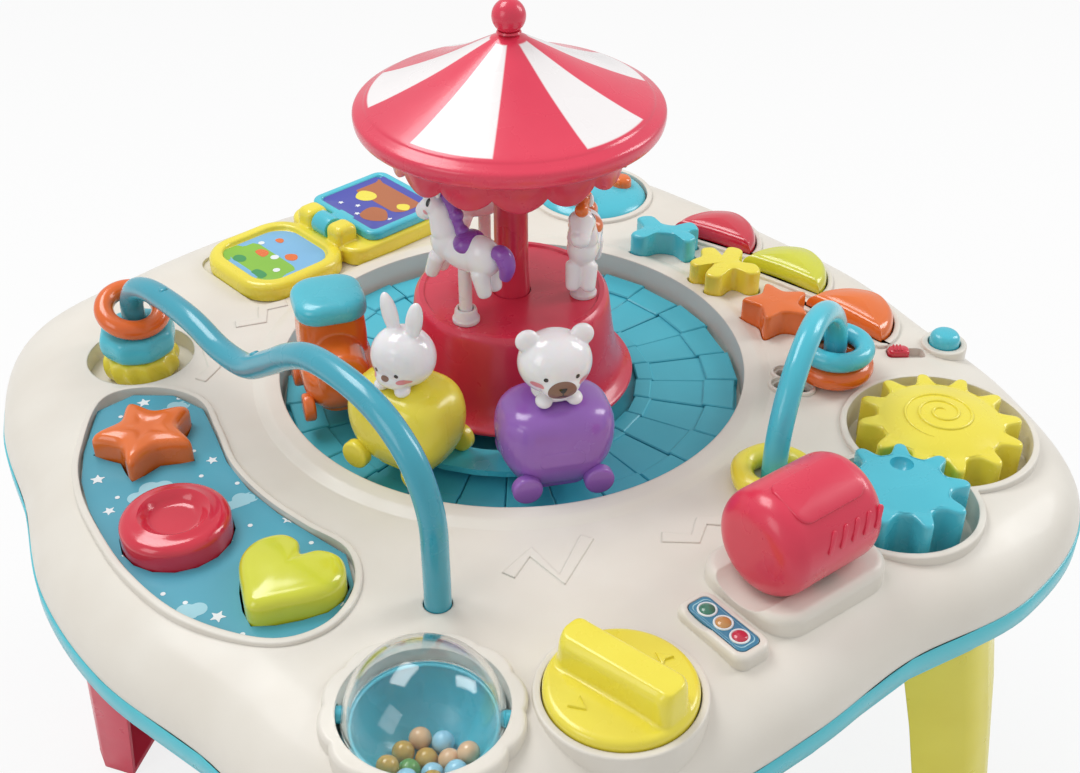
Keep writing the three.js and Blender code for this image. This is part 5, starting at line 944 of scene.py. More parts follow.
for index, (body, node, lift, colour) in enumerate(HORSES):
    at, turn = horse_way(index)
    place = (*at, COLLAR_TOP + lift + HORSE_SIZE * 0.3)
    coat = melted(body + "_coat", moved(horse_body(), place, turn), 0.42, 7, white, body, (node,))
    melted(body + "_mane", moved(mane(), place, turn), 0.34, 2, colour, body)
    cloth = moved(saddle_and_tail(index == 0), place, turn)
    melted(body + "_saddle_tail", cloth, 0.4, 3, colour, body)
    low = -lift + POST_LOW
    post = revolved([(0, low), (POST_RADIUS, low), (POST_RADIUS, POST_TOP), (0, POST_TOP)], 32)
    piece(body + "_post", moved(post, place, turn), post_white, body)
    rest = Matrix.Rotation(math.radians(turn), 3, "Z")
    for side in (-1, 1):
        fall, across = rest @ Vector((0, -side, 0)), rest @ Vector((-side, 0, 0))
        for mark, half_sizes, along, up, look in (
            ("eye", (0.85, 1.45), 13.0, 18.2, eye_black),
            ("cheek", (1.25, 1.05), 14.6, 13.6, cheek_pink),
        ):
            start = Vector(place) + rest @ Vector((along, side * 16, up))
            print_name = f"{body}_{mark}_{side + 2}"
            printed(print_name, coat, [filled(ellipse(*half_sizes))], start, fall, across, look, body)
print("horses", len(HORSES))

# %% The collars that guide the posts, on their spider under the drum's top
collar = [(3.0, -7.0), (4.8, -7.0), (4.8, -1.2), (5.4, -0.6), (5.4, 0.6), (4.7, 1.4)]
collar = [(r, DRUM_TOP + z) for r, z in collar] + [(4.4, COLLAR_TOP - 0.8), (4.0, COLLAR_TOP)]
collar += [(3.3, COLLAR_TOP), (3.0, COLLAR_TOP - 0.5), collar[0]]
collars = [moved(revolved(collar, 40), horse_way(index)[0]) for index in range(len(HORSES))]
SPIDER_HUB, SPIDER_LOW, SPIDER_HIGH = 7.8, 298.9, 301.4
spider = [(SPIDER_HUB, SPIDER_LOW), (HORSE_RING, SPIDER_LOW), (HORSE_RING, SPIDER_HIGH)]
spider = moved(revolved([*spider, (SPIDER_HUB, SPIDER_HIGH), spider[0]], 48), AXIS)
piece("post_collars", joined(spider, *collars), post_white, "carousel", ("horse_guides",))
print("collars", len(collars))

# %% [markdown]
# ## The train
# Three cars stand on the turning bar. A wagon is a soft tub: widest at its waist, drawn in
# to its foot and rounded over at the top, so its skin is a stack of rounded rectangles of
# changing size. Four fat disc wheels stand out at its foot.

# %% The tubs and their wheels
CAR_RING, CAR_FLOOR, CAR_HEIGHT, CAR_Z = 73.0, 5.2, 31.0, 266.3
WHEEL_RADIUS, WHEEL_THICK, WHEEL_EDGE, WHEEL_INSET = 5.7, 4.6, 1.2, 7.4
TUB_SHARES = [(0.0, 0.7), (0.02, 0.74), (0.12, 0.83), (0.3, 0.95), (0.5, 1.0), (0.68, 0.99)]
TUB_SHARES += [(0.82, 0.93), (0.91, 0.82), (0.97, 0.64), (0.995, 0.42), (1.0, 0.2)]
FOOT_SHARES = [(0.0, 1.0), (0.5, 1.0), (1.0, 0.9)]
LOCO_ANGLE, YELLOW_ANGLE, PURPLE_ANGLE = 166.0, 207.0, 252.0


def tub(length, width, low, high, shares, corner=0.4):
    """A soft box; shares give its size at each share of its height."""
    rings = []
    for up, size in flowing(shares, 4):
        z = low + (high - low) * up
        l, w = length * size, width * size
        rings.append([(x, y, z) for x, y in rounded_rectangle(l, w, min(l, w) * corner, 8)])
    return skin([[(0, 0, low)], *rings, [(0, 0, high)]])


def disc_wheels(length, reach):
    forms = []
    for x in (-length / 2 + WHEEL_INSET, length / 2 - WHEEL_INSET):
        for side in (-1, 1):
            start = (x, side * (reach - WHEEL_THICK), WHEEL_RADIUS)
            end = (x, side * reach, WHEEL_RADIUS)
            forms.append(bar(start, end, WHEEL_RADIUS, WHEEL_EDGE, 36))
    return joined(*forms)


def car_place(angle):
    return (*polar(AXIS, CAR_RING, math.radians(angle)), CAR_Z), angle + 90.0


def wagon(name, angle, look):
    place, turn = car_place(angle)
    body = tub(43.6, 33.0, CAR_FLOOR - 1.0, CAR_FLOOR + CAR_HEIGHT, TUB_SHARES)
    foot = tub(25.0, 18.0, 0.2, CAR_FLOOR + 4.0, FOOT_SHARES)
    form = moved(joined(body, foot), place, turn)
    melted(name + "_tub", form, 0.55, 4, look, "carousel", (name,))
    wheels = moved(disc_wheels(42.0, 17.0), place, turn)
    piece(name + "_wheels", wheels, look, "carousel", sharp=50.0)


wagon("yellow_wagon", YELLOW_ANGLE, yellow)
wagon("purple_wagon", PURPLE_ANGLE, purple)

# The bare plate on the purple wagon stands where the real one has a word.
PLATE_LENGTH, PLATE_HEIGHT, PLATE_LEAN = 17.5, 7.6, 94.0
plate = rounded_rectangle(PLATE_LENGTH, PLATE_HEIGHT, PLATE_HEIGHT * 0.42, 5)
plate = moved(puffed(plate, -2.0, 0.8, 0.5, 0.0, 0.5, 4, 2), (0, 0, 0), 0.0, PLATE_LEAN)
plate = moved(plate, (-0.5, -15.6, CAR_FLOOR + CAR_HEIGHT * 0.42))
piece("purple_wagon_plate", moved(plate, *car_place(PURPLE_ANGLE)), purple, "carousel", sharp=50.0)
print("wagons", 2)

# %% The locomotive: cab, boiler and a thick rounded roof
loco_high = box_mm("loco_body")[1]
roof_low, roof_high = box_mm("loco_roof")
CAB_TOP, CAB_BACK = loco_high.z - CAR_Z, (-8, 0, 0)
BOILER_Z, BOILER_RADIUS = 19.8, 11.2
CAB_SHARES = [(0.0, 0.8), (0.03, 0.86), (0.2, 0.93), (0.6, 1.0), (0.94, 0.96), (1.0, 0.9)]
FRAME_SHARES = [(0.0, 0.72), (0.1, 0.84), (0.4, 0.98), (0.75, 1.0), (0.93, 0.9), (1.0, 0.6)]
LID_SHARES = [(0.0, 0.94), (0.04, 0.975), (0.2, 1.0), (0.42, 1.0), (0.66, 0.965)]
LID_SHARES += [(0.84, 0.87), (0.95, 0.68), (1.0, 0.4)]
place, turn = car_place(LOCO_ANGLE)
loco = joined(
    moved(tub(22.0, 27.0, 3.4, CAB_TOP, CAB_SHARES, 0.28), CAB_BACK),
    tub(39.0, 30.0, 4.0, 21.0, FRAME_SHARES),
    bar((-4, 0, BOILER_Z), (19.6, 0, BOILER_Z), BOILER_RADIUS, 3.4, 44, 10.4),
    tub(23.0, 18.0, 0.2, 8.0, FOOT_SHARES),
)
melted("loco_shell", moved(loco, place, turn), 0.55, 3, orange, "carousel", ("loco_body",))
wheels = moved(disc_wheels(40.0, 16.6), place, turn)
piece("loco_wheels", wheels, orange, "carousel", sharp=50.0)
lid = moved(tub(28.8, 28.5, roof_low.z - CAR_Z, roof_high.z - CAR_Z, LID_SHARES, 0.34), CAB_BACK)
piece("loco_lid", moved(lid, place, turn), teal, "carousel", ("loco_roof",), sharp=60.0)
print("cab top", round(CAB_TOP, 2))

# %% [markdown]
# ## The passengers
# A rabbit and a bear look out of the wagons. Each head is melted from a skull, ears,
# cheeks and two small paws, and its face is printed on: the features are small, low and
# wide apart, which is what makes them look like toys for a baby.

# %% Two heads
HEAD_HALF, HEAD_RAISED = 13.5, 0.8
HEAD_Z = CAR_FLOOR + CAR_HEIGHT + HEAD_HALF * HEAD_RAISED


def rabbit_form():
    ears = []
    for side in (-1, 1):
        ear = moved(oval((3.5, 2.2, 8.6), (0, 0, 0), 28), (0, 0, 0), 0.0, side * 13.0, "Y")
        ears.append(moved(ear, (side * 5.4, 0.4, 16.2)))
    paws = [oval((2.9, 3.4, 2.2), (side * 4.6, -7.8, -9.6), 24) for side in (-1, 1)]
    return joined(oval((12.5, 11.6, 11.5)), oval((7.0, 4.6, 4.2), (0, -7.6, -5.2)), *ears, *paws)


def bear_form():
    ears = [oval((4.5, 2.7, 4.5), (side * 10.0, 0.4, 9.6), 28) for side in (-1, 1)]
    paws = [oval((3.2, 3.8, 2.4), (side * 5.6, -6.8, -12.2), 24) for side in (-1, 1)]
    skull, snout = oval((13.7, 12.0, 12.1)), oval((7.4, 4.4, 5.4), (0, -8.6, -4.6))
    return joined(skull, snout, *ears, oval((8.8, 8.0, 3.4), (0, 0, -11.8)), *paws)


print("head height", HEAD_Z)

# %% Faces: what is printed, where, with which paint and how far it stands out


def both_sides(rx, ry, x, y, lean=0, steps=28):
    """A pair of ellipses at either side of a face, leaning by some degrees."""
    pair = []
    for side in (-1, 1):
        a = math.radians(side * lean)
        flat = ellipse(rx, ry, (0, 0), steps)
        turned = [(u * math.cos(a) - v * math.sin(a), u * math.sin(a) + v * math.cos(a)) for u, v in flat]
        pair.append([(side * x + u, y + v) for u, v in turned])
    return pair


nose = [(-1.5, -3.7), (0, -3.5), (1.5, -3.7), (0.7, -5.1), (0, -5.5), (-0.7, -5.1)]
philtrum = [(-0.16, -5.2), (0.16, -5.2), (0.16, -6.9), (-0.16, -6.9)]
smile = [(-2.3, -7.4), (-1.1, -7.0), (0, -6.8), (1.1, -7.0), (2.3, -7.4)]
smile += [(1.1, -7.35), (0, -7.15), (-1.1, -7.35)]
# Each mark: its label, its outlines, its paint and how far it stands out.
RABBIT_MARKS = (
    ("eyes", both_sides(0.75, 0.85, 4.4, -1.6, 0, 20), eye_black, 0.1),
    ("nose", [ellipse(1.7, 1.1, (0, -3.4), 24)], muzzle_brown, 0.1),
    ("cheeks", both_sides(2.3, 1.0, 6.6, -4.2), cheek_pink, 0.1),
)
BEAR_MARKS = (
    ("eyes", both_sides(0.8, 0.9, 5.8, -0.4, 0, 20), eye_black, 0.1),
    ("cheeks", both_sides(2.2, 1.2, 8.6, -3.4, 16), cheek_pink, 0.1),
    ("muzzle", [ellipse(5.3, 4.3, (0, -5.4), 40)], muzzle_brown, 0.08),
    ("nose_and_mouth", [flowing(nose, 4, True), philtrum, smile], eye_black, 0.2),
)
# Each head: its name, its form, its car's angle, how far it is raised and its marks.
PASSENGERS = (
    ("rabbit", rabbit_form(), YELLOW_ANGLE, 0.0, RABBIT_MARKS),
    ("bear", bear_form(), PURPLE_ANGLE, 4.0, BEAR_MARKS),
)
for name, form, angle, rise, marks in PASSENGERS:
    (x, y, z), turn = car_place(angle)
    form = moved(form, (x, y, z + HEAD_Z + rise), turn)
    head = melted(name + "_passenger", form, 0.4, 6, white, "carousel", (name + "_head",))
    rest = Matrix.Rotation(math.radians(turn), 3, "Z")
    fall, across = rest @ Vector((0, 1, 0)), rest @ Vector((1, 0, 0))
    start = Vector((x, y, z + HEAD_Z + rise)) + rest @ Vector((0, -40, 0))
    for label, outlines, look, lift in marks:
        forms = [filled(outline) for outline in outlines]
        printed(f"{name}_{label}", head, forms, start, fall, across, look, "carousel", lift)
print("passengers", len(PASSENGERS))

# %% [markdown]
# ## Outlines of the toys
# The star, heart, moon, butterfly and plane are outlines given as shares of their size. A
# smooth curve through them gives the soft corners of a moulding. They are the same
# outlines as the CAD pockets have, so each toy fits its place.

# %% Outline shares and how they are drawn
HEART = [(0, -1), (0.5, -0.62), (0.93, -0.1), (0.98, 0.42), (0.68, 0.8), (0.3, 0.8), (0, 0.52)]
HEART += [(-x, y) for x, y in HEART[5:0:-1]]
MOON = [(-0.44, -1), (-0.5, -0.92), (-0.46, 0), (-0.5, 0.92), (-0.44, 1), (-0.1, 0.94)]
MOON += [(0.28, 0.68), (0.52, 0.32), (0.6, 0), (0.52, -0.32), (0.28, -0.68), (-0.1, -0.94)]
BUTTERFLY = [(0.98, 0.28), (0.72, 0.62), (0.3, 0.3), (-0.2, 0.32), (-0.6, 0.72), (-1, 0.52)]
BUTTERFLY += [(-0.72, 0), *((x, -y) for x, y in reversed(BUTTERFLY)), (0.74, 0)]
PLANE = [(1.05, 0), (0.82, 0.3), (0.3, 0.26), (0.12, 0.9), (-0.32, 0.9), (-0.34, 0.3)]
PLANE += [(-0.72, 0.62), (-1.02, 0.42), (-0.86, 0)]
PLANE += [(x, -y) for x, y in PLANE[7:0:-1]]


def star(tips, waist, turn=90.0):
    out = []
    for i in range(tips * 2):
        reach, a = waist if i % 2 else 1.0, math.radians(turn) + math.pi * i / tips
        out.append((reach * math.cos(a), reach * math.sin(a)))
    return out


def drawn(shares, width, height=None, steps=6):
    height = width if height is None else height
    return [(x * width, y * height) for x, y in flowing(shares, steps, True)]


print("heart points", len(HEART))

# %% [markdown]
# ## Buttons and keys
# Three big buttons stand in a printed panel and three keys along the right edge. Each is a
# glossy cap: straight sides in its hole, a rounded shoulder and a slight crown, with the
# star dished a little and the round one ringed by a raised rim.

# %% The three big buttons
PRESS_Z = TOP_Z - 7.5
STAR_AT, ROUND_AT, HEART_AT = spot((-0.745, 0.115)), spot((-0.785, -0.155)), spot((-0.675, -0.39))
STAR_SHARES, HEART_TURN = star(5, 0.62), -60


def star_dish(share):
    return 1.1 * math.exp(-((share / 0.55) ** 4))


def rim_dish(share):
    bowl = 3.0 / (1 + math.exp((share - 0.66) * 26))
    return bowl - 1.0 * math.exp(-(((share - 0.84) / 0.1) ** 2))


# Each button: outline, place, turn, rise over the top, edge, crown, dish and finish.
BUTTONS = (
    ("star", drawn(STAR_SHARES, 20.3, None, 10), STAR_AT, 0, 9.4, 5.6, 0.9, star_dish, orange),
    ("round", disc(19.8), ROUND_AT, 0, 8.6, 4.4, 0.2, rim_dish, button_rose),
    ("heart", drawn(HEART, 19.2, None, 10), HEART_AT, HEART_TURN, 9.2, 5.0, 1.4, None, lime),
)
for name, outline, place, turn, rise, edge, crown, dish, look in BUTTONS:
    form = puffed(outline, PRESS_Z, TOP_Z + rise, edge, crown, edge * 0.85, 8, 12, dish)
    node = name + "_button"
    piece(name + "_cap", moved(form, place, turn), look, node, (node,), sharp=40.0)
print("caps", len(BUTTONS))

# %% The keys, the mode button and the switch
# Each key: its body, its node, its place, its turn and its finish.
KEYS = (
    ("red_key", "key_red", (0.695, 0.2), 26, button_rose),
    ("lime_key", "key_lime", (0.73, -0.02), 20, lime),
    ("orange_key", "key_orange", (0.735, -0.24), 12, orange),
)
MODE_AT, MODE_RADIUS, MODE_EDGE = spot((0.815, -0.42)), 6.3, 3.4
SWITCH_AT, SWITCH_TURN, SWITCH_SLID = spot((0.725, -0.4)), -30, -3
GRIP_Z, GRIP_HALF = TOP_Z + 2.75, 2.2
for body, node, share, turn, look in KEYS:
    form = puffed(drawn(MOON, 22.7, 19.7, 8), TOP_Z - 11.0, TOP_Z + 7.6, 6.2, 2.0, 5.4, 9, 12)
    piece(body + "_cap", moved(form, spot(share), turn), look, body, (node,))
dome = [(0, TOP_Z - 16), (MODE_RADIUS, TOP_Z - 16), (MODE_RADIUS, TOP_Z + MODE_EDGE)]
dome += [*arc((2.9, TOP_Z + MODE_EDGE), MODE_EDGE, 0, 80, 7), (0, TOP_Z + 7.3)]
piece("mode_cap", moved(revolved(dome, 48), MODE_AT), teal, "mode_button", ("mode_button",), sharp=50)
slide = puffed(rounded_rectangle(9, 6, 2.4, 6), TOP_Z - 3.7, TOP_Z + 2.4, 1.4, 0.6, 1.4, 6, 6)
slide = moved(moved(slide, (SWITCH_SLID, 0, 0)), SWITCH_AT, SWITCH_TURN)
grips = [bar((x, -GRIP_HALF, GRIP_Z), (x, GRIP_HALF, GRIP_Z), 0.42, 0.3, 16) for x in (-5.0, -3.6, -2.2)]
grips = moved(joined(*grips), SWITCH_AT, SWITCH_TURN)
piece("power_slider", slide, button_rose, "power_switch", ("power_switch",), sharp=45)
piece("power_slider_grips", grips, button_rose, "power_switch")
print("keys", len(KEYS))

# %% [markdown]
# ## The printed panel
# The panel under the buttons is a printed plate. The print here is a generic sky: pale
# clouds, small stars and dots in a layout of its own. An image on the plate would blur
# close up and would be a file more, so the print is thin skins laid on the plate.

# %% Sky print on the panel
panel_blue = plastic("panel_blue", "4ba3b9", "4298b0", (0.3, 0.42), 0.25)
print_white = plastic("print_white", "e9eef0", "dfe6e9", (0.32, 0.42), 0.2)
print_pale = plastic("print_pale", "9fd0dc", "94c8d6", (0.32, 0.42), 0.2)
sky_plate = from_cad("button_panel", "sky_plate", panel_blue, "table", 30.0)
STARS = [(-0.86, 0.07), (-0.655, 0.015), (-0.80, -0.39), (-0.60, -0.22), (-0.705, 0.262)]
STARS += [(-0.87, -0.03), (-0.6, -0.47)]
DOTS = [(-0.845, 0.0), (-0.64, -0.075), (-0.665, -0.2), (-0.86, -0.29), (-0.78, -0.45)]
DOTS += [(-0.64, 0.24), (-0.82, 0.19), (-0.69, -0.02), (-0.59, -0.3), (-0.71, -0.22)]
DOTS += [(-0.76, 0.24), (-0.885, -0.16), (-0.835, -0.33), (-0.675, 0.06)]
CLOUDS = (((-0.79, -0.02), 9.0), ((-0.655, -0.13), 7.0), ((-0.845, -0.36), 7.5), ((-0.66, 0.21), 6.5))
PUFFS = ((0.0, 0.0, 0.5), (0.62, 0.12, 0.42), (-0.58, 0.02, 0.36), (0.1, 0.3, 0.44))


def on_sky(outline, share, rings):
    place = ((share[0] - STARS[0][0]) * TABLE_RADIUS, (share[1] - STARS[0][1]) * TABLE_RADIUS)
    return moved(filled(outline, rings), place)


def cloud(size):
    """The hull of a few round puffs as seen from the middle, with a flat foot."""
    outline = []
    for a in turns(64):
        reaches = []
        for x, y, r in PUFFS:
            aside = x * math.sin(a) - y * math.cos(a)
            ahead = x * math.cos(a) + y * math.sin(a)
            reaches.append(ahead + math.sqrt(max(0.0, r * r - aside**2)))
        reach = max(reaches)
        outline.append((size * reach * math.cos(a), size * max(reach * math.sin(a), -0.34)))
    return outline


def small_star(i):
    return drawn(star(5, 0.5, 20 * i), 2.9 - 0.5 * (i % 2), None, 3)


clouds = [on_sky(cloud(size), share, 5) for share, size in CLOUDS]
small_stars = [on_sky(small_star(i), share, 3) for i, share in enumerate(STARS)]
dots = [on_sky(disc(0.9, 14), share, 2) for share in DOTS]
over_sky = (*spot(STARS[0]), TOP_Z + 6)
for name, forms, look, lift in (
    ("sky_clouds", clouds, print_pale, 0.05),
    ("sky_stars", small_stars, print_white, 0.1),
    ("sky_dots", dots, print_white, 0.1),
):
    printed(name, sky_plate, forms, over_sky, DOWN, ALONG_X, look, "table", lift)
print("stars", len(STARS), "dots", len(DOTS))

# %% [markdown]
# ## Blocks to lift out
# A butterfly, a plane and a star stand in shallow pockets. They are short prisms with
# softened edges. A curve with a depth and a bevel would make them too. The cap helper
# was chosen, because it takes the same outlines that will cut the pockets of the top.

# %% The three blocks
# Each block: its body, its node, its outline, its place, its turn and its finish.
BLOCKS = (
    ("teal_block", "block_teal", BUTTERFLY, (0.54, 0.215), -45, teal),
    ("yellow_block", "block_yellow", PLANE, (0.57, 0.02), -60, yellow),
    ("orange_block", "block_orange", star(5, 0.6), (0.565, -0.165), -20, orange),
)
BLOCK_LOW, BLOCK_TALL, BLOCK_REACH, BLOCK_EDGE = TOP_Z - 3.7, 15.0, 15.0, 1.7
for body, node, shares, share, turn, look in BLOCKS:
    outline = drawn(shares, BLOCK_REACH, None, 7)
    form = puffed(outline, BLOCK_LOW, BLOCK_LOW + BLOCK_TALL, BLOCK_EDGE, 0.3, BLOCK_EDGE, 6, 4)
    piece(body + "_shape", moved(form, spot(share), turn), look, body, (node,), sharp=50)
print("blocks", len(BLOCKS))

# %% [markdown]
# ## Gears
# The sun turns its teal mate. Teeth repeat, so each wheel's outline is one tooth drawn
# round the circle; the sun has a dome with a spiral ridge on it, and the mate a dimple
# for a finger, which is cut out of the finished wheel.

# %% A wheel's outline, and a cut into a finished piece
TOOTH = [(-0.31, -1), (-0.1, 0.96), (0.1, 0.96), (0.31, -1)]
TOOTH_HEIGHT, TOOTH_GROW, ROOT_INSET, GEAR_EDGE, GEAR_LOW = 3.0, -0.25, 4.6, 1.5, TOP_Z - 11.7
SUN_AT, SUN_PITCH, SUN_TEETH, SUN_TOP, SUN_DOME = spot((0.59, -0.64)), 28.6, 12, TOP_Z + 6, 4.0
MATE_ANGLE, MATE_TURN, MATE_TEETH, MATE_TOP = 210.0, 410.0, 9, TOP_Z + 10
MATE_PITCH = SUN_PITCH * MATE_TEETH / SUN_TEETH
MATE_AT = polar(SUN_AT, SUN_PITCH + MATE_PITCH, math.radians(MATE_ANGLE))
DIMPLE = 4.5


def wheel_outline(pitch, teeth):
    points = []
    for i in range(teeth):
        for share, reach in TOOTH:
            a = 2 * math.pi * (i + share) / teeth
            points.append(polar((0, 0), pitch + reach * TOOTH_HEIGHT + TOOTH_GROW, a))
    return flowing(points, 4, True)


def carved(obj, form):
    """Takes a form out of a finished piece."""
    tool = in_scene(bpy.data.objects.new(obj.name + "_tool", finish_mesh(mesh_of("tool", form))))
    cutter = obj.modifiers.new("carve", "BOOLEAN")
    cutter.operation, cutter.solver, cutter.object = "DIFFERENCE", "EXACT", tool
    made, look = applied(obj), obj.data.materials[0]
    obj.modifiers.clear()
    obj.data = finish_mesh(made)
    made.materials.clear()
    made.materials.append(look)
    bpy.data.objects.remove(tool)


print("teeth", SUN_TEETH, MATE_TEETH)

# %% The sun and its mate


def gear(name, node, place, turn, pitch, teeth, top, dome, look):
    outline = wheel_outline(pitch, teeth)
    size = max(math.hypot(x, y) for x, y in outline)
    root = pitch - ROOT_INSET
    rings = [[(0, 0, GEAR_LOW)], [(x, y, GEAR_LOW) for x, y in outline]]
    for i in range(6):
        a = math.pi / 2 * i / 5
        draw = 1 - GEAR_EDGE / size * (1 - math.cos(a))
        z = top - GEAR_EDGE + GEAR_EDGE * math.sin(a)
        rings.append([(x * draw, y * draw, z) for x, y in outline])
    for k in range(1, 5):
        share = k / 4
        ring = []
        for x, y in outline:
            r = math.hypot(x, y)
            reach = (r - GEAR_EDGE) * (1 - share) + root * share
            ring.append((x / r * reach, y / r * reach, top + 0.25 * math.sin(math.pi * share)))
        rings.append(ring)
    ways = [(x / math.hypot(x, y), y / math.hypot(x, y)) for x, y in outline]
    for k in range(1, 12):
        share = 1 - k / 12
        z = top + dome * (1 - share**2)
        rings.append([(x * root * share, y * root * share, z) for x, y in ways])
    rings.append([(0, 0, top + dome)])
    return piece(name, moved(skin(rings), place, turn), look, node, (node,), sharp=42)


gear("sun_wheel", "sun_gear", SUN_AT, MATE_ANGLE, SUN_PITCH, SUN_TEETH, SUN_TOP, SUN_DOME, yellow)
mate = gear("teal_wheel", "teal_gear", MATE_AT, MATE_TURN, MATE_PITCH, MATE_TEETH, MATE_TOP, 0.8, teal)
dimple_reach = MATE_PITCH - TOOTH_HEIGHT - DIMPLE * 1.6
dimple_at = polar(MATE_AT, dimple_reach, math.radians(MATE_TURN))
carved(mate, oval((DIMPLE, DIMPLE, 5.0), (*dimple_at, TOP_Z + 11.2), 36))
print("mate at", [round(v, 1) for v in MATE_AT])

# %% The spiral ridge on the sun
SPIRAL_POINTS, SPIRAL_TURNS, SPIRAL_INNER, SPIRAL_REACH, SPIRAL_THICK = 90, 2.6, 1.6, 13.6, 0.62
spiral = []
for i in range(SPIRAL_POINTS):
    share = i / (SPIRAL_POINTS - 1)
    a, r = 2 * math.pi * SPIRAL_TURNS * share, SPIRAL_INNER + SPIRAL_REACH * share
    z = SUN_TOP + SUN_DOME * (1 - (r / (SUN_PITCH - ROOT_INSET)) ** 2) + 0.05
    spiral.append((*polar(SUN_AT, r, a), z))
thin_ends = lambda s: SPIRAL_THICK * min(1.0, s * 12 + 0.15, (1 - s) * 12 + 0.15)
piece("sun_spiral", swept(spiral, thin_ends, 14), yellow, "sun_gear")
print("spiral turns", SPIRAL_TURNS)

# %% [markdown]
# ## The roller
# A fat barrel rocks on its cradle. It is a hollow shell with strongly rounded ends, a
# slot below for the web that carries it, a raised panel that catches the light and a row
# of slanted ribs. Details on its round skin are drawn flat and then wrapped on to it.

# %% Barrel, panel and ribs
ROLLER_AT, ROLLER_TURN, ROLLER_Z = spot((0.09, -0.81)), 6.0, TOP_Z + 23
ROLLER_RADIUS, ROLLER_HALF, ROLLER_EDGE, ROLLER_WALL, SLOT_HALF = 19.5, 23.5, 9.0, 2.2, 5.3
# The slot is a wedge from the axis downwards; its x points down when the roller lies.
SLOT_WEDGE = [(0, 0), (38, -57), (80, 0), (38, 57)]


def barrel(shrink, sides):
    """The roller's form, drawn in by a wall, lying on its level axis."""
    radius, half, edge = ROLLER_RADIUS - shrink, ROLLER_HALF - shrink, ROLLER_EDGE - shrink
    profile = [(0.0, -half), *arc((radius - edge, -half + edge), edge, -90, 0, 12)]
    profile += [*arc((radius - edge, half - edge), edge, 0, 90, 12), (0.0, half)]
    return on_roller(revolved(profile, sides))


def on_roller(form):
    """Lays a form that stands along Z down on the roller's level axis."""
    lying = moved(form, (0, 0, 0), 0.0, 90.0, "Y")
    return moved(lying, (*ROLLER_AT, ROLLER_Z), ROLLER_TURN)


def wrapped(form, at, lean=0.0):
    """A flat form wrapped on the roller: at is its place along the axis and round it."""
    points, faces = moved(form, (0, 0, 0), lean)
    out = []
    for x, y, z in points:
        around = (y + at[1]) / ROLLER_RADIUS
        reach = ROLLER_RADIUS + z
        out.append((x + at[0], reach * math.sin(around), reach * math.cos(around)))
    return moved((out, faces), (*ROLLER_AT, ROLLER_Z), ROLLER_TURN)


shell = piece("roller_barrel", barrel(0.0, 96), rose, "roller", ("roller",), sharp=50)
carved(shell, barrel(ROLLER_WALL, 64))
low_ring, high_ring = ([(x, y, z) for x, y in SLOT_WEDGE] for z in (-SLOT_HALF, SLOT_HALF))
slot = skin([[(0, 0, -SLOT_HALF)], low_ring, high_ring, [(0, 0, SLOT_HALF)]])
carved(shell, on_roller(slot))
panel = puffed(rounded_rectangle(31.0, 19.0, 5.0, 8), -0.6, 0.75, 0.7, 0.0, 0.7, 5, 10)
piece("roller_panel", wrapped(panel, (0.5, -5.0)), rose, "roller", sharp=60)
rib = puffed(rounded_rectangle(8.5, 1.9, 0.9, 4), -0.5, 0.6, 0.5, 0.0, 0.5, 4, 4)
ribs = [wrapped(rib, (x, -24.0), 62.0) for x in (-5.0, 0.5, 6.0, 11.5, 17.0)]
piece("roller_ribs", joined(*ribs), rose, "roller", sharp=60)
print("barrel points", len(shell.data.vertices))

# %% [markdown]
# ## The light plate and the knob
# A blue plate with three lamps in pale rings lies on its bed. Next to it stands the knob,
# a disc with a thick grip across it that waves like an S. The grip grows out of the disc
# with a soft fillet, so the two are melted together.

# %% Signal plate
LIGHT_AT, LIGHT_TURN, LIGHT_TOP = spot((-0.102, -0.86)), -84.0, TOP_Z + 4
LAMP_STEP, LAMP_RADIUS = 7.83, 2.75
signal_blue = plastic("signal_blue", "3f86a6", "35789a", (0.25, 0.35), 0.3)
lamp_green = plastic("lamp_green", "3f7f68", "33705a", (0.16, 0.24), 0.6, 0.0)
lamp_tan = plastic("lamp_tan", "c8945a", "ba854b", (0.16, 0.24), 0.6, 0.0)
lamp_red = plastic("lamp_red", "c8324a", "b92a42", (0.16, 0.24), 0.6, 0.0)


def on_lights(form, along=0.0, z=0.0):
    return moved(moved(form, (along, 0, z)), LIGHT_AT, LIGHT_TURN)


plate = rounded_rectangle(27, 9.5, 2.6, 6)
plate = on_lights(puffed(plate, LIGHT_TOP - 1.2, LIGHT_TOP + 0.2, 0.4, 0.0, 0.4, 4, 4))
piece("signal_plate", plate, signal_blue, "table", ("traffic_light_panel",), sharp=50)
line = rounded_rectangle(24.6, 7.6, 2.2, 6)
line = skin([[(x * k, y * k, LIGHT_TOP + 0.26) for x, y in line] for k in (1.0, 0.965)])
piece("signal_line", on_lights(line), print_pale, "table")
rises = (0.0, 0.3, 0.6, 0.9, 1.2)
bulb = [(LAMP_RADIUS * math.cos(a), LIGHT_TOP + 0.4 + 1.1 * math.sin(a)) for a in rises]
bulb = revolved([(LAMP_RADIUS, LIGHT_TOP), *bulb, (0, LIGHT_TOP + 1.5)], 36)
lamp_rings = []
for step, look in ((1, lamp_green), (0, lamp_tan), (-1, lamp_red)):
    piece(look.name, on_lights(bulb, step * -LAMP_STEP), look, "table", sharp=60)
    lamp_rings.append(on_lights(hoop(3.1, 0.42, 40, 10), step * -LAMP_STEP, LIGHT_TOP + 0.3))
piece("signal_rings", joined(*lamp_rings), print_white, "table", sharp=60)
print("lamps", len(lamp_rings))

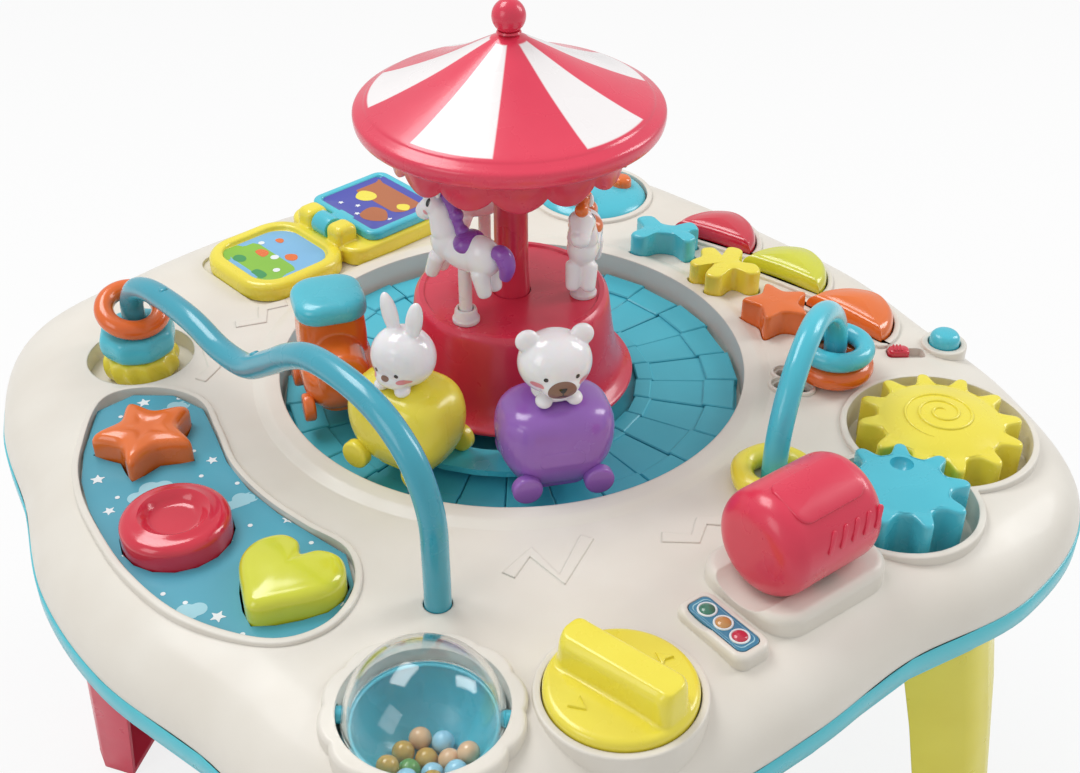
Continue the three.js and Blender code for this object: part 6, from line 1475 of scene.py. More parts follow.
# %% Knob
KNOB_AT, KNOB_TURN, KNOB_TOP, KNOB_RADIUS = spot((-0.32, -0.885)), -75.0, TOP_Z + 5, 25
GRIP_LENGTH, GRIP_WIDTH, GRIP_CORNER, GRIP_RISE, GRIP_WAVE, GRIP_LEVELS = 47.0, 15.5, 5.4, 13.8, 2.2, 15
knob_disc = puffed(disc(KNOB_RADIUS), TOP_Z - 2.7, KNOB_TOP, 2.4, 0.8, 2.4, 6, 6)
grip = []
for k in range(GRIP_LEVELS):
    up = k / (GRIP_LEVELS - 1)
    lean = 1 - 0.10 * up - (0.28 * max(0.0, (up - 0.7) / 0.3) ** 2)
    length = GRIP_LENGTH * (1 - 0.055 * up) - 3.0 * (1 - lean)
    ring = []
    for x, y in rounded_rectangle(length, GRIP_WIDTH * lean, GRIP_CORNER * lean, 10):
        wave = GRIP_WAVE * math.sin(x / GRIP_LENGTH * 2 * math.pi)
        ring.append((x, y + wave, KNOB_TOP - 2.0 + GRIP_RISE * up))
    grip.append(ring)
grip = skin([[(0, 0, KNOB_TOP - 2.0)], *grip, [(0, 0, KNOB_TOP + 12.0)]])
knob = moved(joined(knob_disc, grip), KNOB_AT, KNOB_TURN)
melted("knob_turned", knob, 0.5, 5, yellow, "knob", ("knob",))
arrow = [(0, 3.2), (2.9, -2.2), (0, -1.0), (-2.9, -2.2)]
arrow = puffed(arrow, KNOB_TOP - 0.4, KNOB_TOP + 1.15, 0.4, 0.0, 0.4, 3, 2)
arrows = [moved(arrow, (side * 3.0, side * 16.5, 0), side * 90.0) for side in (-1, 1)]
piece("knob_arrows", moved(joined(*arrows), KNOB_AT, KNOB_TURN), yellow, "knob", sharp=40)
print("knob at", [round(v, 1) for v in KNOB_AT])

# %% [markdown]
# ## The rattle ball
# The upper half of the ball is clear, so it needs real wall thickness: light bends going
# in and coming out. The lower half is a teal bowl, and the beads lie in it. Clear plastic
# blocks no light for the shadow rays, or the beads would sit in the dark.

# %% Clear plastic
PLASTIC_IOR = 1.46


def clear_plastic(name, tint):
    constants = {"Transmission Weight": 1.0, "IOR": PLASTIC_IOR}
    looks = ((30.0, 0.3), 500.0, (0.015, 0.05), (0.01, 0.0003))
    material = skinned(name, (tint, tint), *looks, 0.0, constants)
    nodes = material.node_tree.nodes
    add, _ = makers(material.node_tree)
    shadow = add("ShaderNodeLightPath").outputs["Is Shadow Ray"]
    through = add("ShaderNodeBsdfTransparent").outputs[0]
    mix = add("ShaderNodeMixShader", {0: shadow, 1: nodes["Principled BSDF"].outputs[0], 2: through})
    material.node_tree.links.new(mix.outputs[0], nodes["Material Output"].inputs["Surface"])
    return material


clear_dome = clear_plastic("clear_dome", "f4f8f8")
bead_gold = plastic("bead_gold", "c9a04a", "b98f3c", (0.14, 0.24), 0.6, 0.0)
bead_peach = plastic("bead_peach", "e2b48a", "d8a77c", (0.14, 0.24), 0.6, 0.0)
bead_green = plastic("bead_green", "5f9a4e", "558c45", (0.14, 0.24), 0.6, 0.0)
bead_blue = plastic("bead_blue", "9fcfe4", "8fc3dc", (0.14, 0.24), 0.6, 0.0)
bowl_teal = plastic("bowl_teal", "46b4c8", "3aa6bb", (0.2, 0.32), 0.4)
print("clear plastic", clear_dome.name)

# %% Dome and bowl
BALL_AT, BALL_TURN, BALL_Z = spot((-0.605, -0.76)), -33.0, TOP_Z - 2
BALL_RADIUS, BALL_WALL, BALL_GAP, BALL_STEPS, PIVOT_REACH = 26.0, 1.8, 0.15, 20, 30.15


def half_shell(side):
    """Half a hollow ball, the upper one for side 1 and the lower one for side -1."""
    reach, start = BALL_RADIUS - BALL_WALL, math.asin(BALL_GAP / BALL_RADIUS)
    rise = [start + (math.pi / 2 - start) * i / BALL_STEPS for i in range(BALL_STEPS + 1)]
    outside = [(BALL_RADIUS * math.cos(a), BALL_RADIUS * math.sin(a)) for a in rise]
    outside[-1] = (0.0, BALL_RADIUS)
    inside = [(reach * math.cos(a), max(BALL_GAP, reach * math.sin(a))) for a in reversed(rise)]
    inside[0] = (0.0, reach)
    profile = [(r, side * z) for r, z in (*outside, *inside, outside[0])]
    return moved(revolved(profile, 96), (*BALL_AT, BALL_Z))


piece("ball_dome", half_shell(1), clear_dome, "rattle_ball", ("ball_clear_half",), sharp=50)
stubs = [bar((s * (BALL_RADIUS - 1.0), 0, 0), (s * PIVOT_REACH, 0, 0), 2.9, 0.5, 32) for s in (-1, 1)]
pivots = [moved(stub, (*BALL_AT, BALL_Z), BALL_TURN) for stub in stubs]
bowl_form = joined(half_shell(-1), *pivots)
piece("ball_bowl", bowl_form, bowl_teal, "rattle_ball", ("ball_teal_half",), sharp=50)
rim_ring = moved(hoop(BALL_RADIUS - 2.5, 0.75, 96, 12), (*BALL_AT, BALL_Z - 0.9))
piece("ball_inner_rim", rim_ring, bowl_teal, "rattle_ball", sharp=60)
print("ball at", [round(v, 1) for v in BALL_AT])

# %% Beads that lie in the bowl
BEAD_RADIUS, BEAD_CLEAR = 3.85, 0.3
# Each layer: its angle from the bottom, its beads, the room for beads and its first turn.
BEAD_LAYERS = ((0.0, 1, 6, 0.0), (0.4, 6, 6, 0.3), (0.78, 5, 10.5, math.radians(240) - 1.0))
BEAD_ORDER = (bead_gold, bead_blue, bead_peach, bead_gold, bead_green, bead_blue, bead_peach)
BEAD_ORDER += (bead_gold, bead_blue, bead_gold, bead_blue, bead_peach)
lie = BALL_RADIUS - BALL_WALL - BEAD_RADIUS - BEAD_CLEAR
places = []
for down, count, room, start in BEAD_LAYERS:
    for k in range(count):
        flat = polar(BALL_AT, lie * math.sin(down), start + 2 * math.pi * k / room)
        places.append((*flat, BALL_Z - lie * math.cos(down)))
for look in (bead_blue, bead_gold, bead_green, bead_peach):
    own = [place for place, colour in zip(places, BEAD_ORDER) if colour == look]
    beads = joined(*(oval((BEAD_RADIUS,) * 3, place, 32) for place in own))
    stands_for = ("ball_beads",) if look == bead_blue else ()
    piece(look.name.replace("bead_", "beads_"), beads, look, "rattle_ball", stands_for, sharp=80)
print("beads", len(places))

# %% [markdown]
# ## The spinner and the book
# The spinner is a low dome with three pegs. The book has a fixed frame with a picture let
# into it and one page that turns over a pin between two ears. Its pictures are generic
# shapes here, coloured patches in a layout of their own.

# %% Spinner
SPINNER_AT, SPINNER_RADIUS, SPINNER_EDGE_Z, PEG_RING = spot((0.54, 0.53)), 27, TOP_Z - 1.2, 15
dome = [(0, TOP_Z - 3.4), (26.6, TOP_Z - 3.4), (SPINNER_RADIUS, TOP_Z - 3.0)]
dome += [(SPINNER_RADIUS, SPINNER_EDGE_Z)]
for a in (0.25, 0.5, 0.75, 1.0, 1.25, 1.45):
    dome.append((SPINNER_RADIUS * math.cos(a) ** 0.55, SPINNER_EDGE_Z + 6.2 * math.sin(a)))
dome = moved(revolved([*dome, (0, TOP_Z + 5.0)], 96), SPINNER_AT)
piece("spinner_dome", dome, teal, "spinner", ("spinner_disc",), sharp=50)
peg = [(0, TOP_Z - 5.6), (4.6, TOP_Z - 5.6), (5.0, TOP_Z - 3)]
peg = revolved([*peg, *arc((2.0, TOP_Z + 6.2), 2.9, 0, 85, 8), (0, TOP_Z + 9.2)], 40)
pegs = [moved(peg, polar(SPINNER_AT, PEG_RING, math.radians(100 + 120 * k))) for k in range(3)]
piece("spinner_knobs", joined(*pegs), orange, "spinner", ("spinner_pegs",), sharp=60)
print("spinner at", [round(v, 1) for v in SPINNER_AT])

# %% Book: frame, ears, page and pin
BOOK_AT, BOOK_TURN, BOOK_TOP, BOOK_WING, BOOK_DEPTH = spot((-0.12, 0.652)), 12.0, TOP_Z + 7, 56.0, 54.0
HINGE_Z, PAGE_THICK, SLAB_LOW, WELL_EDGE = BOOK_TOP + 2.3, 4.0, TOP_Z - 1.2, 1.0
PAGE_LOW, PAGE_MIDDLE, EAR_OUT, PIN_HALF, HUB_HALF = BOOK_TOP + 0.3, 29.4, 11.3, 16.5, 5.35


def in_book(form):
    return moved(form, BOOK_AT, BOOK_TURN)


def soft_frame(length, width, corner, low, high, edge, mouth, floor):
    """A slab with a rounded outer edge and a picture well sunk into its top."""

    def size(grow, z):
        outline = rounded_rectangle(length + 2 * grow, width + 2 * grow, max(corner + grow, 0.8), 8)
        return [(x, y, z) for x, y in outline]

    rings = [[(0, 0, low)], size(0, low)]
    for i in range(8):
        a = math.pi / 2 * i / 7
        rings.append(size(-edge * (1 - math.cos(a)), high - edge + edge * math.sin(a)))
    for i in range(6):
        a = math.pi / 2 * i / 5
        inward = -mouth - WELL_EDGE * math.sin(a) + WELL_EDGE
        rings.append(size(inward, high - WELL_EDGE * (1 - math.cos(a))))
    return skin([*rings, size(-mouth - 0.4, floor), [(0, 0, floor)]])


left = soft_frame(52.0, BOOK_DEPTH, 17.0, SLAB_LOW, BOOK_TOP, 3.2, 6.4, BOOK_TOP - 2.4)
left = moved(left, (-BOOK_WING + 26.0, 0, 0))
right = rounded_rectangle(BOOK_WING + 5.0, BOOK_DEPTH, 9.0, 8)
right = moved(puffed(right, SLAB_LOW, BOOK_TOP, 2.0, 0.0, 2.0, 6, 4), ((BOOK_WING - 5.0) / 2, 0, 0))
ear = puffed(rounded_rectangle(11.6, 11.0, 3.0, 6), SLAB_LOW, HINGE_Z + 5.5, 3.6, 0.0, 3.6, 6, 3)
ears = [moved(ear, (0, side * EAR_OUT, 0)) for side in (-1, 1)]
frame_form = in_book(joined(left, right, *ears))
book_frame = melted("book_frame", frame_form, 0.5, 3, yellow, "table", ("book_base",))
steel = plastic("hinge_steel", "b9bcc0", "a9adb2", (0.2, 0.34), 0.0)
steel.node_tree.nodes["Principled BSDF"].inputs["Metallic"].default_value = 1.0
pin = bar((0, -PIN_HALF, HINGE_Z), (0, PIN_HALF, HINGE_Z), 1.8, 0.3, 24)
piece("book_pin", in_book(pin), steel, "table", ("book_hinge_pin",), sharp=50)
page = (PAGE_LOW, PAGE_LOW + PAGE_THICK, 1.5, 4.0, BOOK_TOP + PAGE_THICK - 0.9)
page = moved(soft_frame(44.2, 49.5, 6.0, *page), (PAGE_MIDDLE, 0, 0))
tongue = rounded_rectangle(12.0, 10.4, 0.9, 3)
tongue = puffed(tongue, BOOK_TOP + 0.5, BOOK_TOP + 0.2 + PAGE_THICK, 0.6, 0.0, 0.6, 3, 2)
hub = bar((0, -HUB_HALF, HINGE_Z), (0, HUB_HALF, HINGE_Z), 5.5, 0.5, 48)
leaf = in_book(joined(page, moved(tongue, (6.4, 0, 0)), hub))
book_leaf = piece("book_leaf", leaf, teal, "book_page", ("book_page",), sharp=50)
print("book at", [round(v, 1) for v in BOOK_AT])

# %% [markdown]
# ## Pictures in the book
# Each picture is a stack of thin prints: a ground, then fields, then small shapes, each a
# little higher than the one under it. The soft patches come from a seeded random ring, so
# they look drawn by hand and are still the same on every run.

# %% Two generic pictures
picture_sky = plastic("picture_sky", "7fb9e2", "74aedb", (0.3, 0.4), 0.25)
picture_grass = plastic("picture_grass", "8ac23e", "7db536", (0.3, 0.4), 0.25)
picture_violet = plastic("picture_violet", "4a4fae", "41459f", (0.3, 0.4), 0.25)
picture_rust = plastic("picture_rust", "b4683c", "a65d34", (0.3, 0.4), 0.25)
picture_leaf = plastic("picture_leaf", "3f9a58", "368c4e", (0.3, 0.4), 0.25)
BOOK_SPOT, PRINT_LAYERS, WELL_WALL = (*BOOK_AT, BOOK_TOP + 30), (0.05, 0.09, 0.13, 0.17), -48.6
book_across = Matrix.Rotation(math.radians(BOOK_TURN), 3, "Z") @ Vector(ALONG_X)


def patch(at, size, points, seed):
    """A soft irregular patch of colour."""
    pick = random.Random(seed)
    ring = []
    for a in turns(points):
        ring.append((math.cos(a) * pick.uniform(0.75, 1.1), math.sin(a) * pick.uniform(0.75, 1.1)))
    return [(at[0] + x * size[0], at[1] + y * size[1]) for x, y in flowing(ring, 5, True)]


def sheet(length, width, corner, steps, x, y=0.0):
    return [(px + x, py + y) for px, py in rounded_rectangle(length, width, corner, steps)]


def book_star(x, y):
    return [(px + x, py + y) for px, py in drawn(star(5, 0.5), 1.6, None, 2)]


field, night = sheet(38.0, 40.0, 11.0, 8, -30.0), sheet(36.8, 41.6, 3.4, 6, PAGE_MIDDLE)
meadow = [(max(WELL_WALL, x), y) for x, y in sheet(19.4, 39.6, 8.0, 8, -39.0)]
bushes = [patch((-45.0, -8.0), (3.6, 5.0), 7, 3), patch((-43.0, 9.0), (3.0, 4.2), 7, 4)]
fruits = [patch((-33.0, 6.0), (3.0, 3.8), 6, 5), patch((-25.5, -6.0), (3.0, 3.6), 6, 6)]
fruits += [patch((-20.5, 10.0), (2.2, 2.8), 6, 7)]
balls = [ellipse(1.7, 1.7, (-37.0, -11.0), 18), ellipse(1.5, 1.5, (-28.0, 14.0), 18)]
balls += [ellipse(2.0, 2.0, (-31.0, -1.0), 18)]
hill = [sheet(17.5, 36.0, 6.0, 6, 38.0, 2.0), patch((22.0, -8.0), (7.0, 8.0), 8, 8)]
suns = [patch((30.0, 9.0), (5.0, 6.0), 7, 9), patch((36.0, -12.0), (3.2, 3.6), 7, 10)]
book_stars = [book_star(17.0, 12.0), book_star(21.0, 4.0), book_star(24.0, -17.0), book_star(16.0, -2.0)]
# Each print: its name, the piece and the body under it, its outlines, its finish and layer.
for name, target, body, outlines, look, layer in (
    ("sky_left", book_frame, "table", [field], picture_sky, 0),
    ("meadow", book_frame, "table", [meadow], picture_grass, 1),
    ("bushes", book_frame, "table", bushes, picture_leaf, 2),
    ("fruits", book_frame, "table", fruits, orange, 2),
    ("balls", book_frame, "table", balls, print_white, 3),
    ("night", book_leaf, "book_page", [night], picture_violet, 0),
    ("hill", book_leaf, "book_page", hill, picture_rust, 1),
    ("suns", book_leaf, "book_page", suns, yellow, 2),
    ("stars", book_leaf, "book_page", book_stars, print_white, 2),
):
    forms, lift = [filled(o, 5) for o in outlines], PRINT_LAYERS[layer]
    printed("picture_" + name, target, forms, BOOK_SPOT, DOWN, book_across, look, body, lift)
print("pictures", 2)

# %% [markdown]
# ## Bent tubes
# Each tube is one round bar bent along a path, and its rings can slide or turn at its
# foot. The path is given as shares of the span and the rise. A curve of even speed runs
# through its points, as the CAD has it, so the rings still fit round it.

# %% Tubes
TUBE_RADIUS, TUBE_SEAT, RING_WELL_DEPTH = 4.6, 9.0, 8.0
LEFT_PATH = [(0, 0), (0, 0.28), (0.005, 0.54), (0.04, 0.77), (0.09, 0.9), (0.16, 0.98), (0.25, 1)]
LEFT_PATH += [(0.33, 0.97), (0.395, 0.88), (0.47, 0.73), (0.55, 0.59), (0.64, 0.56), (0.74, 0.61)]
LEFT_PATH += [(0.83, 0.61), (0.91, 0.58), (0.97, 0.5), (0.998, 0.38), (1, 0.26), (1, 0.1)]
RIGHT_PATH = [(0, 0), (0.005, 0.38), (0.1, 0.7), (0.28, 0.93), (0.47, 1), (0.68, 0.9)]
RIGHT_PATH += [(0.88, 0.66), (0.99, 0.35), (1, 0)]
left_feet = (spot((-0.472, -0.557)), spot((-0.655, 0.424)))
right_feet = (spot((0.213, -0.597)), spot((0.538, -0.382)))


def even_curve(points, steps):
    """A curve through the points whose speed follows their spacing."""
    ends = [points[0] * 2 - points[1], *points, points[-1] * 2 - points[-2]]
    out = []
    for k in range(1, len(ends) - 2):
        p0, p1, p2, p3 = ends[k - 1 : k + 3]
        gaps = [max((b - a).length ** 0.5, 1e-4) for a, b in ((p0, p1), (p1, p2), (p2, p3))]
        t1 = ((p1 - p0) / gaps[0] - (p2 - p0) / (gaps[0] + gaps[1]) + (p2 - p1) / gaps[1]) * gaps[1]
        t2 = ((p2 - p1) / gaps[1] - (p3 - p1) / (gaps[1] + gaps[2]) + (p3 - p2) / gaps[2]) * gaps[1]
        c2 = -3 * p1 + 3 * p2 - 2 * t1 - t2
        for i in range(steps):
            t = i / steps
            out.append(p1 + t1 * t + c2 * t * t + (2 * p1 - 2 * p2 + t1 + t2) * t**3)
    return [*out, points[-1]]


def tube_path(feet, shares, rise, lower):
    (x0, y0), (x1, y1) = feet
    points = []
    for along, up in shares:
        points.append(Vector((x0 + (x1 - x0) * along, y0 + (y1 - y0) * along, TOP_Z + rise * up)))
    points[0].z = TOP_Z - TUBE_SEAT + 0.3
    foot = Vector((x1, y1, TOP_Z - lower - TUBE_SEAT + 0.3))
    points[-1].z = TOP_Z
    if lower == 0:
        points.pop()
    return even_curve([*points, foot], 7)


left_path = tube_path(left_feet, LEFT_PATH, 69.0, RING_WELL_DEPTH)
right_path = tube_path(right_feet, RIGHT_PATH, 50.0, 0.0)
# Small nubs on the left tube: each has its share along it and its side, up or down.
nubs = []
for share, side in ((0.5, 1), (0.69, 1), (0.56, -1)):
    k = round(share * (len(left_path) - 1))
    along = (left_path[k + 1] - left_path[k - 1]).normalized()
    up = (Vector((0, 0, 1)) - along * along.z).normalized() * side
    nub = bar((0, 0, -2.4), (0, 0, 1.1), 2.6, 1.0, 28, 1.9)
    nubs.append(stood(nub, left_path[k] + up * TUBE_RADIUS * 0.92, up))
left_bar = joined(swept(left_path, TUBE_RADIUS + 0.15, 40), *nubs)
piece("left_tube", left_bar, tube_teal, "table", ("left_bead_tube",), sharp=50)
right_bar = swept(right_path, TUBE_RADIUS + 0.05, 40)
piece("right_tube", right_bar, teal, "table", ("right_bead_tube",), sharp=50)
print("tube points", len(left_path), len(right_path))

# %% [markdown]
# ## Rings
# Two kinds of ring sit on the tubes: short barrels with flutes, and plain round rings.
# Blender's own torus would do for the plain ones. A ring drawn here can have flats and
# flutes, and the CAD node's box gives its size and place, so it fits its tube.

# %% Fluted barrels and plain rings
BARREL_RADIUS, BARREL_BULGE, BARREL_LEVELS, FLUTE_SIDES, BORE = 13.2, 2.8, 12, 16, 6.95
RING_LEAN, RING_REACH = 20.0, 11.4


def ring_form(node, squeeze=0.0, flats=0):
    """A ring of the node's size about the origin, drawn in between its flats if it has any."""
    low, high = box_mm(node)
    half = (high.z - low.z) / 2 / math.sin(math.pi / 3)
    points, faces = hoop((high.x - low.x) / 2 - half, half * 0.93, 96, 28)
    out = []
    for x, y, z in points:
        a = math.atan2(y, x)
        cut = 1 - squeeze * (0.5 - 0.5 * math.cos(a * flats)) if flats else 1.0
        out.append((x * cut, y * cut, z))
    return out, faces


def barrel_ring(node, flutes, depth, twist):
    """A short barrel with flutes that lean round it, on a plain bore."""
    low, high = box_mm(node)
    middle, height = (low + high) / 2, high.z - low.z

    def row(radius, z, cut):
        out = []
        for a in turns(flutes * FLUTE_SIDES):
            lean = twist * (z / height)
            r = radius - cut * (0.5 - 0.5 * math.cos((a + lean) * flutes)) ** 0.7
            out.append((r * math.cos(a), r * math.sin(a), low.z + z))
        return out

    rings = []
    for k in range(BARREL_LEVELS + 1):
        share = k / BARREL_LEVELS
        bulge = max(0.0, math.sin(math.pi * share)) ** 0.45
        rings.append(row(BARREL_RADIUS + BARREL_BULGE * bulge, height * share, depth * bulge))
    mouth = ((9.5, 0.0), (7.6, 0.3), (BORE, 1.0))
    rings += [row(r, height - z, 0.0) for r, z in mouth]
    rings += [row(r, z, 0.0) for r, z in reversed(mouth)]
    return moved(skin([*rings, rings[0]]), (middle.x, middle.y, 0))


def put_ring(colour, side, form, look, sharp=60):
    body, node = f"{colour}_{side}_ring", f"{side}_ring_{colour}"
    piece(f"{side}_{colour}_ring", form, look, body, (node,), sharp)


def centre_of(node):
    low, high = box_mm(node)
    return (low + high) / 2


put_ring("yellow", "left", barrel_ring("left_ring_yellow", 12, 1.5, 0.22), yellow, 50)
put_ring("teal", "left", barrel_ring("left_ring_teal", 8, 1.1, 0.0), teal, 50)
(foot_x, foot_y), (far_x, far_y) = left_feet
tube_turn = math.degrees(math.atan2(foot_y - far_y, foot_x - far_x))
lift = Vector((0, 0, RING_REACH * math.sin(math.radians(RING_LEAN))))
leaning_at = centre_of("left_ring_orange") + lift
leaning = moved(ring_form("left_ring_orange"), leaning_at, tube_turn, RING_LEAN, "Y")
put_ring("orange", "left", leaning, ring_orange)
for colour, look, squeeze, flats in (
    ("yellow", yellow, 0.03, 6),
    ("orange", ring_orange, 0.0, 0),
    ("teal", teal, 0.0, 0),
):
    node = "right_ring_" + colour
    put_ring(colour, "right", moved(ring_form(node, squeeze, flats), centre_of(node)), look)
print("rings", 6)

# %% [markdown]
# ## The play top
# The cream top is one large moulding: a lobed dish turned down at its border, with
# pockets, raised lips and seats for every toy. Drawing it as one mesh by hand would be
# hard to change. Here it is built as a toolmaker would say it: a skin, then walls and
# beds are added, then hollows are cut. Blender's manifold boolean does that in seconds.

# %% Outlines of the top
BORDER_WIDTH, BORDER_DROP, WALL, LIP, CLEAR, LIP_EDGE = 34.0, 22.0, 2.6, 1.6, 0.5, 0.8
TABLE_AT = spot((-0.035, -0.06))
LOBES = [0.953, 0.94, 0.982, 1.052, 1.018, 0.97, 0.979, 0.995, 1.04, 1.115, 1.056, 0.98]
LOBES += [0.988, 0.997, 1.01, 1.105, 1.065, 1.025, 0.977, 0.969, 1.077, 1.137, 1.062, 0.975]
PANEL = [(-0.86, 0.165), (-0.775, 0.3), (-0.675, 0.285), (-0.612, 0.2), (-0.618, 0.09)]
PANEL += [(-0.632, -0.03), (-0.618, -0.15), (-0.585, -0.26), (-0.548, -0.36), (-0.58, -0.455)]
PANEL += [(-0.66, -0.51), (-0.755, -0.49), (-0.85, -0.37), (-0.895, -0.22), (-0.905, -0.06)]
PANEL += [(-0.895, 0.06)]


def lobe(angle):
    """The outline's radius, as a share, at an angle about the table's middle."""
    count = len(LOBES)
    step = (angle / (2 * math.pi)) % 1.0 * count
    i, t = int(step) % count, step - int(step)
    at = lambda k: LOBES[(i + k) % count]
    slope = lambda k: (at(k + 1) - at(k - 1)) / 2
    a = 2 * at(0) - 2 * at(1) + slope(0) + slope(1)
    b = 3 * at(1) - 3 * at(0) - 2 * slope(0) - slope(1)
    return a * t**3 + b * t**2 + slope(0) * t + at(0)


def offset(outline, grow):
    """An outline moved out along its own normals."""
    if not grow:
        return outline
    nexts = [*outline[1:], outline[0]]
    area = sum(x * after[1] - after[0] * y for (x, y), after in zip(outline, nexts))
    out, reach = [], grow if area > 0 else -grow
    for i, (x, y) in enumerate(outline):
        (ax, ay), (bx, by) = outline[i - 1], nexts[i]
        length = math.hypot(bx - ax, by - ay) or 1.0
        out.append((x + reach * (by - ay) / length, y - reach * (bx - ax) / length))
    return out


def slab(outline, low, high, edge=0.0, steps=5):
    """A plate over any outline, with its upper edge rounded."""
    levels = [(low, 0.0)]
    for i in range(steps + 1 if edge else 1):
        a = math.pi / 2 * i / steps
        levels.append((high - edge + edge * math.sin(a), -edge * (1 - math.cos(a))))
    rings = [[(x, y, z) for x, y in offset(outline, grow)] for z, grow in levels]
    points, faces = skin(rings)
    count = len(outline)
    faces.append(tuple(range(count))[::-1])
    faces.append(tuple(len(points) - count + i for i in range(count)))
    return points, faces


def round_slab(radius, low, high, place, edge=0.0, sides=96):
    return moved(slab(disc(radius, sides), low, high, edge), place)


print("lobes from", min(LOBES), "to", max(LOBES))

# %% [markdown]
# ### Walls and hollows
# Three lists collect the forms. The adds make the walls and beds, the cuts take out what
# a toy needs, and the lasts are posts and pins that stand inside a hollow.

# %% Skin, walls and hollows
adds, cuts, lasts = [], [], []
ABOVE, RIBBON_HALF = TOP_Z + LIP + 4, 2.6


def border(inset, steps):
    """The turned-down edge of the top as (radius, height), drawn in by an inset."""
    out = []
    for i in range(steps + 1):
        a = math.pi / 2 * i / steps
        reach = TABLE_RADIUS - BORDER_WIDTH + (BORDER_WIDTH - inset) * math.cos(a)
        out.append((reach, TOP_Z - BORDER_DROP + (BORDER_DROP - inset) * math.sin(a)))
    return out


def lobed(profile, sides=288):
    return moved(revolved(profile, sides, lambda a, r, z: (r * lobe(a), z)), TABLE_AT)


def pocket(outline_of, depth, lip, place=AXIS, turn=0.0, root=WALL):
    """A walled hollow in the top; outline_of gives its outline grown by a distance."""
    top = TOP_Z + (lip or -WALL / 2)
    wall = slab(outline_of(WALL), TOP_Z - depth - root, top, LIP_EDGE if lip else 0.0)
    adds.append(moved(wall, place, turn))
    cuts.append(moved(slab(outline_of(0.0), TOP_Z - depth, ABOVE), place, turn))


def round_outline(radius, sides=96):
    return lambda grow: disc(radius + grow, sides)


def box_outline(length, width, corner):
    return lambda grow: rounded_rectangle(length + 2 * grow, width + 2 * grow, corner, 8)


def block_outline(shares):
    return lambda grow: drawn(shares, BLOCK_REACH + (grow + CLEAR) * 1.5, None, 7)


def cross_bar(radius, half, place, z, turn):
    """A level bar along X, for axles and the bores they leave."""
    return moved(bar((-half, 0, 0), (half, 0, 0), radius, 0.01, 64), (*place, z), turn)


def ribbon(shares, half):
    """A zigzag band of even width, for the faint reliefs on the top."""
    line = [spot(s) for s in shares]
    left, right = [], []
    for i, (x, y) in enumerate(line):
        (ax, ay), (bx, by) = line[max(i - 1, 0)], line[min(i + 1, len(line) - 1)]
        length = math.hypot(bx - ax, by - ay)
        nx, ny = -(by - ay) / length * half, (bx - ax) / length * half
        left.append((x + nx, y + ny))
        right.append((x - nx, y - ny))
    return [*right, *reversed(left)]


pocket(round_outline(96.0, 240), 14.0, LIP)
pocket(lambda grow: offset(drawn(PANEL, TABLE_RADIUS, None, 9), grow), 3.4, LIP)
pocket(round_outline(22.0), RING_WELL_DEPTH, 0, left_feet[1])
pocket(round_outline(27.5), 6.0, LIP, SPINNER_AT)
pocket(round_outline(25.5), 3.0, LIP, KNOB_AT, 0.0, 16.0)
pocket(box_outline(16.0, 7.0, 2.0), 4.0, 0, SWITCH_AT, SWITCH_TURN)
pocket(box_outline(2 * BOOK_WING + 0.6, BOOK_DEPTH + 0.6, 9.0), 1.5, 0, BOOK_AT, BOOK_TURN)
for _, _, shares, share, turn, _ in BLOCKS:
    pocket(block_outline(shares), 4.0, 0, spot(share), turn)
for place, radius in ((SUN_AT, 35.6), (MATE_AT, 28.45)):
    adds.append(round_slab(radius + WALL, TOP_Z - 14.6, TOP_Z + LIP, place, LIP_EDGE, 144))
    cuts.append(round_slab(radius, TOP_Z - 12, ABOVE, place, 0.0, 144))
    lasts.append(round_slab(4.0, TOP_Z - 13.3, TOP_Z, place, 0.0, 32))
for place in (*left_feet, *right_feet):
    base = TOP_Z - (RING_WELL_DEPTH if place == left_feet[1] else 0)
    adds.append(round_slab(7.7, base - 11.6, base - 1.3, place, 0.0, 40))
    cuts.append(round_slab(5.1, base - TUBE_SEAT, base + 4, place, 0.0, 48))
# The slope round the drum's well, as (radius, height over the top).
slope = [(97.0, -1.0), (97.0, 1.3), (97.6, 1.6), (101.5, 1.6), (103.2, 1.3), (105.2, 0.55)]
slope += [(106.8, 0.1), (108.0, -0.2), (108.0, -1.0), (97.0, -1.0)]
adds.append(moved(revolved([(r, TOP_Z + z) for r, z in slope], 240), AXIS))
for shares in (
    [(-0.336, -0.56), (-0.272, -0.528), (-0.262, -0.617), (-0.166, -0.546)],
    [(-0.052, -0.615), (-0.003, -0.65), (0.035, -0.616), (0.069, -0.637)],
    [(-0.442, 0.43), (-0.386, 0.415), (-0.366, 0.46), (-0.313, 0.455)],
    [(-0.582, 0.27), (-0.54, 0.3), (-0.53, 0.36), (-0.48, 0.37)],
):
    adds.append(slab(ribbon(shares, RIBBON_HALF), TOP_Z - 1.0, TOP_Z + 0.5, 0.35, 3))
print("walls", len(adds), "hollows", len(cuts))

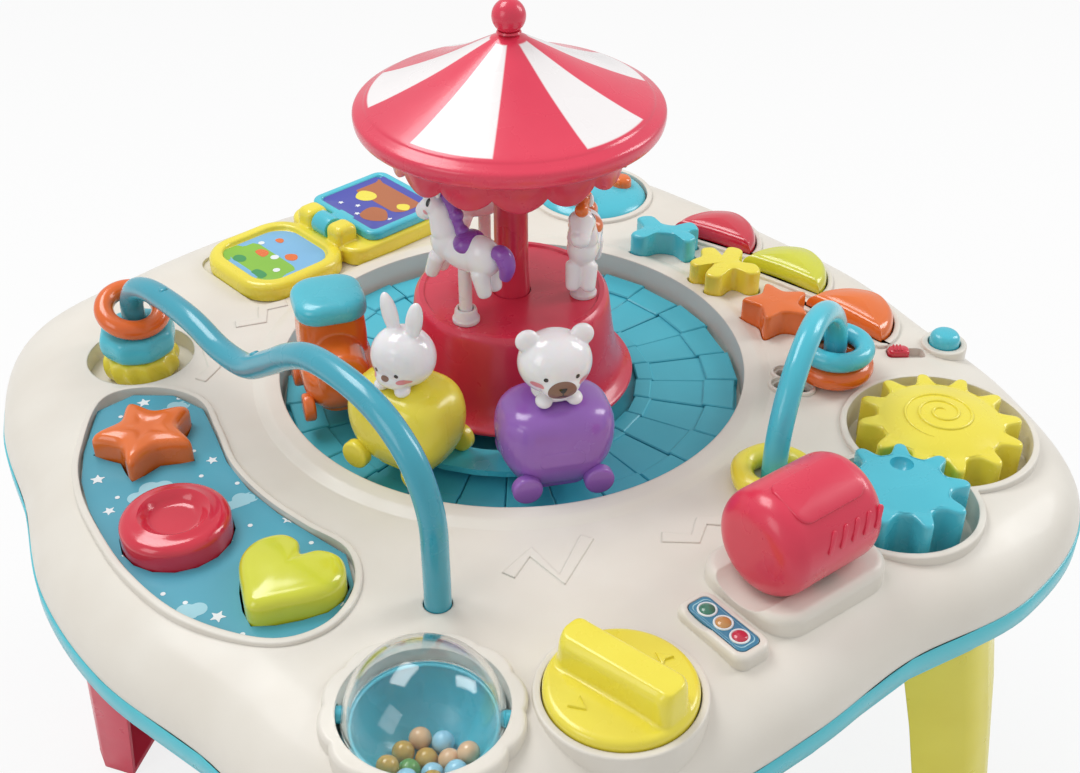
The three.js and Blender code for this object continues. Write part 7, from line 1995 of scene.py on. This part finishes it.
# %% Beds for the roller, the ball, the lights and the speaker
BALL_WELL, BALL_AXLE, GRILLE_AT, GRILLE_STEP = BALL_RADIUS + 1.4, 3.3, spot((0.455, -0.36)), 6.2
MODE_HOLE = MODE_RADIUS + 0.1 + CLEAR
cradle = slab(rounded_rectangle(57, 44, 12, 10), TOP_Z - WALL, TOP_Z + 7, 3.4, 8)
adds.append(moved(cradle, ROLLER_AT, ROLLER_TURN))
cuts.append(cross_bar(ROLLER_RADIUS + CLEAR, 57.0, ROLLER_AT, ROLLER_Z, ROLLER_TURN))
web = slab(rounded_rectangle(9, 10, 2.4, 6), TOP_Z - WALL, ROLLER_Z)
lasts.append(moved(web, ROLLER_AT, ROLLER_TURN))
for radius, half in ((5.0, 4.5), (3.0, 20.4)):
    lasts.append(cross_bar(radius, half, ROLLER_AT, ROLLER_Z, ROLLER_TURN))


def bowl(radius, top, sides=96):
    """The lower part of a ball about the rattle ball's middle, cut off level at its top."""
    end = math.asin(min(1.0, (top - BALL_Z) / radius))
    profile = [(0.0, BALL_Z - radius)]
    for i in range(1, 25):
        a = (-math.pi / 2) + (end + math.pi / 2) * i / 24
        profile.append((max(0.0, radius * math.cos(a)), BALL_Z + radius * math.sin(a)))
    return moved(revolved([*profile, (0.0, profile[-1][1])], sides), BALL_AT)


petals = [polar((0, 0), BALL_WELL + 4.1 + 1.5 * abs(math.sin(a * 6)) ** 0.7, a) for a in turns(192)]
adds.append(moved(slab(petals, TOP_Z - 16, TOP_Z + 3.2, 1.8, 7), BALL_AT, BALL_TURN))
adds.append(bowl(BALL_WELL + WALL, TOP_Z - 1.3))
cuts.append(bowl(BALL_WELL, BALL_Z))
cuts.append(round_slab(BALL_WELL, BALL_Z - 0.01, BALL_Z + BALL_RADIUS, BALL_AT))
cuts.append(cross_bar(BALL_AXLE, BALL_WELL + BALL_AXLE, BALL_AT, BALL_Z, BALL_TURN))
light_bed = slab(rounded_rectangle(33.0, 15.5, 4.6, 8), TOP_Z - 8, LIGHT_TOP, 2.2, 7)
light_seat = slab(rounded_rectangle(27.5, 10.0, 2.8, 8), LIGHT_TOP - 1.5, LIGHT_TOP + 4)
adds.append(moved(light_bed, LIGHT_AT, LIGHT_TURN))
cuts.append(moved(light_seat, LIGHT_AT, LIGHT_TURN))
for a in turns(4):
    place = polar(GRILLE_AT, GRILLE_STEP, a)
    adds.append(round_slab(5.3, TOP_Z - 1.3, TOP_Z + LIP, place, LIP_EDGE, 48))
    cuts.append(round_slab(4.1, TOP_Z + 0.25, TOP_Z + 5, place, 0.0, 40))
    cuts.append(round_slab(3.0, TOP_Z - WALL - 4, TOP_Z + 4, place, 0.0, 32))
moon_outline = drawn(MOON, 23.0, 20.0, 8)
key_wall = slab(offset(moon_outline, CLEAR + WALL), TOP_Z - 7, TOP_Z + LIP, LIP_EDGE)
key_hole = slab(offset(moon_outline, CLEAR), TOP_Z - 11, ABOVE)
for _, _, share, turn, _ in KEYS:
    adds.append(moved(key_wall, spot(share), turn))
    cuts.append(moved(key_hole, spot(share), turn))
adds.append(round_slab(MODE_HOLE + WALL, TOP_Z - 15, TOP_Z + LIP, MODE_AT, LIP_EDGE, 64))
cuts.append(round_slab(MODE_HOLE, TOP_Z - 19, ABOVE, MODE_AT, 0.0, 64))
for outline, place, turn in (
    (drawn(STAR_SHARES, 20.5, None, 10), STAR_AT, 0),
    (disc(20), ROUND_AT, 0),
    (drawn(HEART, 19.5, None, 10), HEART_AT, HEART_TURN),
):
    cuts.append(moved(slab(offset(outline, CLEAR), TOP_Z - 10, ABOVE), place, turn))
cuts.append(round_slab(9.5, TOP_Z - 18, TOP_Z, AXIS, 0.0, 48))
lasts.append(round_slab(4.0, TOP_Z - 7.3, TOP_Z, SPINNER_AT, 0.0, 32))
lasts.append(round_slab(4.0, TOP_Z - 4.3, TOP_Z + 3, KNOB_AT, 0.0, 32))
print("beds done:", len(adds), len(cuts), len(lasts))

# %% [markdown]
# ### Joining and cutting
# Each form becomes a tool of one boolean step on the skin. The steps run in order: all
# walls first, then all hollows, so no wall fills a hollow again. Weighted normals then
# keep the large flat faces even, where averaged ones would show a shade at each edge.

# %% Join and cut


def tool_of(name, form):
    return in_scene(bpy.data.objects.new(name, finish_mesh(mesh_of(name, form))))


def machined(name, base, steps, material, body, stands_for, sharp):
    """A base form with others joined to it and cut from it, one after the other."""
    block = tool_of(name + "_block", base)
    tools = []
    for operation, form in steps:
        tool = tool_of(f"{name}_tool_{len(tools)}", form)
        tools.append(tool)
        step = block.modifiers.new(tool.name, "BOOLEAN")
        step.operation, step.solver, step.object = operation, "MANIFOLD", tool
    made = applied(block)
    for obj in (block, *tools):
        bpy.data.objects.remove(obj)
    obj = put_on(name, finish_mesh(made, sharp, CUT_MERGE), material, body, stands_for)
    even = obj.modifiers.new("even", "WEIGHTED_NORMAL")
    even.keep_sharp = True
    obj.data = applied(obj)
    obj.modifiers.clear()
    return obj


skin_profile = [(0.0, TOP_Z - WALL), *reversed(border(WALL, 8)), *border(0.0, 18), (0.0, TOP_Z)]
steps = [("UNION", form) for form in adds]
steps += [("DIFFERENCE", form) for form in cuts]
steps += [("UNION", form) for form in lasts]
play_top = machined("play_top", lobed(skin_profile), steps, cream, "table", ("top_shell",), 34.0)
print("play top triangles", sum(len(p.vertices) - 2 for p in play_top.data.polygons))

# %% [markdown]
# ### The rim
# A teal band of the lower shell shows all round under the cream border. A bevelled curve
# would do for a plain band. This one is a turned profile with the lobes of the top, so
# that the gap between the two mouldings is the same all round.

# %% The teal rim under the top
RIM_TOP, RIM_LOW, UNDER_Z = TOP_Z - BORDER_DROP - 0.3, TOP_Z - BORDER_DROP - 10.3, TOP_Z - 44.0
RIM_GROW, RIM_WALL = 0.7, 1.0
turn_in = (RIM_LOW - UNDER_Z) / 2
outer = [(1.6 * turn_in * 0.9, UNDER_Z + 0.9), (3.0, RIM_LOW - 1.4), (1.2, RIM_LOW - 0.2)]
outer += [(0, RIM_LOW + 1.6), (0, RIM_TOP - 0.5), (0.5, RIM_TOP)]
outer = [(TABLE_RADIUS - inset, z) for inset, z in outer]
rim_profile = [(r + RIM_GROW, z) for r, z in outer] + [(r - RIM_WALL, z) for r, z in reversed(outer)]
piece("teal_rim", lobed([*rim_profile, rim_profile[0]]), teal_shell, "table", sharp=50)
print("rim from", round(UNDER_Z, 1), "to", round(RIM_TOP, 1))
